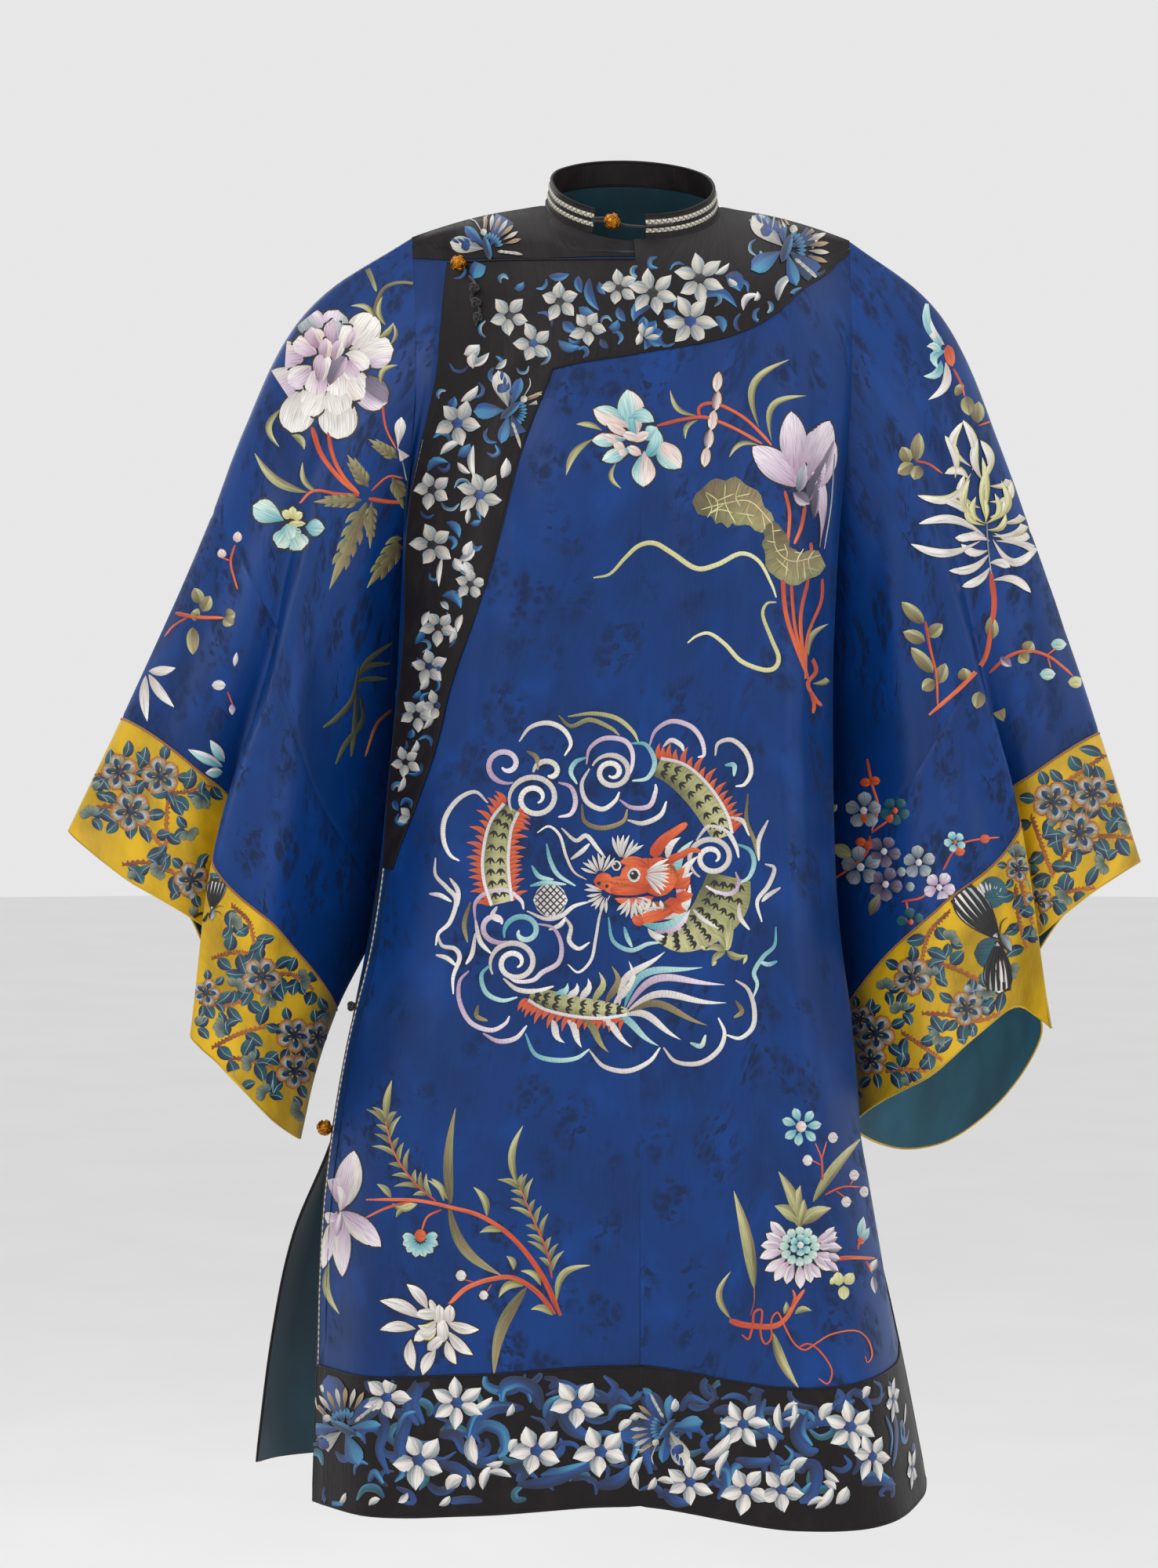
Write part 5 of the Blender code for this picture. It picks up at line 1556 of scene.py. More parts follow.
def lotus_spray(s):
    """Open lotus, bud, dried leaf and tied stems."""
    s.level = 0
    for points, wide in (
        ([(838, 543), (870, 535), (895, 532), (912, 536), (940, 548), (972, 566)], 4.4),
        ([(893, 534), (891, 522), (899, 515), (917, 516), (945, 530), (968, 550), (984, 568)], 4.4),
        ([(1001, 626), (1007, 655), (1005, 690)], 4.6), ([(1027, 645), (1022, 672), (1013, 694)], 5.0),
        ([(1034, 692), (1035, 704)], 4.6), ([(998, 735), (1004, 790), (1030, 862)], 6.0),
        ([(1009, 742), (1014, 800), (1031, 868)], 4.4), ([(1031, 738), (1021, 790), (1027, 858)], 5.0),
        ([(1049, 738), (1047, 768), (1030, 812), (1027, 866)], 4.2),
        ([(1028, 862), (1034, 840), (1041, 856), (1030, 872), (1040, 892), (1048, 900)], 5.6),
        ([(1030, 872), (1038, 896), (1037, 910)], 5.0),
    ):
        s.stem(points, wide, "orange", 0.9)
    for row in (
        (768, 549, 735, 541, 7, 0.1), (756, 560, 722, 606, 9, 0.14), (786, 590, 792, 623, 6, 0.3),
        (888, 530, 855, 498, 6, -0.22), (890, 536, 874, 560, 6, 0.25), (968, 545, 1006, 459, 9, -0.30),
        (984, 562, 1028, 505, 8, -0.36), (968, 568, 930, 583, 6, 0.25), (1031, 836, 1056, 796, 7, -0.2),
        (1036, 872, 1062, 852, 8, 0.25),
    ):
        s.blade(*row[:5], "lime", bow=row[5], widest=0.5, half="olive")
    for line, wide in (
        ([(757, 737), (778, 732), (797, 712), (815, 696), (835, 693), (858, 706), (888, 725), (915, 720),
          (945, 706), (968, 716), (984, 745), (990, 762)], 6.4),
        ([(990, 768), (978, 770), (973, 785), (984, 815), (993, 838), (988, 852), (972, 854), (945, 843),
          (925, 822), (905, 808), (889, 811), (877, 820)], 6.0),
    ):
        s.arc(line, wide, "cream")
    s.level, s.gap = 1, 1.5
    for x, y, to_x, to_y, wide, tone, half in (
        (812, 560, 800, 497, 34, "aqua", "blush"), (806, 545, 757, 522, 26, "blush", "aqua"),
        (800, 560, 755, 562, 18, "aqua", "blush"), (808, 572, 768, 587, 18, "aqua", "mint"),
        (822, 575, 820, 621, 30, "blush", "aqua"), (832, 560, 868, 597, 30, "blush", "aqua"),
        (824, 562, 838, 545, 22, "aqua", "mint"),
    ):
        s.blade(x, y, to_x, to_y, wide, tone, half=half, widest=0.6, blunt=0.75)
    s.level = 2
    s.blade(798, 536, 834, 538, 20, "aqua", bow=-0.2, blunt=0.7)
    s.blade(823, 582, 836, 546, 18, "aqua", bow=0.2, blunt=0.7)
    for x, y, to_x, to_y in (
        (800, 555, 774, 540), (790, 565, 768, 556), (818, 560, 793, 553), (796, 575, 783, 563),
        (818, 580, 800, 570), (800, 578, 787, 577), (806, 562, 830, 552),
    ):
        s.blade(x, y, to_x, to_y, 12, "blush", blunt=0.55, widest=0.5)
    for k, (x, y) in enumerate(((915, 487), (914, 511), (909, 536), (904, 560), (900, 583))):
        s.blade(x + 2, y - 13, x - 2, y + 13, 12, "blush", half="dusk" if k % 2 else "blush", blunt=0.6,
                widest=0.5)
    s.level = 1
    for row in (
        (1015, 610, 1009, 525, 34, "lilac"), (1022, 618, 1058, 537, 40, "lilac"),
        (1024, 622, 960, 570, 36, "lilac"), (1030, 640, 1064, 562, 30, "dusk"),
        (1012, 628, 1032, 643, 18, "dusk"),
    ):
        s.blade(*row[:5], row[5], widest=0.55, blunt=0.7, half="lilac")
    s.level = 2
    s.blade(1018, 628, 1026, 590, 16, "grey", half="lilac")
    s.blade(1045, 698, 1034, 590, 17, "lilac", bow=0.08, widest=0.7)
    s.blade(1038, 660, 1046, 588, 14, "dusk", half="lilac")
    s.blade(1042, 640, 1054, 578, 12, "lilac")
    s.gap = 0.0
    s.stem([(1064, 575), (1060, 640), (1051, 700)], 2.4, "grey", 0.5)
    dried_leaf(s)


def dried_leaf(s):
    """Curled lotus leaf in two folds, with pale couched veins."""
    for level, line, widths in (
        (1, [(886, 648), (905, 640), (925, 640), (945, 644), (965, 658), (980, 672)],
         [8, 23, 30, 28, 17, 12]),
        (2, [(980, 668), (988, 684), (992, 704), (1004, 722), (1026, 722), (1048, 712)],
         [7, 15, 18, 22, 19, 12]),
    ):
        s.level = level
        line, half = smooth(line, 22), smooth([(w, 0) for w in widths], 22)[:, 0]
        ruffle = [w * (1 + 0.10 * math.sin(k * 1.4)) for k, w in enumerate(half)]
        s.ribbon(line, ruffle, "olive", along=False, half="leaf")
    s.level = 4
    for points in (
        [(894, 650), (925, 642), (957, 640), (985, 668)], [(900, 628), (915, 640), (912, 664)],
        [(925, 618), (925, 642), (938, 668)], [(944, 616), (938, 634), (944, 646)],
        [(958, 638), (952, 654), (960, 670)],
        [(925, 642), (905, 655)], [(985, 668), (990, 700), (1010, 716), (1046, 708)],
        [(978, 690), (990, 692)],
        [(996, 722), (1004, 708), (1000, 694)], [(1018, 738), (1016, 716), (1024, 700)],
        [(1034, 732), (1030, 714), (1038, 702)], [(972, 655), (976, 675)],
        [(900, 630), (908, 648), (902, 660)],
        [(912, 640), (936, 630)], [(906, 655), (918, 650), (934, 654)], [(938, 634), (956, 630)],
        [(938, 654), (962, 658)],
        [(984, 678), (996, 676)], [(988, 704), (1002, 700)], [(1004, 716), (1002, 734)],
        [(990, 712), (1006, 728)],
        [(1024, 716), (1026, 738)], [(1026, 724), (1044, 728)], [(1012, 704), (1022, 706)],
    ):
        s.stem(points, 1.8, "cream", 0.8)


LEAF_LONG, LEAF_LEAN, LEAF_THIN = 32, 40, 6


def branch(s, points, wide, leaves):
    """A twig with pairs of narrow leaves."""
    line = smooth(points, leaves * 2 + 3)
    s.stem(points, wide, "orange", 0.4)
    for k in range(leaves):
        for side_way in (-1, 1):
            spot = line[2 + k * 2 - (side_way > 0)]
            way = line[min(3 + k * 2, len(line) - 1)] - line[1 + k * 2]
            angle = math.atan2(way[1], way[0]) + side_way * math.radians(LEAF_LEAN)
            size = LEAF_LONG * (0.8 + 0.25 * math.sin(k * 2.1 + side_way))
            tip = spot + np.array((math.cos(angle), math.sin(angle))) * size
            s.blade(*spot, *tip, LEAF_THIN, "leaf", bow=-0.12 * side_way, widest=0.4,
                    half="olive" if k % 2 else "lime")


def magnolia_spray(s):
    """Arching branch at the overlap's lower corner: two flowers, ferny twigs and long blades."""
    s.level = 0
    s.stem([(715, 1678), (690, 1625), (655, 1580), (615, 1552), (575, 1540), (530, 1531), (467, 1530)],
           7.5, "orange", 0.5)
    s.stem([(708, 1676), (685, 1648), (655, 1630), (625, 1632), (595, 1643), (572, 1664)], 6.5, "orange", 0.9)
    s.stem([(525, 1533), (495, 1540), (467, 1553)], 4.5, "orange", 0.6)
    s.stem([(563, 1543), (545, 1552), (537, 1572)], 3.2, "orange", 0.8)
    s.stem([(606, 1636), (592, 1632)], 2.2, "orange")
    s.stem([(620, 1650), (627, 1638)], 2.2, "orange")
    branch(s, [(556, 1532), (530, 1510), (505, 1475), (494, 1440), (492, 1425)], 3.4, 9)
    branch(s, [(704, 1630), (697, 1595), (680, 1555), (666, 1522), (660, 1510)], 3.4, 9)
    for row in (
        (493, 1430, 500, 1378, 9, -0.06), (660, 1512, 667, 1436, 9, -0.14), (566, 1532, 550, 1503, 8, 0.15),
        (571, 1530, 545, 1505, 6, 0.1), (499, 1528, 481, 1510, 8, 0.1), (500, 1535, 532, 1536, 8, 0.2),
        (505, 1553, 532, 1536, 8, -0.2), (621, 1552, 604, 1514, 9, 0.15), (640, 1571, 612, 1572, 8, 0.15),
        (655, 1620, 646, 1602, 8, 0.2), (690, 1640, 664, 1621, 8, 0.2), (668, 1640, 636, 1655, 10, 0.25),
        (705, 1678, 677, 1670, 9, 0.2), (710, 1660, 753, 1614, 9, -0.28), (420, 1610, 433, 1676, 9, 0.15),
    ):
        s.blade(*row[:5], "lime", bow=row[5], half="leaf")
    s.blade(575, 1536, 581, 1413, 12, "olive", bow=-0.05, half="leaf", widest=0.35)
    s.blade(572, 1532, 640, 1627, 13, "olive", bow=0.16, half="leaf", widest=0.5)
    s.blade(672, 1642, 630, 1757, 15, "olive", bow=0.10, half="leaf", widest=0.4)
    s.level, s.gap = 1, 1.4
    for x, y, to_x, to_y, wide in (
        (436, 1540, 422, 1470, 22), (437, 1542, 452, 1468, 34), (436, 1545, 486, 1590, 28),
        (434, 1545, 437, 1628, 24), (430, 1545, 412, 1618, 18), (428, 1548, 418, 1560, 20),
    ):
        s.blade(x, y, to_x, to_y, wide, "lilac", widest=0.5, blunt=0.75, half="white")
    s.level = 2
    s.blade(434, 1545, 426, 1508, 14, "white", bow=0.2, half="lilac")
    s.blade(430, 1580, 436, 1545, 12, "lilac", half="dusk")
    s.level = 1
    s.petals(536, 1580, 24, 8, "aqua", turn=-10, spread=200, wide=0.44, inner=0.25, blunt=0.5)
    s.level = 2
    s.disc(536, 1576, 8, "orange")
    s.disc(588, 1627, 7, "pearl")
    s.disc(617, 1652, 6, "pearl")
    s.level = 1
    for row in (
        (545, 1670, 519, 1638, 14), (538, 1682, 485, 1659, 16), (530, 1695, 485, 1696, 14),
        (524, 1708, 528, 1748, 15), (556, 1722, 539, 1754, 15), (570, 1710, 582, 1740, 13),
        (572, 1698, 603, 1728, 14), (570, 1686, 611, 1696, 14),
    ):
        s.blade(*row, "white", bow=0.08, widest=0.5)
    s.level = 2
    for row in (
        (560, 1676, 530, 1676, 15), (556, 1690, 528, 1710, 16), (566, 1712, 562, 1680, 16),
        (545, 1722, 566, 1704, 14),
        (556, 1664, 548, 1668, 18), (572, 1688, 574, 1664, 15), (560, 1690, 560, 1664, 16),
    ):
        s.blade(*row, "white", blunt=0.55)
    s.level = 3
    s.blade(556, 1684, 533, 1690, 12, "white", bow=-0.3, half="cream")
    s.blade(534, 1700, 556, 1694, 12, "white", bow=0.3, half="cream")
    s.gap = 0.0


def aster_spray(s):
    """Aster on a twisted root, with stars, berries and a curling tendril."""
    s.level = 0
    for points, wide in (
        ([(930, 1684), (950, 1690), (985, 1692), (1002, 1682), (1014, 1662), (1026, 1645)], 8.5),
        ([(1008, 1672), (1014, 1655), (1011, 1645)], 5.0), ([(1064, 1606), (1086, 1604), (1116, 1605)], 6.5),
        ([(1094, 1594), (1097, 1576)], 3.4), ([(1104, 1608), (1112, 1624)], 3.2),
        ([(1049, 1512), (1048, 1480), (1040, 1458)], 3.0), ([(1047, 1482), (1054, 1456)], 2.4),
        ([(1047, 1486), (1036, 1480)], 2.4), ([(1052, 1524), (1074, 1514), (1098, 1514)], 2.8),
        ([(1066, 1519), (1078, 1528)], 2.2), ([(1084, 1512), (1088, 1504)], 2.2),
    ):
        s.stem(points, wide, "orange", 0.55)
    s.level = 2
    s.stem([(946, 1702), (955, 1708), (960, 1690), (962, 1674), (972, 1672), (970, 1700), (976, 1714),
            (984, 1706),
            (984, 1684), (992, 1674), (1000, 1690), (1012, 1712), (1026, 1722), (1040, 1714), (1060, 1702),
            (1090, 1697), (1106, 1708), (1112, 1728), (1106, 1738), (1103, 1730)], 3.4, "orange", 0.5)
    s.stem([(1018, 1719), (1032, 1714), (1048, 1726), (1061, 1748), (1056, 1765), (1044, 1758)], 3.0,
           "orange", 0.6)
    s.level = 0
    for row in (
        (1037, 1533, 1100, 1450, 13, -0.04), (962, 1644, 936, 1519, 15, 0.03),
        (932, 1682, 932, 1622, 8, -0.25),
        (986, 1700, 1019, 1771, 12, 0.06), (1000, 1676, 1003, 1660, 7, 0.1),
        (1014, 1676, 1035, 1672, 8, -0.2),
        (1022, 1566, 993, 1494, 15, 0.06), (1022, 1562, 1021, 1512, 16, -0.1),
        (1020, 1560, 988, 1538, 17, 0.1),
        (1022, 1562, 1060, 1541, 17, -0.1), (1018, 1566, 1026, 1530, 16, 0.0),
    ):
        s.blade(*row[:5], "lime", bow=row[5], half="olive", widest=0.42)
    s.stem([(957, 1678), (962, 1660), (962, 1640)], 2.4, "rust")
    s.level = 1
    s.petals(1022, 1437, 25, 7, "aqua", turn=-110, wide=0.44, inner=0.28, blunt=0.75)
    s.disc(1022, 1437, 7, "blush")
    for x, y in ((1030, 1480), (1062, 1451), (1089, 1499), (1079, 1533), (1102, 1520)):
        s.disc(x, y, 6.5, "pearl", 1.05)
    s.gap = 1.0
    s.petals(1020, 1592, 49, 14, "lilac", turn=-24, spread=247, wide=0.27, inner=0.4, blunt=0.85,
             uneven=0.1, half="white")
    s.petals(1034, 1596, 42, 5, "lilac", turn=-46, spread=80, wide=0.27, inner=0.4, blunt=0.85,
             uneven=0.1, half="dusk")
    s.level = 2
    s.petals(1020, 1590, 26, 12, "mint", wide=0.42, inner=0.5, blunt=0.45, uneven=0.03)
    s.level = 3
    s.petals(1021, 1588, 14, 6, "aqua", wide=0.7, inner=0.3, blunt=0.45)
    s.disc(1021, 1588, 4.5, "pearl")
    s.gap = 0.0
    s.level = 1
    for row in ((1070, 1640, 1068, 1622, 14), (1076, 1640, 1076, 1658, 14),
                (1078, 1638, 1088, 1624, 14), (1066, 1636, 1060, 1630, 12)):
        s.blade(*row, "cream", blunt=0.6)
    s.blade(1096, 1580, 1101, 1552, 11, "aqua", half="white")
    s.blade(1099, 1584, 1108, 1566, 9, "aqua")
    s.disc(1098, 1582, 5, "orange")
    s.blade(1110, 1622, 1118, 1606, 10, "white", half="dusk")
    s.blade(1113, 1628, 1116, 1650, 8, "dusk", half="white")


def make_front_sprays(look):
    s = Stitches(FRONT, look.stitch)
    for spray in (lotus_spray, magnolia_spray, aster_spray):
        spray(s)
    s.finish("front_sprays")


# ---------------------------------------------------------------- dragon roundel


SPIKES_LONG = 19


def serpent(s, points, widths, spikes, marks=2):
    """A scaled length of the dragon; spikes are the sides (-1 or 1) that carry them."""
    line = smooth(points, int(10 + 5 * len(points)))
    half = smooth([(w / 2, 0) for w in widths], len(line))[:, 0]
    ahead = np.gradient(line, axis=0)
    ahead /= np.linalg.norm(ahead, axis=1, keepdims=True)
    beside = np.stack((-ahead[:, 1], ahead[:, 0]), axis=1)
    s.level = 1
    for way in spikes:
        for k in range(0, len(line), 2):
            root = line[k] + beside[k] * way * half[k] * 0.8
            long = SPIKES_LONG * (0.9 + 0.25 * math.sin(k * 1.7))
            tip = line[k] + beside[k] * way * (half[k] + long) - ahead[k] * 8
            s.blade(*root, *tip, 7, "orange", bow=0.12 * way, widest=0.3)
    s.level = 2
    s.ribbon(line, half, "lime", along=False, half="leaf", high=0.4 * MM)
    s.level = 6
    for way in spikes:
        s.ribbon(line + beside * (way * half * 0.96)[:, None], np.full(len(line), 2.2), "pearl", along=False)
    for k in range(2, len(line) - 2, 4):
        for j in range(marks):
            aside = (j + 0.5) / marks * 1.5 - 0.75
            spot = line[k] + beside[k] * half[k] * aside
            for bend in (-0.7, 0, 0.7):
                way = ahead[k] * math.cos(bend) + beside[k] * math.sin(bend)
                s.blade(*spot, *(spot + way * 9.5), 2.7, "ink", widest=0.35, high=0.2 * MM)


def roundel(s):
    """Coiling dragon that chases its pearl among clouds, in a ring of cloud and flame."""
    serpent(s, [(838, 978), (866, 990), (892, 1015), (912, 1045), (922, 1068)], (24, 34, 36, 34, 26), (-1,))
    serpent(s, [(652, 1030), (638, 1055), (632, 1090), (633, 1120), (640, 1152)], (22, 30, 34, 34, 28),
            (-1, 1))
    serpent(s, [(676, 1268), (700, 1276), (735, 1284), (770, 1288), (800, 1290)], (16, 26, 26, 22, 8), (1,))
    serpent(s, [(930, 1118), (922, 1150), (900, 1178), (868, 1196), (836, 1192)], (56, 66, 56, 38, 14),
            (), marks=4)
    claw_and_tail(s)
    clouds(s)
    dragon_head(s)
    pearl(s)


def claw_and_tail(s):
    """Forefoot with four claws, and the tail's fan of long hairs."""
    s.level = 1
    s.stem([(930, 1160), (930, 1190), (926, 1212)], 12, "lime", 0.8)
    for row in ((926, 1212, 902, 1190, 8), (925, 1214, 900, 1212, 9), (925, 1215, 908, 1232, 8),
                (927, 1213, 953, 1218, 9)):
        s.blade(*row, "lime", bow=0.2, half="leaf", widest=0.35)
    for x, y, to_x, to_y in ((902, 1190, 898, 1180), (900, 1212, 894, 1206), (908, 1232, 914, 1226),
                             (953, 1218, 948, 1230)):
        s.blade(x, y, to_x, to_y, 4, "cream")
    tails = (
        (790, 1284, 848, 1214, -0.16, "white"), (796, 1286, 896, 1234, -0.22, "aqua"),
        (798, 1288, 924, 1256, -0.20, "lilac"), (800, 1290, 926, 1279, -0.12, "white"),
        (798, 1294, 902, 1308, -0.16, "olive"), (790, 1296, 868, 1326, -0.14, "white"),
        (770, 1294, 840, 1334, -0.08, "aqua"), (752, 1294, 806, 1336, -0.08, "white"),
        (738, 1298, 776, 1342, -0.06, "leaf"), (722, 1300, 742, 1336, -0.06, "white"),
        (704, 1300, 720, 1330, 0.12, "white"), (782, 1282, 802, 1226, 0.2, "white"),
        (772, 1280, 780, 1232, 0.22, "olive"), (756, 1278, 764, 1240, 0.2, "lime"),
        (740, 1276, 750, 1248, 0.15, "white"), (724, 1274, 736, 1254, 0.15, "white"),
        (708, 1270, 724, 1254, 0.2, "aqua"),
    )
    s.level = 2
    for x, y, to_x, to_y, bow, tone in tails:
        s.blade(x, y, to_x, to_y, 9, tone, bow=bow, widest=0.4, curl=-0.05, along=False)


def clouds(s):
    """Curled cloud heads, their trailing strands and the tongues of flame round them."""
    s.level = 4
    for row in (
        (682, 1018, 34, 1.75, "white", 150), (645, 975, 27, 1.2, "lilac", 70),
        (780, 985, 26, 1.8, "white", 200), (700, 985, 20, 0.8, "white", 180),
        (908, 1094, 31, 1.8, "white", 120), (656, 1228, 32, 1.75, "white", 150),
        (668, 1188, 26, 1.1, "aqua", 160), (634, 1180, 26, 0.8, "lilac", 60),
    ):
        s.coil(*row)
    arcs = (
        ("lilac", (748, 975), (752, 955), (770, 942), (795, 944), (806, 958), (806, 978), (800, 992)),
        ("white", (752, 980), (742, 1000), (748, 1022), (768, 1032), (784, 1022), (790, 1010)),
        ("lilac", (790, 1020), (806, 1030), (828, 1028), (836, 1010), (836, 1000)),
        ("aqua", (804, 948), (824, 950), (835, 972), (826, 992), (806, 996)),
        ("aqua", (748, 966), (734, 972), (728, 985), (736, 1000)),
        ("olive", (742, 1026), (746, 1048), (768, 1056), (794, 1048), (800, 1032)),
        ("white", (800, 1046), (820, 1050), (842, 1040), (850, 1022)),
        ("white", (662, 946), (676, 928), (698, 922), (718, 930), (728, 948), (720, 964)),
        ("lilac", (712, 998), (728, 1004), (734, 1022), (728, 1038), (712, 1042)),
        ("olive", (672, 958), (684, 966), (686, 982)),
        ("lilac", (828, 952), (836, 932), (856, 920), (880, 926), (894, 942), (898, 962), (890, 966)),
        ("white", (846, 952), (856, 944), (868, 950), (872, 958)),
        ("white", (912, 964), (916, 948), (934, 944), (952, 960), (958, 984), (950, 1000), (938, 1003)),
        ("aqua", (924, 976), (936, 976), (936, 990)),
        ("white", (622, 1024), (606, 1010), (584, 1020), (568, 1044), (566, 1070), (574, 1090), (586, 1098)),
        ("white", (888, 1072), (904, 1054), (926, 1060), (938, 1078), (942, 1094)),
        ("lilac", (938, 1112), (942, 1128), (932, 1140), (914, 1138), (900, 1130)),
        ("aqua", (938, 1076), (956, 1084), (962, 1100), (956, 1118), (944, 1126)),
        ("white", (930, 1042), (948, 1048), (956, 1066)),
        ("lilac", (684, 1178), (706, 1184), (716, 1206), (712, 1228), (692, 1240), (680, 1250),
         (660, 1252), (648, 1246)),
        ("lilac", (606, 1176), (606, 1152), (622, 1138), (646, 1136), (664, 1148), (668, 1160)),
        ("white", (606, 1172), (612, 1200), (626, 1216)),
        ("aqua", (626, 1230), (614, 1244), (620, 1266), (640, 1276), (660, 1272)),
        ("white", (642, 1248), (660, 1262), (684, 1264), (706, 1258)),
        ("lilac", (598, 1238), (586, 1252), (586, 1278), (600, 1304), (626, 1314), (644, 1306), (650, 1296)),
        ("lilac", (616, 1318), (636, 1328), (658, 1324), (672, 1308)),
        ("aqua", (670, 1318), (682, 1344), (706, 1352), (734, 1350), (752, 1338)),
        ("white", (752, 1340), (770, 1360), (800, 1366), (828, 1354), (842, 1336)),
        ("white", (846, 1336), (862, 1354), (892, 1356), (916, 1340), (924, 1318), (916, 1298)),
        ("white", (938, 1250), (954, 1262), (962, 1286), (960, 1310), (944, 1324), (926, 1320)),
        ("olive", (610, 1282), (608, 1296), (622, 1302)), ("olive", (938, 1276), (946, 1290), (936, 1298)),
        ("mint", (880, 1330), (894, 1334), (900, 1320)), ("white", (634, 1156), (628, 1168), (638, 1176)),
    )
    for tone, *points in arcs:
        s.arc(points, 6.4, tone)
    flames = (
        ("white", (558, 1190), (564, 1206), (580, 1210), (586, 1222), (578, 1246), (578, 1268)),
        ("white", (556, 1218), (570, 1222), (582, 1232)),
        ("white", (556, 1094), (556, 1116), (570, 1132), (582, 1148), (574, 1176), (560, 1190), (556, 1206)),
        ("white", (548, 1140), (562, 1142), (576, 1150)), ("white", (574, 1120), (584, 1136), (584, 1156)),
        ("aqua", (990, 1182), (988, 1206), (974, 1220), (962, 1240), (966, 1256), (960, 1274)),
        ("aqua", (992, 1226), (980, 1230), (968, 1226)),
        ("white", (976, 1102), (988, 1108), (980, 1130), (966, 1150), (972, 1176)),
        ("white", (996, 1132), (980, 1142), (972, 1150)),
        ("olive", (954, 1012), (952, 1046), (962, 1072), (966, 1092)),
        ("white", (980, 1046), (968, 1072), (968, 1098)),
        ("leaf", (712, 912), (728, 926), (752, 918), (778, 928), (790, 938)),
        ("lime", (724, 914), (756, 910), (786, 916), (806, 932), (814, 946)),
        ("olive", (600, 1150), (592, 1178), (596, 1202)), ("white", (606, 1190), (602, 1216), (594, 1230)),
        ("aqua", (776, 1170), (782, 1200), (804, 1212), (826, 1204), (842, 1202)),
        ("aqua", (796, 1182), (800, 1196), (806, 1208)),
        ("white", (716, 1056), (734, 1072), (748, 1066), (762, 1082), (772, 1094)),
        ("white", (728, 1096), (742, 1086), (752, 1076)),
        ("white", (884, 1160), (896, 1172), (916, 1184)), ("white", (942, 1150), (944, 1170), (956, 1186)),
    )
    for tone, *points in flames:
        s.arc(points, 6.0, tone)


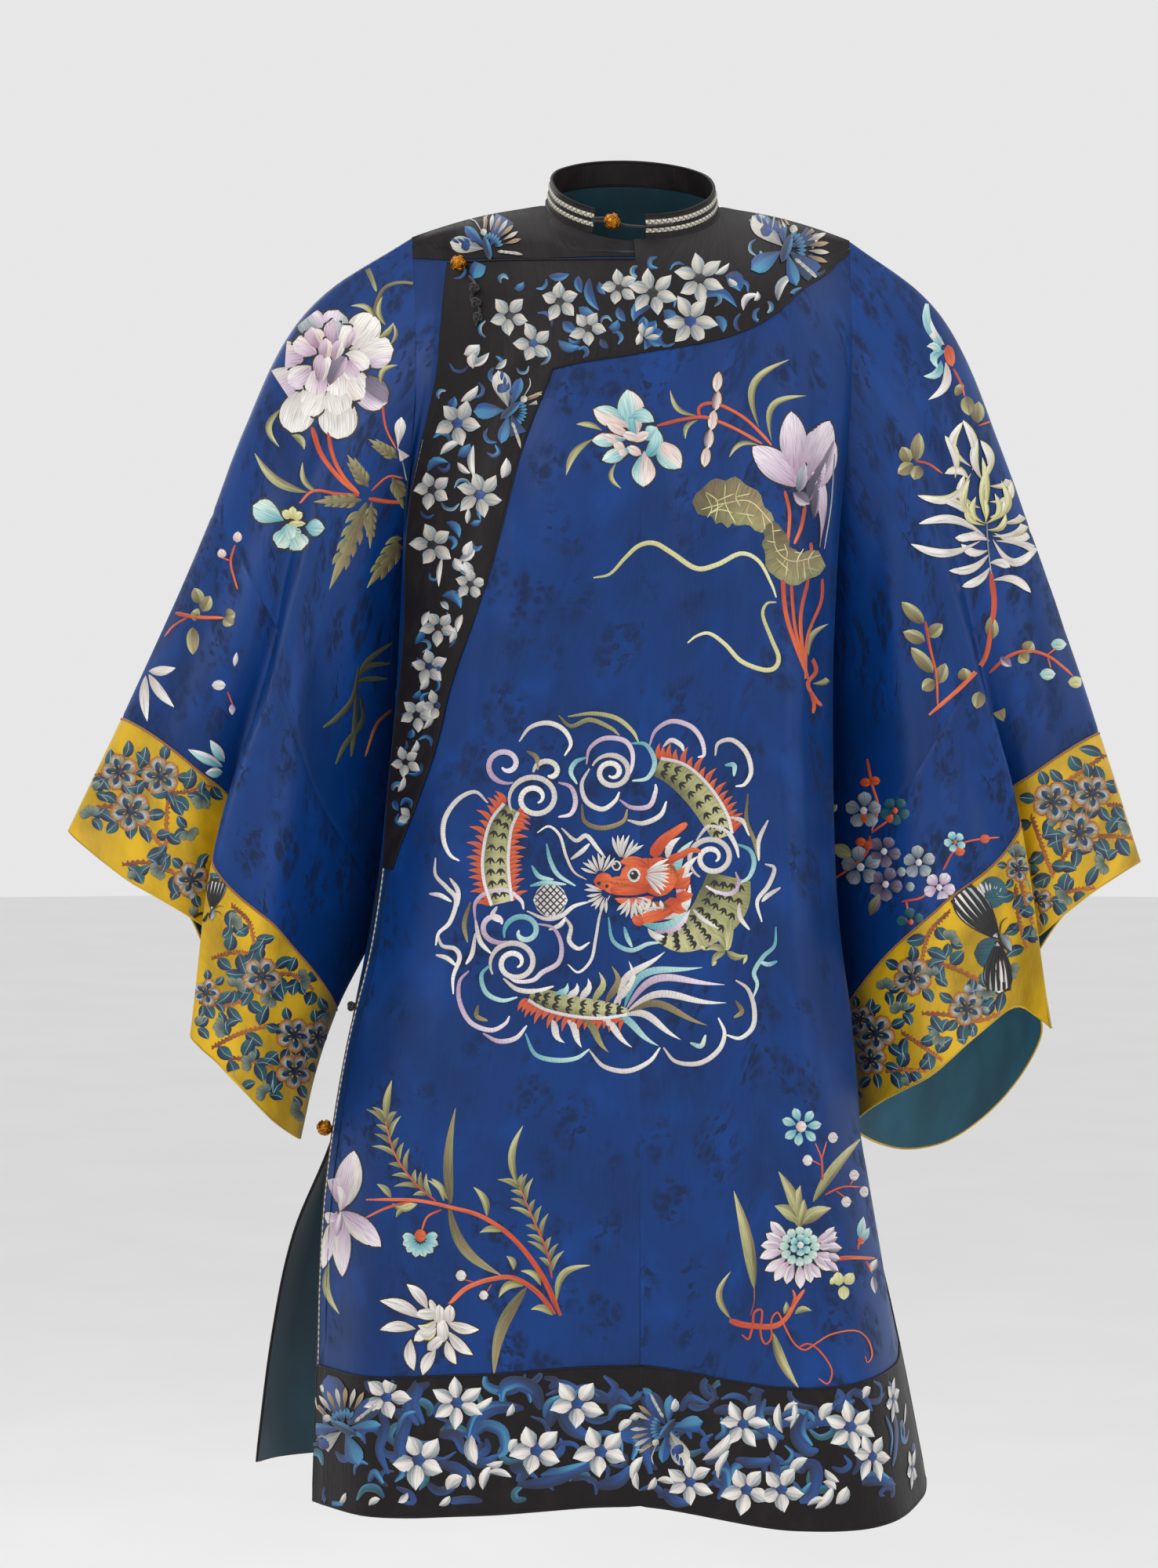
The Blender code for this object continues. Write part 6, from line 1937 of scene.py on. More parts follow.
def dragon_head(s):
    """Snarling head in profile: horned brow, blunt snout, open jaw, mane and whiskers."""
    s.level = 5
    for x, y, to_x, to_y, wide, tone, bow in (
        (868, 1130, 884, 1072, 12, "aqua", -0.2), (874, 1140, 890, 1092, 11, "white", -0.2),
        (872, 1152, 884, 1112, 11, "lilac", -0.25), (852, 1098, 868, 1068, 9, "white", -0.2),
        (818, 1178, 880, 1150, 12, "aqua", 0.25), (834, 1188, 880, 1160, 10, "lilac", 0.2),
        (846, 1172, 880, 1128, 12, "white", 0.2), (826, 1184, 852, 1194, 8, "white", 0.2),
    ):
        s.blade(x, y, to_x, to_y, wide, tone, bow=bow, along=False, high=0.4 * MM)
    s.level = 6
    s.stem([(832, 1092), (846, 1072), (862, 1060), (876, 1050)], 17, "orange", 0.45, high=0.6 * MM)
    s.stem([(848, 1100), (866, 1092), (880, 1084), (894, 1086)], 13, "orange", 0.4, high=0.6 * MM)
    for row in ((858, 1128, 880, 1118, 20), (862, 1140, 884, 1140, 18), (856, 1150, 876, 1162, 18),
                (846, 1120, 874, 1106, 20)):
        s.blade(*row, "orange", bow=0.15, widest=0.4, high=0.5 * MM)
    s.level = 5
    s.stem([(866, 1150), (848, 1162), (830, 1168), (814, 1176)], 24, "orange", 0.6, high=0.5 * MM)
    s.blade(822, 1178, 806, 1168, 15, "orange", blunt=0.5)
    s.level = 7
    s.blade(856, 1156, 812, 1164, 12, "rust", bow=0.08, high=0.4 * MM)
    s.blade(848, 1158, 818, 1166, 6, "blush", bow=0.12)
    s.level = 8
    s.disc(840, 1118, 25, "orange", 1.0, high=0.5 * MM)
    s.blade(850, 1112, 790, 1120, 42, "orange", blunt=0.42, widest=0.45, high=0.5 * MM, along=False)
    s.blade(836, 1128, 768, 1130, 26, "orange", blunt=0.4, widest=0.5, high=0.5 * MM)
    s.level = 9
    s.disc(770, 1124, 13, "orange", 0.85, high=0.5 * MM)
    s.disc(786, 1134, 9, "orange", 0.8, high=0.4 * MM)
    s.blade(834, 1144, 784, 1146, 12, "orange", bow=-0.12, blunt=0.6)
    s.blade(828, 1108, 790, 1100, 13, "orange", bow=0.14, blunt=0.5)
    for x, y, size in ((808, 1116, 9), (786, 1104, 6.5)):
        for s.level, off, grow, tone, high in ((13, 0, 1, "pearl", 0.2), (15, 0, 0.64, "ink", 0.2),
                                               (16, 2, 0.18, "pearl", 0.1)):
            s.disc(x - off, y - off, size * grow, tone, high=high * MM)
    s.level = 13
    for k in range(5):
        s.stem([(842 + k * 4, 1092 + k * 3), (848 + k * 4, 1100 + k * 4), (846 + k * 5, 1110 + k * 4)],
               1.8, "rust", high=0.2 * MM)
        s.stem([(778 + k * 7, 1124 + k), (784 + k * 7, 1128 + k), (790 + k * 7, 1126 + k)], 1.6, "rust",
               high=0.2 * MM)
    s.disc(764, 1126, 2.6, "ink", high=0.1 * MM)
    s.disc(774, 1130, 2.2, "ink", high=0.1 * MM)
    s.petals(820, 1114, 36, 9, "white", turn=-30, spread=80, wide=0.12, inner=0.15, blunt=0.9, high=0.4 * MM)
    s.level = 11
    s.petals(792, 1098, 33, 7, "white", turn=-110, spread=74, wide=0.13, inner=0.15, blunt=0.9)
    s.petals(766, 1116, 28, 8, "white", turn=-160, spread=110, wide=0.13, inner=0.2, blunt=0.9)
    s.petals(774, 1138, 28, 8, "white", turn=92, spread=110, wide=0.13, inner=0.25, blunt=0.9)
    s.petals(806, 1142, 28, 9, "white", turn=20, spread=116, wide=0.14, inner=0.25, blunt=0.9)
    for k in range(4):
        s.blade(818 + k * 9, 1166 - k * 2, 815 + k * 9, 1154 - k * 2, 5, "white")
        s.blade(802 + k * 9, 1146, 800 + k * 9, 1157, 5, "white")
    s.level = 6
    s.arc([(778, 1142), (766, 1164), (760, 1196), (754, 1224), (738, 1240), (724, 1230)], 4.2, "white")
    s.arc([(748, 1122), (732, 1112), (722, 1092), (714, 1066), (700, 1054), (685, 1062)], 4.0, "white")


def pearl(s):
    """Flaming pearl, latticed in ink, that the dragon chases."""
    s.level = 2
    s.disc(702, 1148, 22, "pearl", 0.98, high=0.3 * MM)
    s.level = 6
    for k in range(-3, 4):
        reach = math.sqrt(max(20**2 - (k * 6) ** 2, 0))
        for turn in (0.8, -0.8):
            ahead = np.array((math.cos(turn), math.sin(turn)))
            aside = np.array((-ahead[1], ahead[0])) * k * 6
            a, b = np.array((702, 1148)) + aside - ahead * reach, np.array((702,
                                                                            1148)) + aside + ahead * reach
            s.stem([a, (a + b) / 2, b], 1.7, "ink", 0.9, high=0.3 * MM)
    s.level = 2
    for tone, *points in (
        ("aqua", (697, 1076), (702, 1098), (712, 1116), (734, 1130)),
        ("aqua", (678, 1104), (688, 1118), (706, 1122)),
        ("aqua", (676, 1130), (696, 1126), (722, 1128)),
        ("white", (672, 1162), (696, 1172), (716, 1168), (732, 1156), (752, 1150)),
        ("white", (718, 1168), (728, 1182), (726, 1200), (738, 1210), (752, 1202)),
        ("white", (700, 1186), (714, 1180), (722, 1170)),
    ):
        s.arc(points, 6.0, tone)


def make_roundel(look):
    s = Stitches(FRONT, look.stitch)
    roundel(s)
    s.finish("front_roundel")


# ---------------------------------------------------------------- sleeves, bands and cuffs


def toothed(s, x, y, to_x, to_y, wide, tone="olive", half="leaf", teeth=4):
    """A leaf with a saw edge: side points laid along its rib."""
    s.blade(x, y, to_x, to_y, wide * 0.7, tone, half=half, widest=0.4)
    a, b = np.array((x, y), float), np.array((to_x, to_y), float)
    way = (b - a) / np.linalg.norm(b - a)
    beside = np.array((-way[1], way[0]))
    for k in range(teeth):
        root = a + (b - a) * (0.12 + 0.6 * k / teeth)
        for hand in (-1, 1):
            tip = root + way * wide * 0.9 + beside * hand * wide * (0.62 - 0.08 * k)
            s.blade(*root, *tip, wide * 0.34, half if hand > 0 else tone, bow=0.1 * hand, widest=0.4)


def peony_spray(s):
    """Large peony at the shoulder with grasses, saw-edged leaves and a blue bloom."""
    s.level = 0
    for points, wide in (
        ([(398, 545), (410, 580), (435, 612), (458, 630)], 7),
        ([(418, 545), (424, 580), (438, 608), (458, 630)], 6),
        ([(458, 632), (430, 630), (400, 626), (382, 642)], 4.5), ([(470, 636), (495, 640), (515, 641)], 6),
        ([(474, 626), (495, 608), (514, 610)], 3.5), ([(488, 515), (492, 545), (505, 572)], 3.5),
        ([(300, 695), (294, 715), (298, 735), (303, 752)], 3.5), ([(284, 712), (293, 715)], 2.5),
        ([(224, 782), (250, 787), (285, 788)], 5.5), ([(240, 787), (222, 798), (210, 812)], 3),
        ([(290, 882), (297, 900)], 2.5),
    ):
        s.stem(points, wide, "orange", 0.7)
    s.stem([(476, 430), (478, 395), (490, 368), (515, 360), (540, 368), (556, 388), (563, 415)], 6,
           "olive", 0.3)
    s.stem([(466, 338), (474, 355), (480, 372)], 8, "leaf", 0.5)
    for row in (
        (402, 405, 435, 367, 7, -0.25), (478, 410, 448, 390, 7, 0.25), (492, 415, 488, 378, 7, -0.2),
        (482, 432, 502, 412, 7, 0.1),
        (498, 440, 501, 412, 5, 0.2), (486, 492, 507, 466, 7, -0.3), (506, 498, 540, 545, 9, -0.2),
        (358, 522, 356, 570, 8, 0.3),
        (372, 555, 388, 573, 9, -0.2), (405, 628, 386, 590, 7, -0.2), (392, 628, 325, 578, 11, -0.14),
    ):
        s.blade(*row[:5], "lime", bow=row[5], half="olive")
    for row in (
        (470, 622, 443, 580, 15), (462, 638, 400, 640, 15), (468, 640, 420, 752, 24),
        (474, 640, 472, 700, 12),
        (500, 608, 524, 655, 15), (520, 678, 468, 750, 22), (508, 585, 470, 560, 13),
    ):
        toothed(s, *row)
    s.blade(507, 575, 512, 532, 14, "white", widest=0.7)
    s.blade(508, 572, 524, 598, 14, "blush", half="white", widest=0.6)
    s.stem([(510, 575), (516, 600), (522, 632)], 2.5, "grey")
    for x, y, to_x, to_y in ((284, 712, 282, 700), (302, 692, 304, 678)):
        s.blade(x, y, to_x, to_y, 11, "blush", blunt=0.6)
    for x, y, to_x, to_y in (
        (256, 770, 248, 750), (258, 780, 268, 760), (255, 786, 244, 782), (246, 800, 246, 835),
        (285, 788, 298, 796),
        (215, 800, 206, 826), (228, 775, 224, 765), (288, 786, 300, 782),
    ):
        s.blade(x, y, to_x, to_y, 16, "olive", half="lime", blunt=0.65)
    for x, y, to_x, to_y in ((190, 856, 224, 852), (190, 860, 222, 902), (186, 862, 188, 920),
                             (180, 866, 168, 912)):
        s.blade(x, y, to_x, to_y, 12, "white", bow=0.05)
    for x, y, to_x, to_y in ((284, 978, 240, 956), (286, 972, 268, 944), (284, 985, 262, 986)):
        s.blade(x, y, to_x, to_y, 13, "aqua", half="white")
    s.disc(279, 874, 9, "pearl", 0.7)
    s.blade(296, 898, 296, 912, 8, "lilac")
    s.blade(299, 850, 302, 832, 6, "white")
    for points in (
        [(455, 868), (470, 842), (500, 820)], [(455, 868), (470, 850), (498, 846)],
        [(452, 872), (470, 866), (494, 866)],
        [(458, 850), (450, 890), (430, 915), (412, 928)], [(455, 880), (452, 930), (448, 965)],
        [(460, 890), (462, 920), (440, 950), (428, 975)],
    ):
        s.arc(points, 7, "moss")
    s.stem([(500, 905), (480, 925), (466, 965)], 5, "rust", 0.6)
    s.level = 1
    s.gap = 2.1
    for level, rows in enumerate((
        ((398, 496, 372, 552, 44, "white", "white"), (425, 498, 430, 560, 50, "white", "white"),
         (388, 478, 340, 506, 44, "lilac", "white"),
         (390, 452, 350, 452, 38, "lilac", "blush"), (408, 436, 386, 398, 36, "grey", "lilac"),
         (426, 432, 432, 396, 34, "lilac", "grey"),
         (440, 446, 476, 400, 42, "white", "white"), (452, 460, 502, 446, 42, "white", "lilac"),
         (450, 478, 494, 514, 42, "dusk", "lilac")),
        ((440, 462, 464, 508, 38, "white", "blush"), (408, 480, 388, 530, 36, "white", "white"),
         (430, 482, 436, 532, 38, "white", "white"),
         (400, 468, 366, 488, 30, "lilac", "white"), (404, 452, 374, 438, 28, "lilac", "blush"),
         (440, 452, 470, 470, 30, "white", "lilac")),
        ((416, 464, 402, 506, 32, "rose", "white"), (426, 466, 430, 508, 32, "white", "white"),
         (434, 456, 456, 484, 28, "rose", "white"),
         (410, 446, 398, 418, 26, "rose", "blush"), (424, 446, 424, 408, 26, "rose", "grey"),
         (436, 448, 448, 416, 26, "white", "rose")),
        ((406, 490, 412, 450, 24, "rose", "white"), (420, 492, 442, 456, 24, "dusk", "rose"),
         (412, 462, 416, 432, 20, "rose", "blush"),
         (426, 462, 436, 434, 18, "rose", "white")),
    )):
        s.level = 1 + 2 * level
        for k, row in enumerate(rows):
            s.blade(*row[:6], half=row[6], widest=0.60, blunt=0.5, bow=0.06 * (-1) ** k)
    s.level = 1
    s.blade(362, 664, 323, 645, 30, "aqua", half="mint", widest=0.65, blunt=0.6)
    s.blade(390, 672, 414, 674, 22, "aqua", widest=0.5, blunt=0.8)
    for row in ((370, 675, 354, 698, 26), (374, 678, 384, 702, 28), (366, 668, 372, 690, 30)):
        s.blade(*row, "mint", half="aqua", widest=0.6, blunt=0.5)
    s.level = 2
    for row in ((372, 660, 360, 652, 12), (372, 662, 374, 646, 12), (374, 662, 386, 654, 12),
                (368, 668, 390, 668, 8)):
        s.blade(*row, "cream", blunt=0.6)
    s.gap = 0.0


def chrysanthemum_spray(s):
    """White spider chrysanthemum with leafy twigs, a half bloom above and plum below."""
    s.level = 0
    for points, wide in (
        ([(1264, 730), (1268, 770), (1264, 800), (1256, 840), (1230, 872), (1185, 912)], 7.5),
        ([(1262, 858), (1285, 838), (1310, 830), (1335, 836), (1355, 850), (1368, 862)], 4.5),
        ([(1335, 836), (1348, 826)], 2.5), ([(1336, 838), (1340, 852)], 2.5),
        ([(1180, 792), (1186, 825), (1194, 860), (1196, 900)], 4),
        ([(1216, 470), (1226, 490), (1230, 505)], 3.5),
        ([(1248, 543), (1268, 536)], 3), ([(1168, 588), (1185, 592), (1202, 604)], 3.5),
        ([(1235, 880), (1255, 878), (1270, 890)], 3),
        ([(1106, 968), (1112, 1000), (1120, 1030), (1112, 1060)], 4),
        ([(1110, 1066), (1104, 1090), (1080, 1110), (1062, 1122)], 4), ([(1112, 1062), (1135, 1045)], 3.5),
        ([(1150, 1150), (1175, 1145), (1192, 1130)], 3.5), ([(1156, 1150), (1158, 1162)], 3.5),
        ([(1203, 1110), (1215, 1088), (1230, 1075), (1252, 1070), (1275, 1068)], 3),
    ):
        s.stem(points, wide, "orange", 0.7)
    for x, y, to_x, to_y in (
        (1228, 500, 1218, 494), (1232, 505, 1236, 530), (1246, 540, 1248, 512), (1262, 540, 1276, 564),
        (1168, 588, 1172, 552),
        (1160, 590, 1150, 570), (1165, 592, 1145, 604), (1172, 594, 1166, 612), (1178, 795, 1150, 768),
        (1184, 812, 1202, 796),
        (1180, 818, 1152, 806), (1190, 858, 1162, 826), (1196, 872, 1206, 846), (1192, 868, 1176, 880),
        (1266, 815, 1264, 786),
        (1248, 848, 1246, 818), (1246, 880, 1268, 862), (1250, 882, 1246, 904), (1266, 888, 1280, 920),
        (1232, 868, 1228, 852),
        (1308, 832, 1316, 818), (1300, 834, 1312, 844),
    ):
        s.blade(x, y, to_x, to_y, 17, "olive", half="lime", blunt=0.65)
    for x, y in ((1350, 822), (1336, 860), (1372, 870)):
        s.disc(x, y, 10, "mint" if x < 1360 else "cream", 0.72)
    s.blade(1276, 838, 1290, 850, 12, "dusk", half="lilac")
    s.level = 1
    for x, y, to_x, to_y, bow, tone in (
        (1200, 440, 1184, 378, -0.1, "aqua"), (1204, 440, 1186, 405, -0.1, "white"),
        (1198, 446, 1186, 424, 0.1, "aqua"),
        (1198, 452, 1182, 442, 0.2, "mint"), (1200, 460, 1178, 480, -0.2, "aqua"),
        (1206, 462, 1184, 510, -0.15, "white"),
        (1206, 448, 1196, 470, 0.3, "aqua"),
    ):
        s.blade(x, y, to_x, to_y, 11, tone, bow=bow * 1.5)
    s.level = 2
    s.blade(1208, 440, 1214, 468, 13, "orange", blunt=0.5)
    petals = (
        (1238, 595, 1228, 538, -0.25), (1252, 612, 1246, 560, -0.1), (1258, 610, 1250, 562, 0.14),
        (1240, 600, 1228, 536, 0.1),
        (1218, 610, 1205, 556, 0.1), (1238, 604, 1170, 632, -0.2), (1236, 612, 1205, 604, 0.2),
        (1262, 620, 1290, 596, 0.25),
        (1266, 616, 1284, 580, 0.3), (1250, 648, 1230, 606, -0.25), (1262, 640, 1288, 612, 0.28),
        (1246, 668, 1196, 636, 0.1),
        (1248, 676, 1218, 686, -0.1), (1256, 684, 1172, 668, 0.12), (1250, 690, 1162, 694, -0.12),
        (1262, 690, 1224, 688, 0.1),
        (1260, 702, 1226, 694, -0.16), (1262, 706, 1210, 728, -0.12), (1264, 722, 1226, 748, -0.1),
        (1262, 718, 1288, 724, -0.1),
        (1266, 740, 1314, 756, -0.14), (1266, 688, 1326, 694, 0.34), (1270, 690, 1340, 746, -0.18),
        (1266, 684, 1308, 640, 0.26),
        (1268, 680, 1320, 676, 0.16), (1274, 668, 1302, 628, 0.3), (1262, 660, 1280, 640, 0.2),
    )
    s.gap = 0.5
    for k, (x, y, to_x, to_y, bow) in enumerate(petals):
        s.level = 2 + k % 3
        s.blade(x, y, to_x, to_y, 10.5, "white", bow=bow * 1.3, widest=0.6, blunt=0.7,
                half="cream" if to_y < 650 else "white")
    s.level = 6
    for row in (
        (1256, 668, 1236, 612, 9, -0.3), (1258, 668, 1276, 614, 9, 0.32),
        (1256, 660, 1252, 584, 8, 0.05), (1257, 664, 1262, 590, 8, -0.1),
        (1256, 668, 1244, 634, 8, -0.3), (1257, 668, 1268, 630, 8, 0.3), (1258, 676, 1282, 656, 8, 0.3),
        (1256, 670, 1234, 640, 8, -0.3),
        (1256, 668, 1254, 636, 6, 0.1),
    ):
        s.blade(*row[:5], "cream", bow=row[5], widest=0.6, half="lime")
    s.gap = 0.0
    s.stem([(1258, 665), (1260, 700), (1264, 732)], 2.5, "grey")
    plum_cluster(s)


def plum_cluster(s):
    """Plum blossoms with berries and two pale leaves at the sleeve's end."""
    s.level = 2
    for x, y, size, tone in (
        (1102, 1034, 24, "grey"), (1142, 1034, 19, "teal"), (1098, 1106, 26, "grey"),
        (1128, 1086, 21, "dusk"), (1130, 1128, 22, "dusk"),
        (1172, 1100, 21, "grey"), (1198, 1132, 20, "lilac"), (1162, 1176, 18, "teal"),
        (1218, 1074, 14, "aqua"),
    ):
        s.petals(x, y, size, 5, tone, turn=x % 70, wide=0.72, inner=0.2, blunt=0.5, widest=0.6)
        s.disc(x, y, size * 0.2, "orange" if tone in ("teal", "aqua") else "pearl")
    for x, y in ((1150, 1112), (1161, 1131)):
        s.disc(x, y, 6, "grey")
    for x, y in ((1104, 998), (1116, 996), (1098, 1074), (1108, 1078), (1256, 1070), (1136, 1044),
                 (1224, 1086), (1103, 1044)):
        s.disc(x, y, 7, "orange", 0.8)
    s.blade(1086, 1092, 1062, 1078, 18, "cream", half="lime")
    s.blade(1110, 1168, 1122, 1140, 14, "leaf", half="dusk")
    for y in (1120, 1158):
        s.blade(1066, y, 1064 + (y > 1150) * 6, y + 40, 12, "cream", half="lime", bow=0.1)
    s.blade(1060, 1036, 1068, 1026, 8, "cream")


def make_sleeve_sprays(look):
    for hand, spray in (("right", peony_spray), ("left", chrysanthemum_spray)):
        cloth = (f"sleeve_{hand}_silk", f"sleeve_end_{hand}_silk")
        s = Stitches(cloth, look.stitch)
        spray(s)
        s.finish(f"sleeve_sprays_{hand}")


def star(s, x, y, size, turn=0.0, count=5, heart="blue", tone="white", half="grey"):
    """Pointed bloom in two shades round a dark heart."""
    s.petals(x, y, size * 1.16, count, tone, turn=turn, wide=3.05 / count, inner=0.04, widest=0.52,
             blunt=1.15, half=half,
             uneven=0.09)
    s.level += 1
    s.disc(x, y, size * 0.30, heart)
    s.level -= 1


def butterfly(s, x, y, scale, turn):
    """Butterfly in two blues with grey and banded wings."""
    s.put((0, 0), (x, y), scale, turn=turn)
    level = s.level
    for row in (
        (4, -2, 46, -34, 24, "blue", "navy"), (4, 2, 40, 24, 20, "blue", "navy"),
        (-4, -2, -38, -26, 20, "linen", "grey"),
        (-4, 3, -30, 26, 18, "sky", "blue"), (2, 4, 16, 34, 12, "sky", "blue"),
        (-2, -4, -14, -36, 12, "blue", "sky"),
    ):
        s.blade(*row[:5], row[5], half=row[6], widest=0.66, blunt=0.6)
    s.level += 3
    for k in range(7):
        a = math.radians(-70 + k * 13)
        tone = "linen" if k % 2 else "sand"
        s.blade(22 * math.cos(a), 22 * math.sin(a), 42 * math.cos(a), 42 * math.sin(a), 4.4, tone, widest=0.6)
        s.blade(10 * math.cos(a), 10 * math.sin(a), 20 * math.cos(a), 20 * math.sin(a), 3, "sky", widest=0.6)
    for k in range(4):
        s.blade(10 + k * 4, 8 + k * 2, 18 + k * 6, 12 + k * 4, 3.4, "linen")
        s.blade(-10 - k * 6, -14 - k * 2, -14 - k * 7, -20 - k * 3, 3.4, "blue")
    s.disc(-22, -14, 6, "blue")
    s.blade(-2, 14, 3, -16, 9, "navy", half="sky", blunt=0.6)
    s.disc(4, -20, 4, "linen")
    s.stem([(5, -22), (12, -34), (20, -38)], 2, "linen")
    s.stem([(2, -22), (0, -36), (-6, -42)], 2, "linen")
    s.level = level
    s.stay()


YOKE_STARS = (
    (650, 403, 22, 20, 5, "ink"), (714, 385, 22, 50, 5, "ink"), (680, 438, 22, 36, 5, "blue"),
    (750, 419, 21, 10, 5, "ink"),
    (790, 368, 20, 40, 5, "ink"), (832, 374, 27, 15, 6, "ink"), (892, 356, 28, 20, 6, "ink"),
    (880, 410, 29, 5, 6, "blue"),
    (584, 540, 26, 10, 5, "blue"), (552, 625, 22, 30, 5, "ink"), (612, 631, 27, 15, 6, "blue"),
    (552, 695, 24, 40, 5, "ink"),
    (560, 800, 20, 20, 5, "ink"), (548, 850, 20, 50, 5, "navy"), (532, 912, 19, 10, 5, "ink"),
    (558, 900, 17, 40, 5, "navy"),
    (518, 972, 17, 30, 5, "ink"), (524, 1042, 15, 10, 5, "navy"), (600, 745, 18, 60, 5, "ink"),
)
YOKE_BLADES = (
    (700, 352, 726, 350, 8, "blue", 0.1), (738, 352, 742, 374, 8, "blue", 0.1),
    (752, 355, 764, 396, 9, "blue", 0.15),
    (764, 360, 772, 376, 7, "sky", 0.1), (738, 392, 758, 400, 9, "sky", 0.1),
    (718, 410, 736, 422, 10, "blue", 0.1),
    (712, 434, 740, 442, 9, "sky", 0.2), (766, 432, 776, 444, 8, "navy", 0.1),
    (788, 392, 798, 410, 8, "blue", 0.1),
    (776, 418, 788, 408, 9, "sky", 0.3), (656, 368, 668, 360, 7, "sky", 0.2),
    (830, 392, 808, 410, 12, "blue", 0.3),
    (846, 396, 852, 418, 12, "sky", -0.3), (824, 412, 828, 430, 16, "white", 0.1),
    (812, 440, 816, 424, 8, "white", 0.1),
    (888, 382, 940, 392, 9, "blue", -0.28), (912, 404, 922, 424, 9, "sky", -0.2),
    (912, 350, 930, 336, 7, "white", 0.1),
    (925, 352, 944, 372, 16, "blue", -0.2), (928, 354, 946, 364, 11, "white", 0.1),
    (948, 396, 968, 376, 8, "white", -0.3),
    (962, 384, 966, 372, 6, "white", 0.2), (992, 384, 1014, 350, 10, "grey", -0.2),
    (1022, 368, 1030, 354, 10, "blue", 0.2),
    (958, 262, 978, 290, 12, "white", 0.2), (964, 274, 980, 262, 12, "grey", 0.2),
    (1034, 324, 1046, 340, 9, "blue", 0.2),
    (1036, 318, 1052, 300, 9, "grey", -0.3), (592, 452, 612, 440, 16, "white", 0.1),
    (600, 466, 624, 450, 9, "grey", 0.1),
    (604, 470, 606, 446, 12, "white", -0.1), (632, 470, 646, 458, 7, "grey", 0.1),
    (572, 522, 580, 506, 9, "blue", 0.1),
    (588, 512, 610, 492, 10, "white", 0.1), (562, 580, 590, 562, 9, "white", -0.1),
    (584, 582, 600, 566, 10, "sky", 0.1),
    (604, 568, 606, 610, 8, "white", 0.1), (584, 590, 600, 604, 7, "white", 0.1),
    (546, 602, 572, 590, 8, "sky", -0.3),
    (640, 610, 646, 584, 12, "white", 0.1), (596, 668, 598, 648, 6, "white", 0.0),
    (570, 666, 586, 686, 8, "sky", -0.2),
    (600, 668, 614, 664, 6, "sky", 0.1), (564, 712, 560, 748, 6, "white", 0.05),
    (580, 712, 592, 728, 12, "white", 0.1),
    (594, 712, 602, 690, 14, "white", 0.0), (586, 714, 606, 700, 10, "grey", 0.1),
    (598, 735, 592, 716, 12, "white", 0.1),
    (564, 760, 588, 776, 10, "sky", -0.3), (562, 768, 572, 778, 7, "grey", -0.1),
    (548, 780, 540, 800, 8, "white", 0.1),
    (590, 784, 584, 806, 8, "white", 0.1), (530, 822, 540, 800, 7, "sky", 0.1),
    (574, 820, 580, 800, 8, "white", 0.1),
    (536, 880, 546, 862, 8, "white", 0.1), (540, 930, 548, 902, 7, "white", 0.2),
    (526, 890, 536, 880, 6, "sky", 0.2),
    (520, 940, 526, 930, 7, "blue", 0.2), (524, 960, 532, 944, 7, "white", 0.2),
    (508, 1010, 516, 990, 7, "white", 0.1),
    (512, 1070, 516, 1054, 7, "white", 0.1), (504, 1020, 508, 1034, 6, "blue", 0.1),
    (570, 838, 560, 866, 6, "blue", 0.2),
)


YOKE_FILL = (
    (640, 352), (694, 366), (700, 402), (732, 438), (748, 446), (772, 404), (792, 428), (806, 452),
    (846, 440), (858, 378),
    (806, 346), (828, 336), (862, 336), (918, 378), (938, 412), (950, 360), (962, 404), (984, 392),
    (1010, 376), (1040, 350),
    (970, 330), (956, 316), (640, 404), (612, 420), (640, 462), (584, 474), (560, 500), (616, 500),
    (620, 560), (566, 552),
    (590, 612), (574, 650), (544, 660), (580, 690), (552, 740), (584, 756), (572, 790), (548, 822),
    (578, 812), (534, 848),
    (560, 874), (538, 892), (522, 916), (546, 940), (516, 956), (534, 986), (506, 1000), (520, 1020),
    (508, 1050), (526, 1064),
    (612, 650), (606, 700), (590, 730), (568, 600), (634, 580), (626, 482), (668, 476), (700, 456),
    (566, 350), (592, 350),
)


STEPS_ALONG, HEM_MIDDLE = (-1, -0.4, 0.3, 1), 800


def strewn(pick, shortest, longest):
    """Direction, bend and length of a strip, left to chance."""
    angle = pick.uniform(0, 2 * math.pi)
    bend = pick.choice((-1, 1)) * pick.uniform(0.5, 1.0)
    return angle, bend, pick.uniform(shortest, longest)


def swelling(wide, count, start=0.06, late=0.8):
    """Half widths of a strip that swells towards its middle; late below 1 brings that forward."""
    return [wide / 2 * math.sin(math.pi * (start + 0.9 * t**late)) ** 0.7 for t in np.linspace(0, 1, count)]


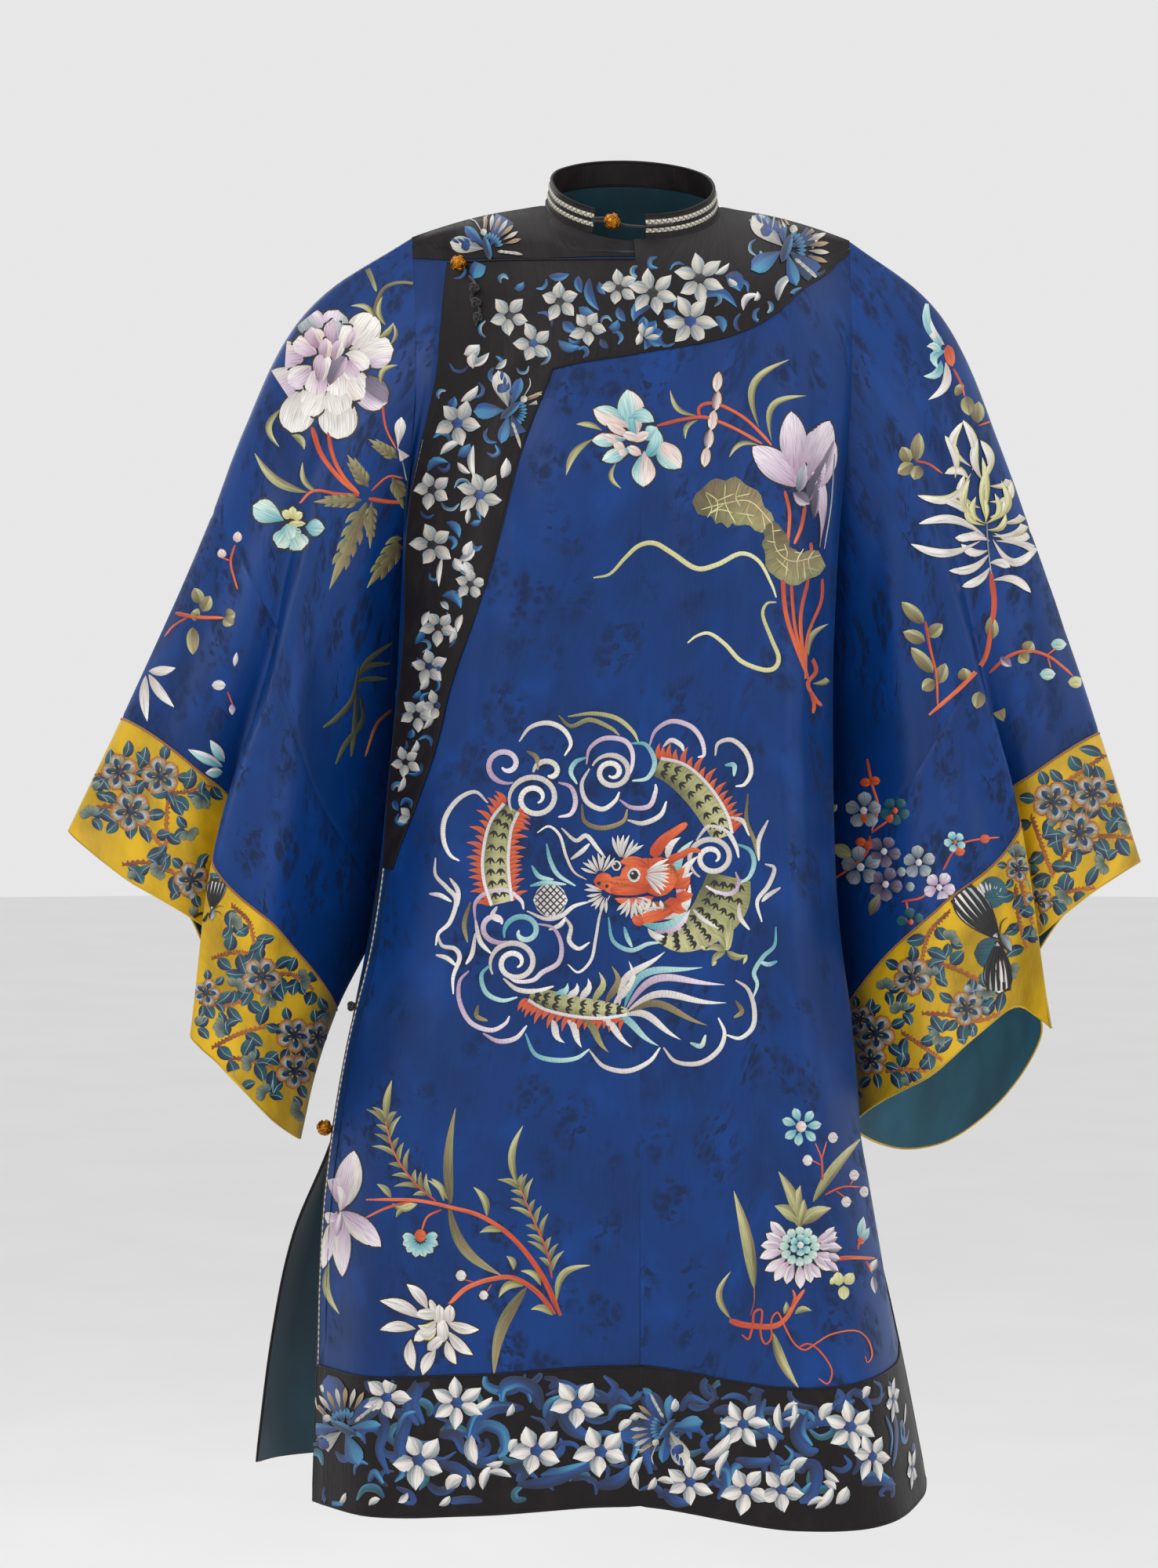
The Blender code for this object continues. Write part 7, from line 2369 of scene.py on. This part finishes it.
def band_flowers(s, stars, blades, fill=()):
    """Stars, loose petals and curved blue leaves; fill is where smaller leaves are strewn between."""
    pick = random.Random(23)
    s.level = 0
    for x, y in fill:
        angle, bend, long = strewn(pick, 9, 15)
        line = smooth([
            (x + long * step * math.cos(angle + bend * step), y + long * step * math.sin(angle + bend * step))
            for step in STEPS_ALONG
        ], 12)
        wide = pick.uniform(4, 7)
        tone, half = pick.choice((("blue", "navy"), ("sky", "blue"), ("blue", "sky"), ("sky", "grey")))
        s.ribbon(line, swelling(wide, 12, late=1.0), tone, half=half)
    s.level = 1
    for x, y, to_x, to_y, wide, tone, bow in blades:
        other = {"blue": "sky", "sky": "blue", "white": "grey", "grey": "white"}.get(tone, "blue")
        grow = 1.35 if tone in ("blue", "sky") else 1.1
        s.blade(x, y, to_x, to_y, wide * grow, tone, bow=bow, half=other, widest=0.45)
    s.level = 3
    for x, y, size, turn, count, heart in stars:
        star(s, x, y, size, turn, count, heart, "linen")


def make_band_flowers(look):
    cloth = ("yoke_left_satin", "yoke_overlap_satin", "yoke_right_satin")
    s = Stitches(cloth, look.stitch * 0.8)
    band_flowers(s, YOKE_STARS, YOKE_BLADES, YOKE_FILL)
    s.level = 4
    s.petals(820, 430, 27, 5, "blue", turn=-90, spread=150, wide=0.5, inner=0.1, half="sky", blunt=0.9)
    s.level = 6
    s.petals(820, 432, 21, 3, "linen", turn=-90, spread=84, wide=0.5, inner=0.1, half="sky", blunt=0.8)
    s.level = 4
    butterfly(s, 1002, 318, 1.3, 10)
    butterfly(s, 622, 318, 1.05, -24)
    butterfly(s, 650, 524, 1.15, 40)
    butterfly(s, 990, 268, 0.62, 70)
    s.finish("yoke_flowers")
    cloth = ("hem_band_left_satin", "hem_band_overlap_satin")
    s = Stitches(cloth, look.stitch * 0.8)
    hem_flowers(s)
    s.finish("hem_flowers")


HEM_STARS = (
    (493, 1782, 26, 80, 5, "blue"), (583, 1789, 29, 30, 6, "blue"), (534, 1862, 31, 100, 5, "blue"),
    (736, 1790, 29, 20, 5, "blue"),
    (684, 1850, 30, 30, 5, "blue"), (766, 1851, 30, 25, 5, "blue"), (880, 1890, 27, 30, 6, "blue"),
    (948, 1816, 27, 60, 6, "blue"),
    (952, 1900, 27, 25, 5, "blue"), (997, 1900, 26, 80, 5, "blue"), (1084, 1820, 30, 20, 6, "blue"),
    (1112, 1858, 28, 65, 6, "blue"),
    (1138, 1784, 25, 40, 6, "blue"), (1162, 1872, 23, 90, 5, "blue"),
)
HEM_SWIRLS = (
    ("blue", 15, (548, 1764), (526, 1776), (520, 1800), (534, 1818)),
    ("blue", 18, (560, 1770), (536, 1766), (528, 1790), (540, 1816)),
    ("blue", 18, (668, 1796), (630, 1796), (604, 1816), (600, 1852)),
    ("sky", 10, (660, 1792), (628, 1792), (606, 1806), (596, 1840)),
    ("blue", 20, (690, 1798), (680, 1772), (650, 1764), (634, 1778)),
    ("sky", 10, (684, 1780), (664, 1766), (644, 1772), (640, 1786)),
    ("sky", 16, (606, 1830), (620, 1818), (640, 1826), (644, 1848), (636, 1858)),
    ("blue", 14, (596, 1862), (616, 1866), (636, 1856)),
    ("blue", 18, (500, 1800), (516, 1810), (510, 1850), (524, 1890)),
    ("sky", 9, (506, 1830), (516, 1806), (532, 1800)),
    ("blue", 16, (560, 1868), (580, 1872), (596, 1884), (590, 1896)),
    ("navy", 16, (560, 1830), (580, 1830), (592, 1850)),
    ("blue", 18, (700, 1820), (706, 1796), (724, 1780)), ("sky", 10, (694, 1808), (700, 1790), (716, 1780)),
    ("blue", 20, (712, 1800), (730, 1822), (756, 1836)), ("sky", 12, (690, 1882), (720, 1876), (748, 1866)),
    ("blue", 16, (660, 1894), (700, 1890), (744, 1872), (760, 1868)),
    ("blue", 14, (780, 1800), (790, 1778), (806, 1790)),
    ("sky", 10, (776, 1812), (786, 1796), (806, 1796)), ("blue", 18, (760, 1896), (790, 1888), (804, 1870)),
    ("blue", 20, (818, 1776), (830, 1800), (822, 1840), (830, 1880)),
    ("sky", 12, (806, 1786), (824, 1776), (836, 1790)),
    ("blue", 16, (900, 1866), (918, 1862), (926, 1890), (916, 1912)),
    ("sky", 10, (908, 1880), (926, 1876), (930, 1906)),
    ("blue", 16, (910, 1800), (930, 1800), (936, 1824), (920, 1840)),
    ("sky", 9, (912, 1836), (924, 1826), (920, 1808)),
    ("blue", 14, (938, 1862), (960, 1866), (990, 1862)),
    ("blue", 18, (968, 1770), (962, 1800), (976, 1826), (1000, 1834)),
    ("sky", 9, (976, 1784), (970, 1806), (982, 1822)),
    ("blue", 18, (1022, 1800), (1016, 1830), (1030, 1850), (1044, 1850)),
    ("sky", 9, (1030, 1800), (1024, 1826), (1036, 1844)),
    ("blue", 18, (1020, 1866), (1040, 1872), (1036, 1906), (1020, 1916)),
    ("sky", 10, (1012, 1890), (1022, 1904), (1036, 1890)),
    ("blue", 14, (1040, 1780), (1062, 1776), (1072, 1784), (1056, 1800)),
    ("blue", 14, (1090, 1892), (1120, 1888), (1150, 1894)),
    ("sky", 10, (1094, 1884), (1120, 1880), (1140, 1886)),
    ("blue", 16, (1130, 1800), (1146, 1820), (1144, 1850), (1132, 1870)),
    ("sky", 9, (1120, 1806), (1140, 1830), (1136, 1856)),
    ("blue", 12, (1080, 1776), (1100, 1780), (1116, 1800)),
    ("blue", 12, (868, 1800), (880, 1784), (902, 1790)),
    ("blue", 16, (846, 1900), (860, 1914), (880, 1918)),
    ("blue", 14, (484, 1800), (492, 1820), (484, 1850), (496, 1880)),
    ("sky", 12, (786, 1836), (800, 1830), (812, 1842), (806, 1862)),
    ("blue", 14, (984, 1852), (990, 1880), (984, 1910)),
    ("blue", 14, (700, 1770), (716, 1766), (740, 1772)), ("navy", 18, (650, 1870), (668, 1876), (660, 1890)),
    ("sky", 10, (470, 1890), (478, 1878), (490, 1892)),
    ("blue", 12, (1060, 1790), (1074, 1796), (1090, 1786)),
)
HEM_BUDS = (
    (600, 1798, 628, 1782, 11), (570, 1900, 590, 1884, 18), (646, 1806, 654, 1790, 9),
    (650, 1852, 660, 1836, 12),
    (602, 1830, 608, 1868, 17), (616, 1900, 626, 1870, 12), (620, 1868, 642, 1864, 9),
    (622, 1878, 652, 1884, 9),
    (600, 1900, 596, 1880, 12), (790, 1826, 806, 1812, 12), (802, 1810, 816, 1800, 9),
    (806, 1888, 820, 1858, 12),
    (826, 1900, 836, 1884, 9), (838, 1888, 860, 1892, 9), (896, 1862, 934, 1826, 15),
    (916, 1886, 930, 1850, 11),
    (986, 1850, 980, 1828, 10), (998, 1828, 994, 1790, 10), (1008, 1822, 1012, 1786, 8),
    (1000, 1800, 1018, 1790, 7),
    (1000, 1810, 1020, 1804, 7), (1008, 1880, 1030, 1860, 13), (1036, 1782, 1052, 1770, 16),
    (1048, 1812, 1062, 1790, 15),
    (1040, 1924, 1062, 1896, 12), (1050, 1890, 1066, 1900, 10), (1052, 1874, 1070, 1890, 10),
    (1030, 1920, 1054, 1912, 8),
    (1066, 1918, 1080, 1896, 15), (1098, 1784, 1112, 1770, 13), (1148, 1818, 1158, 1790, 8),
    (406, 1768, 416, 1776, 9),
    (852, 1800, 862, 1784, 15), (814, 1900, 812, 1876, 9), (1080, 1768, 1070, 1744, 12),
    (1112, 1750, 1126, 1732, 12),
    (1150, 1762, 1156, 1738, 12), (1172, 1776, 1180, 1752, 11), (1160, 1812, 1176, 1796, 10),
    (1140, 1742, 1132, 1728, 10),
    (430, 1916, 446, 1904, 10), (470, 1920, 486, 1912, 9), (560, 1920, 574, 1908, 9),
    (520, 1904, 508, 1916, 9),
)


def hem_flowers(s):
    """Border of white stars and buds over crowded blue leaves, with two butterflies."""
    pick = random.Random(17)
    s.level = 0
    for k in range(112):
        x, y = 400 + 14.2 * (k // 2), 1772 + 62 * (k % 2) + pick.uniform(-12, 70)
        y += (HEM_MIDDLE - x) * (0.05 if k % 2 == (x < HEM_MIDDLE) else 0)
        angle, bend, long = strewn(pick, 20, 32)
        points = []
        top, low = 1752 - max(x - HEM_MIDDLE, 0) * 0.07, 1908 + max(HEM_MIDDLE - x, 0) * 0.03
        for step in STEPS_ALONG:
            turn = angle + bend * step
            points.append((x + long * step * math.cos(turn),
                           min(max(y + long * 0.8 * step * math.sin(turn), top), low)))
        tone, half = pick.choice((("blue", "navy"), ("blue", "blue"), ("sky", "blue"), ("navy", "blue"),
                                  ("teal", "sky")))
        line = smooth(points, 14)
        wide = pick.uniform(7, 12)
        s.turned(x, y)
        s.ribbon(line, swelling(wide, 14), tone, half=half)
        s.stay()
    for tone, wide, *points in HEM_SWIRLS:
        s.level = 3 if tone == "sky" else 2
        line = smooth(points, 18)
        s.turned(*line.mean(axis=0))
        s.ribbon(line, swelling(wide, 18, 0.05), tone, half={"blue": "navy", "sky": "blue"}.get(tone, "blue"))
        s.stay()
    for k, row in enumerate(HEM_BUDS):
        s.level = 4
        s.turned((row[0] + row[2]) / 2, (row[1] + row[3]) / 2)
        s.blade(*row, "white", half="grey", bow=0.12 * (-1) ** k, widest=0.5, blunt=0.75)
        s.stay()
    s.level = 5
    for row in HEM_STARS:
        s.turned(row[0], row[1])
        star(s, *row)
        s.stay()
    s.level = 4
    butterfly(s, 440, 1822, 1.25, -70)
    butterfly(s, 852, 1822, 1.15, -150)


Blossom = namedtuple("Blossom", "x y size")
CUFF_BLOSSOMS = {
    "right": (
        Blossom(153, 985, 21), Blossom(205, 990, 22), Blossom(167, 1035, 23), Blossom(244, 1122, 20),
        Blossom(333, 1245, 22),
        Blossom(263, 1266, 16), Blossom(374, 1320, 20), Blossom(374, 1366, 20), Blossom(404, 1322, 18),
    ),
    "left": (
        Blossom(1342, 1022, 23), Blossom(1392, 1012, 21), Blossom(1376, 1062, 23), Blossom(1299, 1108, 15),
        Blossom(1324, 1148, 16), Blossom(1164, 1246, 22), Blossom(1232, 1286, 20),
        Blossom(1118, 1318, 22), Blossom(1112, 1352, 18),
        Blossom(1098, 1300, 16),
    ),
}
CUFF_BRANCHES = {
    "right": (
        [(222, 1000), (214, 1030), (212, 1085)], [(118, 990), (150, 984), (196, 982)],
        [(214, 1012), (245, 1008), (270, 1000)],
        [(106, 1036), (140, 1028), (168, 1040), (192, 1062), (212, 1086)],
        [(156, 1102), (190, 1100), (235, 1118), (262, 1118)],
        [(296, 1154), (318, 1176), (326, 1212)], [(270, 1222), (300, 1214), (326, 1218)],
        [(254, 1278), (285, 1282), (318, 1274)],
        [(270, 1336), (305, 1318), (348, 1306)], [(284, 1348), (320, 1352), (350, 1362)],
        [(352, 1242), (376, 1244), (400, 1262)],
        [(392, 1400), (400, 1370), (410, 1340)],
    ),
    "left": (
        [(1316, 1040), (1330, 1080), (1344, 1118)], [(1344, 1112), (1360, 1088), (1372, 1070)],
        [(1414, 960), (1386, 980), (1356, 1000)],
        [(1412, 1026), (1440, 1028), (1450, 1034)], [(1396, 1066), (1420, 1066), (1456, 1070)],
        [(1336, 1150), (1366, 1136), (1398, 1132)],
        [(1296, 1070), (1304, 1130), (1318, 1180)], [(1212, 1162), (1186, 1190), (1176, 1226)],
        [(1176, 1226), (1210, 1232), (1250, 1250), (1282, 1262)],
        [(1176, 1292), (1210, 1294), (1244, 1302), (1282, 1290)],
        [(1150, 1316), (1180, 1336), (1202, 1352)], [(1130, 1366), (1156, 1364), (1182, 1366)],
        [(1296, 1130), (1300, 1170), (1310, 1210)],
    ),
}


CUFF_BUDS = {
    "right": (
        (116, 1042, 200), (258, 1018, 60), (205, 1108, 90), (296, 1178, 270), (286, 1310, 120),
        (382, 1250, 300), (322, 1356, 150),
        (120, 1010, 180), (240, 1058, 20), (176, 1120, 100), (250, 1170, 200), (300, 1260, 250),
        (340, 1396, 160), (384, 1416, 110),
        (250, 1310, 190), (306, 1390, 120), (346, 1270, 90), (420, 1290, 20),
    ),
    "left": (
        (1430, 1000, 330), (1440, 1052, 60), (1350, 1050, 180), (1410, 1100, 100), (1330, 1190, 120),
        (1296, 1090, 230),
        (1210, 1200, 250), (1258, 1262, 40), (1150, 1290, 200), (1200, 1320, 80), (1240, 1330, 60),
        (1160, 1386, 120),
        (1096, 1390, 100), (1190, 1246, 180), (1360, 1140, 80), (1266, 1320, 30), (1130, 1262, 220),
        (1286, 1236, 350),
    ),
}


def shaded_leaf(s, x, y, angle, long, wide, bow):
    """Cuff leaf, navy on one side of its pale rib and grey-blue on the other."""
    way = np.array((math.cos(angle), math.sin(angle)))
    root, tip = np.array((x, y)) + way * 3, np.array((x, y)) + way * long
    s.level = 1
    s.blade(*root, *tip, wide, "teal", half="navy", bow=bow, blunt=0.72)
    s.level = 3
    s.stem([root, (root + tip) / 2 + np.array((-way[1], way[0])) * bow * long, tip], 1.5, "grey", 0.6)


def cuff_flowers(s, hand):
    """Plum branches couched in brown, outlined blossoms and half-shaded leaves on the yellow cuff."""
    pick = random.Random(hand)
    for points in CUFF_BRANCHES[hand]:
        s.level = 0
        line = smooth(points, 40)
        for aside in (-2.4, 2.4):
            twist = [(x + aside * math.sin(k * 1.2), y + aside * math.cos(k * 1.2)) for k,
                     (x, y) in enumerate(line)]
            s.stem(twist, 3.8, "rust", 0.85)
        for turn, k in enumerate((4, 13, 22, 31, 38)):
            angle = math.atan2(*(line[min(k + 1, 39)] - line[k - 1])[::-1])
            angle += (-1) ** turn * pick.uniform(0.8, 1.5)
            shaded_leaf(s, *line[k], angle, pick.uniform(22, 34), pick.uniform(13, 18),
                        pick.uniform(-0.15, 0.15))
        if len(points) > 3:
            x, y = line[25] + np.array((pick.uniform(-14, 14), pick.choice((-16, 16))))
            s.level = 2
            s.petals(x, y, 14, 3, "grey", turn=pick.uniform(0, 120), wide=0.95, inner=0.1, blunt=0.5,
                     half="teal")
    for x, y, turn in CUFF_BUDS[hand]:
        s.level = 2
        s.petals(x, y, 15, 3, "sage", turn=turn, spread=110, wide=0.8, inner=0.1, blunt=0.5)
        shaded_leaf(s, x, y, math.radians(turn + 130), 20, 11, 0.1)
        shaded_leaf(s, x, y, math.radians(turn + 215), 22, 12, -0.1)
    for x, y, size in CUFF_BLOSSOMS[hand]:
        turn = pick.uniform(0, 72)
        for k in range(5):
            angle = math.radians(turn + 36 + 72 * k + pick.uniform(-14, 14))
            out = np.array((math.cos(angle), math.sin(angle))) * size * 0.8
            shaded_leaf(s, x + out[0], y + out[1], angle, size * pick.uniform(1.0, 1.35), size * 0.62,
                        pick.uniform(-0.15, 0.15))
        for level, grow, tone, half, wide in (
            (3, 1.16, "rust", None, 0.86), (5, 1.06, "sand", None, 0.80),
            (7, 0.96, "grey", "sand", 0.70), (9, 0.84, "navy", "teal", 0.52),
        ):
            s.level = level
            s.petals(x, y, size * grow, 5, tone, turn=turn, wide=wide, inner=0.16, blunt=0.48,
                     uneven=0.02, half=half)
        s.level = 11
        s.disc(x, y, size * 0.2, "navy")
        s.petals(x, y, size * 0.45, 8, "gold", turn=turn, wide=0.12, inner=0.5)


def moth(s, x, y, scale, turn):
    """Striped moth with black and white wings."""
    s.put((0, 0), (x, y), scale, turn=turn)
    s.level = 5
    s.gap = 1.6
    for root, tip, wide in (((0, 0), (-62, -58), 44), ((0, 6), (12, 76), 38)):
        s.level = 5
        s.blade(*root, *tip, wide, "pearl", half="grey", widest=0.66, blunt=0.5)
        s.level = 9
        for k in range(-2, 3):
            a, b = np.array(root, float), np.array(tip, float)
            beside = np.array((-(b - a)[1], (b - a)[0])) / np.linalg.norm(b - a)
            s.blade(*(a + (b - a) * 0.1 + beside * k * 1.5),
                    *(a + (b - a) * 0.93 + beside * k * wide * 0.19), 3.4, "ink", bow=0.04 * k)
    s.gap = 0.0
    s.level = 8
    s.blade(2, -6, 22, 16, 15, "grey", half="ink", blunt=0.6)
    s.stem([(2, -6), (2, -22), (10, -30)], 2.2, "ink")
    s.stem([(6, -4), (16, -14), (26, -14)], 2.2, "ink")
    s.stay()


def make_cuff_flowers(look):
    for hand in ("left", "right"):
        cloth = (f"cuff_{hand}_silk",)
        s = Stitches(cloth, look.stitch * 0.8)
        cuff_flowers(s, hand)
        if hand == "left":
            s.level = 2
            s.disc(1266, 1138, 20, "teal", 1.0)
            s.disc(1262, 1216, 20, "teal", 1.0)
            s.petals(1262, 1150, 26, 7, "pearl", turn=-130, spread=80, wide=0.2, inner=0.3)
            moth(s, 1272, 1196, 0.92, 8)
        else:
            moth(s, 270, 1160, 0.5, 60)
        s.finish(f"cuff_flowers_{hand}")


# ---------------------------------------------------------------- the back


def make_back_sprays(look):
    """Sprays and a second roundel on the back, drawn from the same flowers in other places."""
    cloth = ("back_silk",)
    s = Stitches(cloth, look.stitch, behind=True)
    for spray, middle, to, scale, mirrored, turn in (
        (lotus_spray, (960, 640), (520, 600), 0.92, True, 4),
        (aster_spray, (1030, 1600), (880, 1560), 0.95, False, -6),
        (magnolia_spray, (560, 1560), (520, 1570), 0.90, False, 3),
        (aster_spray, (1030, 1600), (880, 620), 0.9, True, 160),
    ):
        s.put(middle, to, scale, mirrored, turn)
        spray(s)
        s.stay()
    s.finish("back_sprays")
    s = Stitches(cloth, look.stitch, behind=True)
    s.put((775, 1150), (705, 1110), 1.0, True, 4)
    roundel(s)
    s.stay()
    s.finish("back_roundel")


def make_back_sleeve_sprays(look):
    for hand, spray, middle, to, mirrored in (
        ("left", peony_spray, (420, 600), (318, 640), False),
        ("right", chrysanthemum_spray, (1240, 640), (1080, 650), False),
    ):
        cloth = (f"sleeve_{hand}_silk", f"sleeve_end_{hand}_silk")
        s = Stitches(cloth, look.stitch, behind=True)
        s.put(middle, to, 0.96, mirrored, -3)
        spray(s)
        s.stay()
        s.finish(f"back_sleeve_sprays_{hand}")


def make_back_band_flowers(look):
    """Flowers of the back's yoke, its hem band and the backs of the cuffs."""
    s = Stitches(("yoke_back_satin",), look.stitch * 0.8, behind=True)
    pick = random.Random(31)
    for k in range(11):
        x, y = 705 + (k - 5) * 52, 352 - 1.2 * (k - 5) ** 2 + 18 * (k % 2)
        s.level = 0
        for turn in (200, 330, 60):
            a = math.radians(turn + pick.uniform(-25, 25))
            root = np.array((x + 24 * math.cos(a), y + 24 * math.sin(a)))
            tip = root + np.array((math.cos(a + 0.7), math.sin(a + 0.7))) * pick.uniform(22, 34)
            s.blade(*root, *tip, pick.uniform(8, 13), "blue", half="sky", bow=pick.uniform(-0.3, 0.3))
        s.level = 2
        star(s, x, y, pick.uniform(22, 27), pick.uniform(0, 70), pick.choice((5, 6)))
    s.finish("back_yoke_flowers")
    s = Stitches(("hem_band_back_satin",), look.stitch * 0.8, behind=True)
    s.put((800, 1845), (700, 1790), 1.0, True, 0)
    hem_flowers(s)
    s.stay()
    s.finish("back_hem_flowers")
    for hand, middle, to in (("left", (250, 1160), (205, 1235)), ("right", (1270, 1160), (1245, 1255))):
        s = Stitches((f"cuff_{hand}_silk",), look.stitch * 0.8, behind=True)
        s.put(middle, to)
        cuff_flowers(s, "right" if hand == "left" else "left")
        s.stay()
        s.finish(f"back_cuff_flowers_{hand}")


# ---------------------------------------------------------------- add-on


def colour(name, words, value):
    return FloatVectorProperty(name=name, description=words, default=rgb(*value), subtype="COLOR",
                               min=0, max=1)


class RobeLook(bpy.types.PropertyGroup):
    cloth: FloatProperty(
        name="Cloth", description="Thickness of the silk with its lining", default=CLOTH, min=0.0005,
        unit="LENGTH")
    satin_lift: FloatProperty(
        name="Satin", description="Height of the satin bands over the silk", default=0.8 * MM, unit="LENGTH")
    stitch: FloatProperty(
        name="Stitches", description="Height of the satin stitch at its middle", default=0.55 * MM,
        unit="LENGTH")
    silk: colour("Silk", "Ground of the damask", (1, 46, 105))
    figure: colour("Figure", "Flowers woven in the damask", (2, 24, 58))
    satin: colour("Satin", "Bands, bindings and cords", (18, 13, 14))
    cuff: colour("Cuffs", "Silk of the cuffs", (186, 148, 10))
    lining: colour("Lining", "Silk inside the sleeves", (22, 74, 92))
    braid: colour("Braid", "Braid of the collar and lapel", (196, 190, 172))
    piping: colour("Piping", "Cord at the cuffs' seams", (150, 96, 34))
    gilt: colour("Gilt", "Ball buttons", (214, 140, 44))


class RobeStage(bpy.types.PropertyGroup):
    world: FloatProperty(name="Room light", description="Strength of the even light", default=0.80, min=0)
    key: FloatProperty(name="Key light", description="Power of the main lamp", default=38, min=0,
                       subtype="POWER")
    floor: FloatProperty(name="Floor", description="Radius of the floor", default=14, min=1, unit="LENGTH")


def step(label, name, make, words, group="robe_look"):
    """An operator that makes one group of like pieces."""
    def execute(self, context):
        make(getattr(context.scene, group))
        return {"FINISHED"}

    parts = {"bl_idname": "robe." + name, "bl_label": label, "__doc__": words, "execute": execute}
    return type("ROBE_OT_" + name, (bpy.types.Operator,), parts)


STEPS = (
    step("Stage", "stage", make_stage, "Floor, lights and camera", "robe_stage"),
    step("Panels", "panels", make_panels, "Fronts, overlap and back of blue damask"),
    step("Satin bands", "bands", make_satin_bands, "Yokes, lapel border and hem borders"),
    step("Sleeves", "sleeves", make_sleeves, "Sleeves with their extensions and cuffs"),
    step("Trims", "trims", make_trims, "Piping, bindings and braid"),
    step("Collar", "collar", make_collar, "Stand collar and its braid"),
    step("Fastenings", "fastenings", make_fastenings, "Ball buttons, loops and knots"),
    step("Front sprays", "front_sprays", make_front_sprays, "Flower sprays of the fronts"),
    step("Roundel", "roundel", make_roundel, "Dragon roundel of the front"),
    step("Sleeve sprays", "sleeve_sprays", make_sleeve_sprays, "Flower sprays of the sleeves"),
    step("Band flowers", "band_flowers", make_band_flowers, "Flowers of the yoke, lapel and hem"),
    step("Cuff flowers", "cuff_flowers", make_cuff_flowers, "Plum branches and moths of the cuffs"),
    step("Back sprays", "back_sprays", make_back_sprays, "Sprays and roundel of the back"),
    step("Back of the sleeves", "back_sleeves", make_back_sleeve_sprays, "Sprays on the sleeves' backs"),
    step("Back bands", "back_bands", make_back_band_flowers, "Flowers of the back's bands and cuffs"),
)


class ROBE_PT_pieces(bpy.types.Panel):
    """Lists the robe's pieces, sizes and colours."""

    bl_label = "Robe"
    bl_space_type = "VIEW_3D"
    bl_region_type = "UI"
    bl_category = "Robe"

    def draw(self, context):
        for made in STEPS:
            self.layout.operator(made.bl_idname)
        for group in (context.scene.robe_look, context.scene.robe_stage):
            for key in group.bl_rna.properties.keys():
                if key not in ("rna_type", "name"):
                    self.layout.prop(group, key)


CLASSES = (RobeLook, RobeStage, *STEPS, ROBE_PT_pieces)


def register():
    for item in CLASSES:
        bpy.utils.register_class(item)
    bpy.types.Scene.robe_look = PointerProperty(type=RobeLook)
    bpy.types.Scene.robe_stage = PointerProperty(type=RobeStage)


def unregister():
    del bpy.types.Scene.robe_look
    del bpy.types.Scene.robe_stage
    for item in reversed(CLASSES):
        bpy.utils.unregister_class(item)


def main():
    register()
    for made in STEPS:
        getattr(bpy.ops.robe, made.bl_idname.split(".")[1])()


if __name__ == "__main__":
    main()
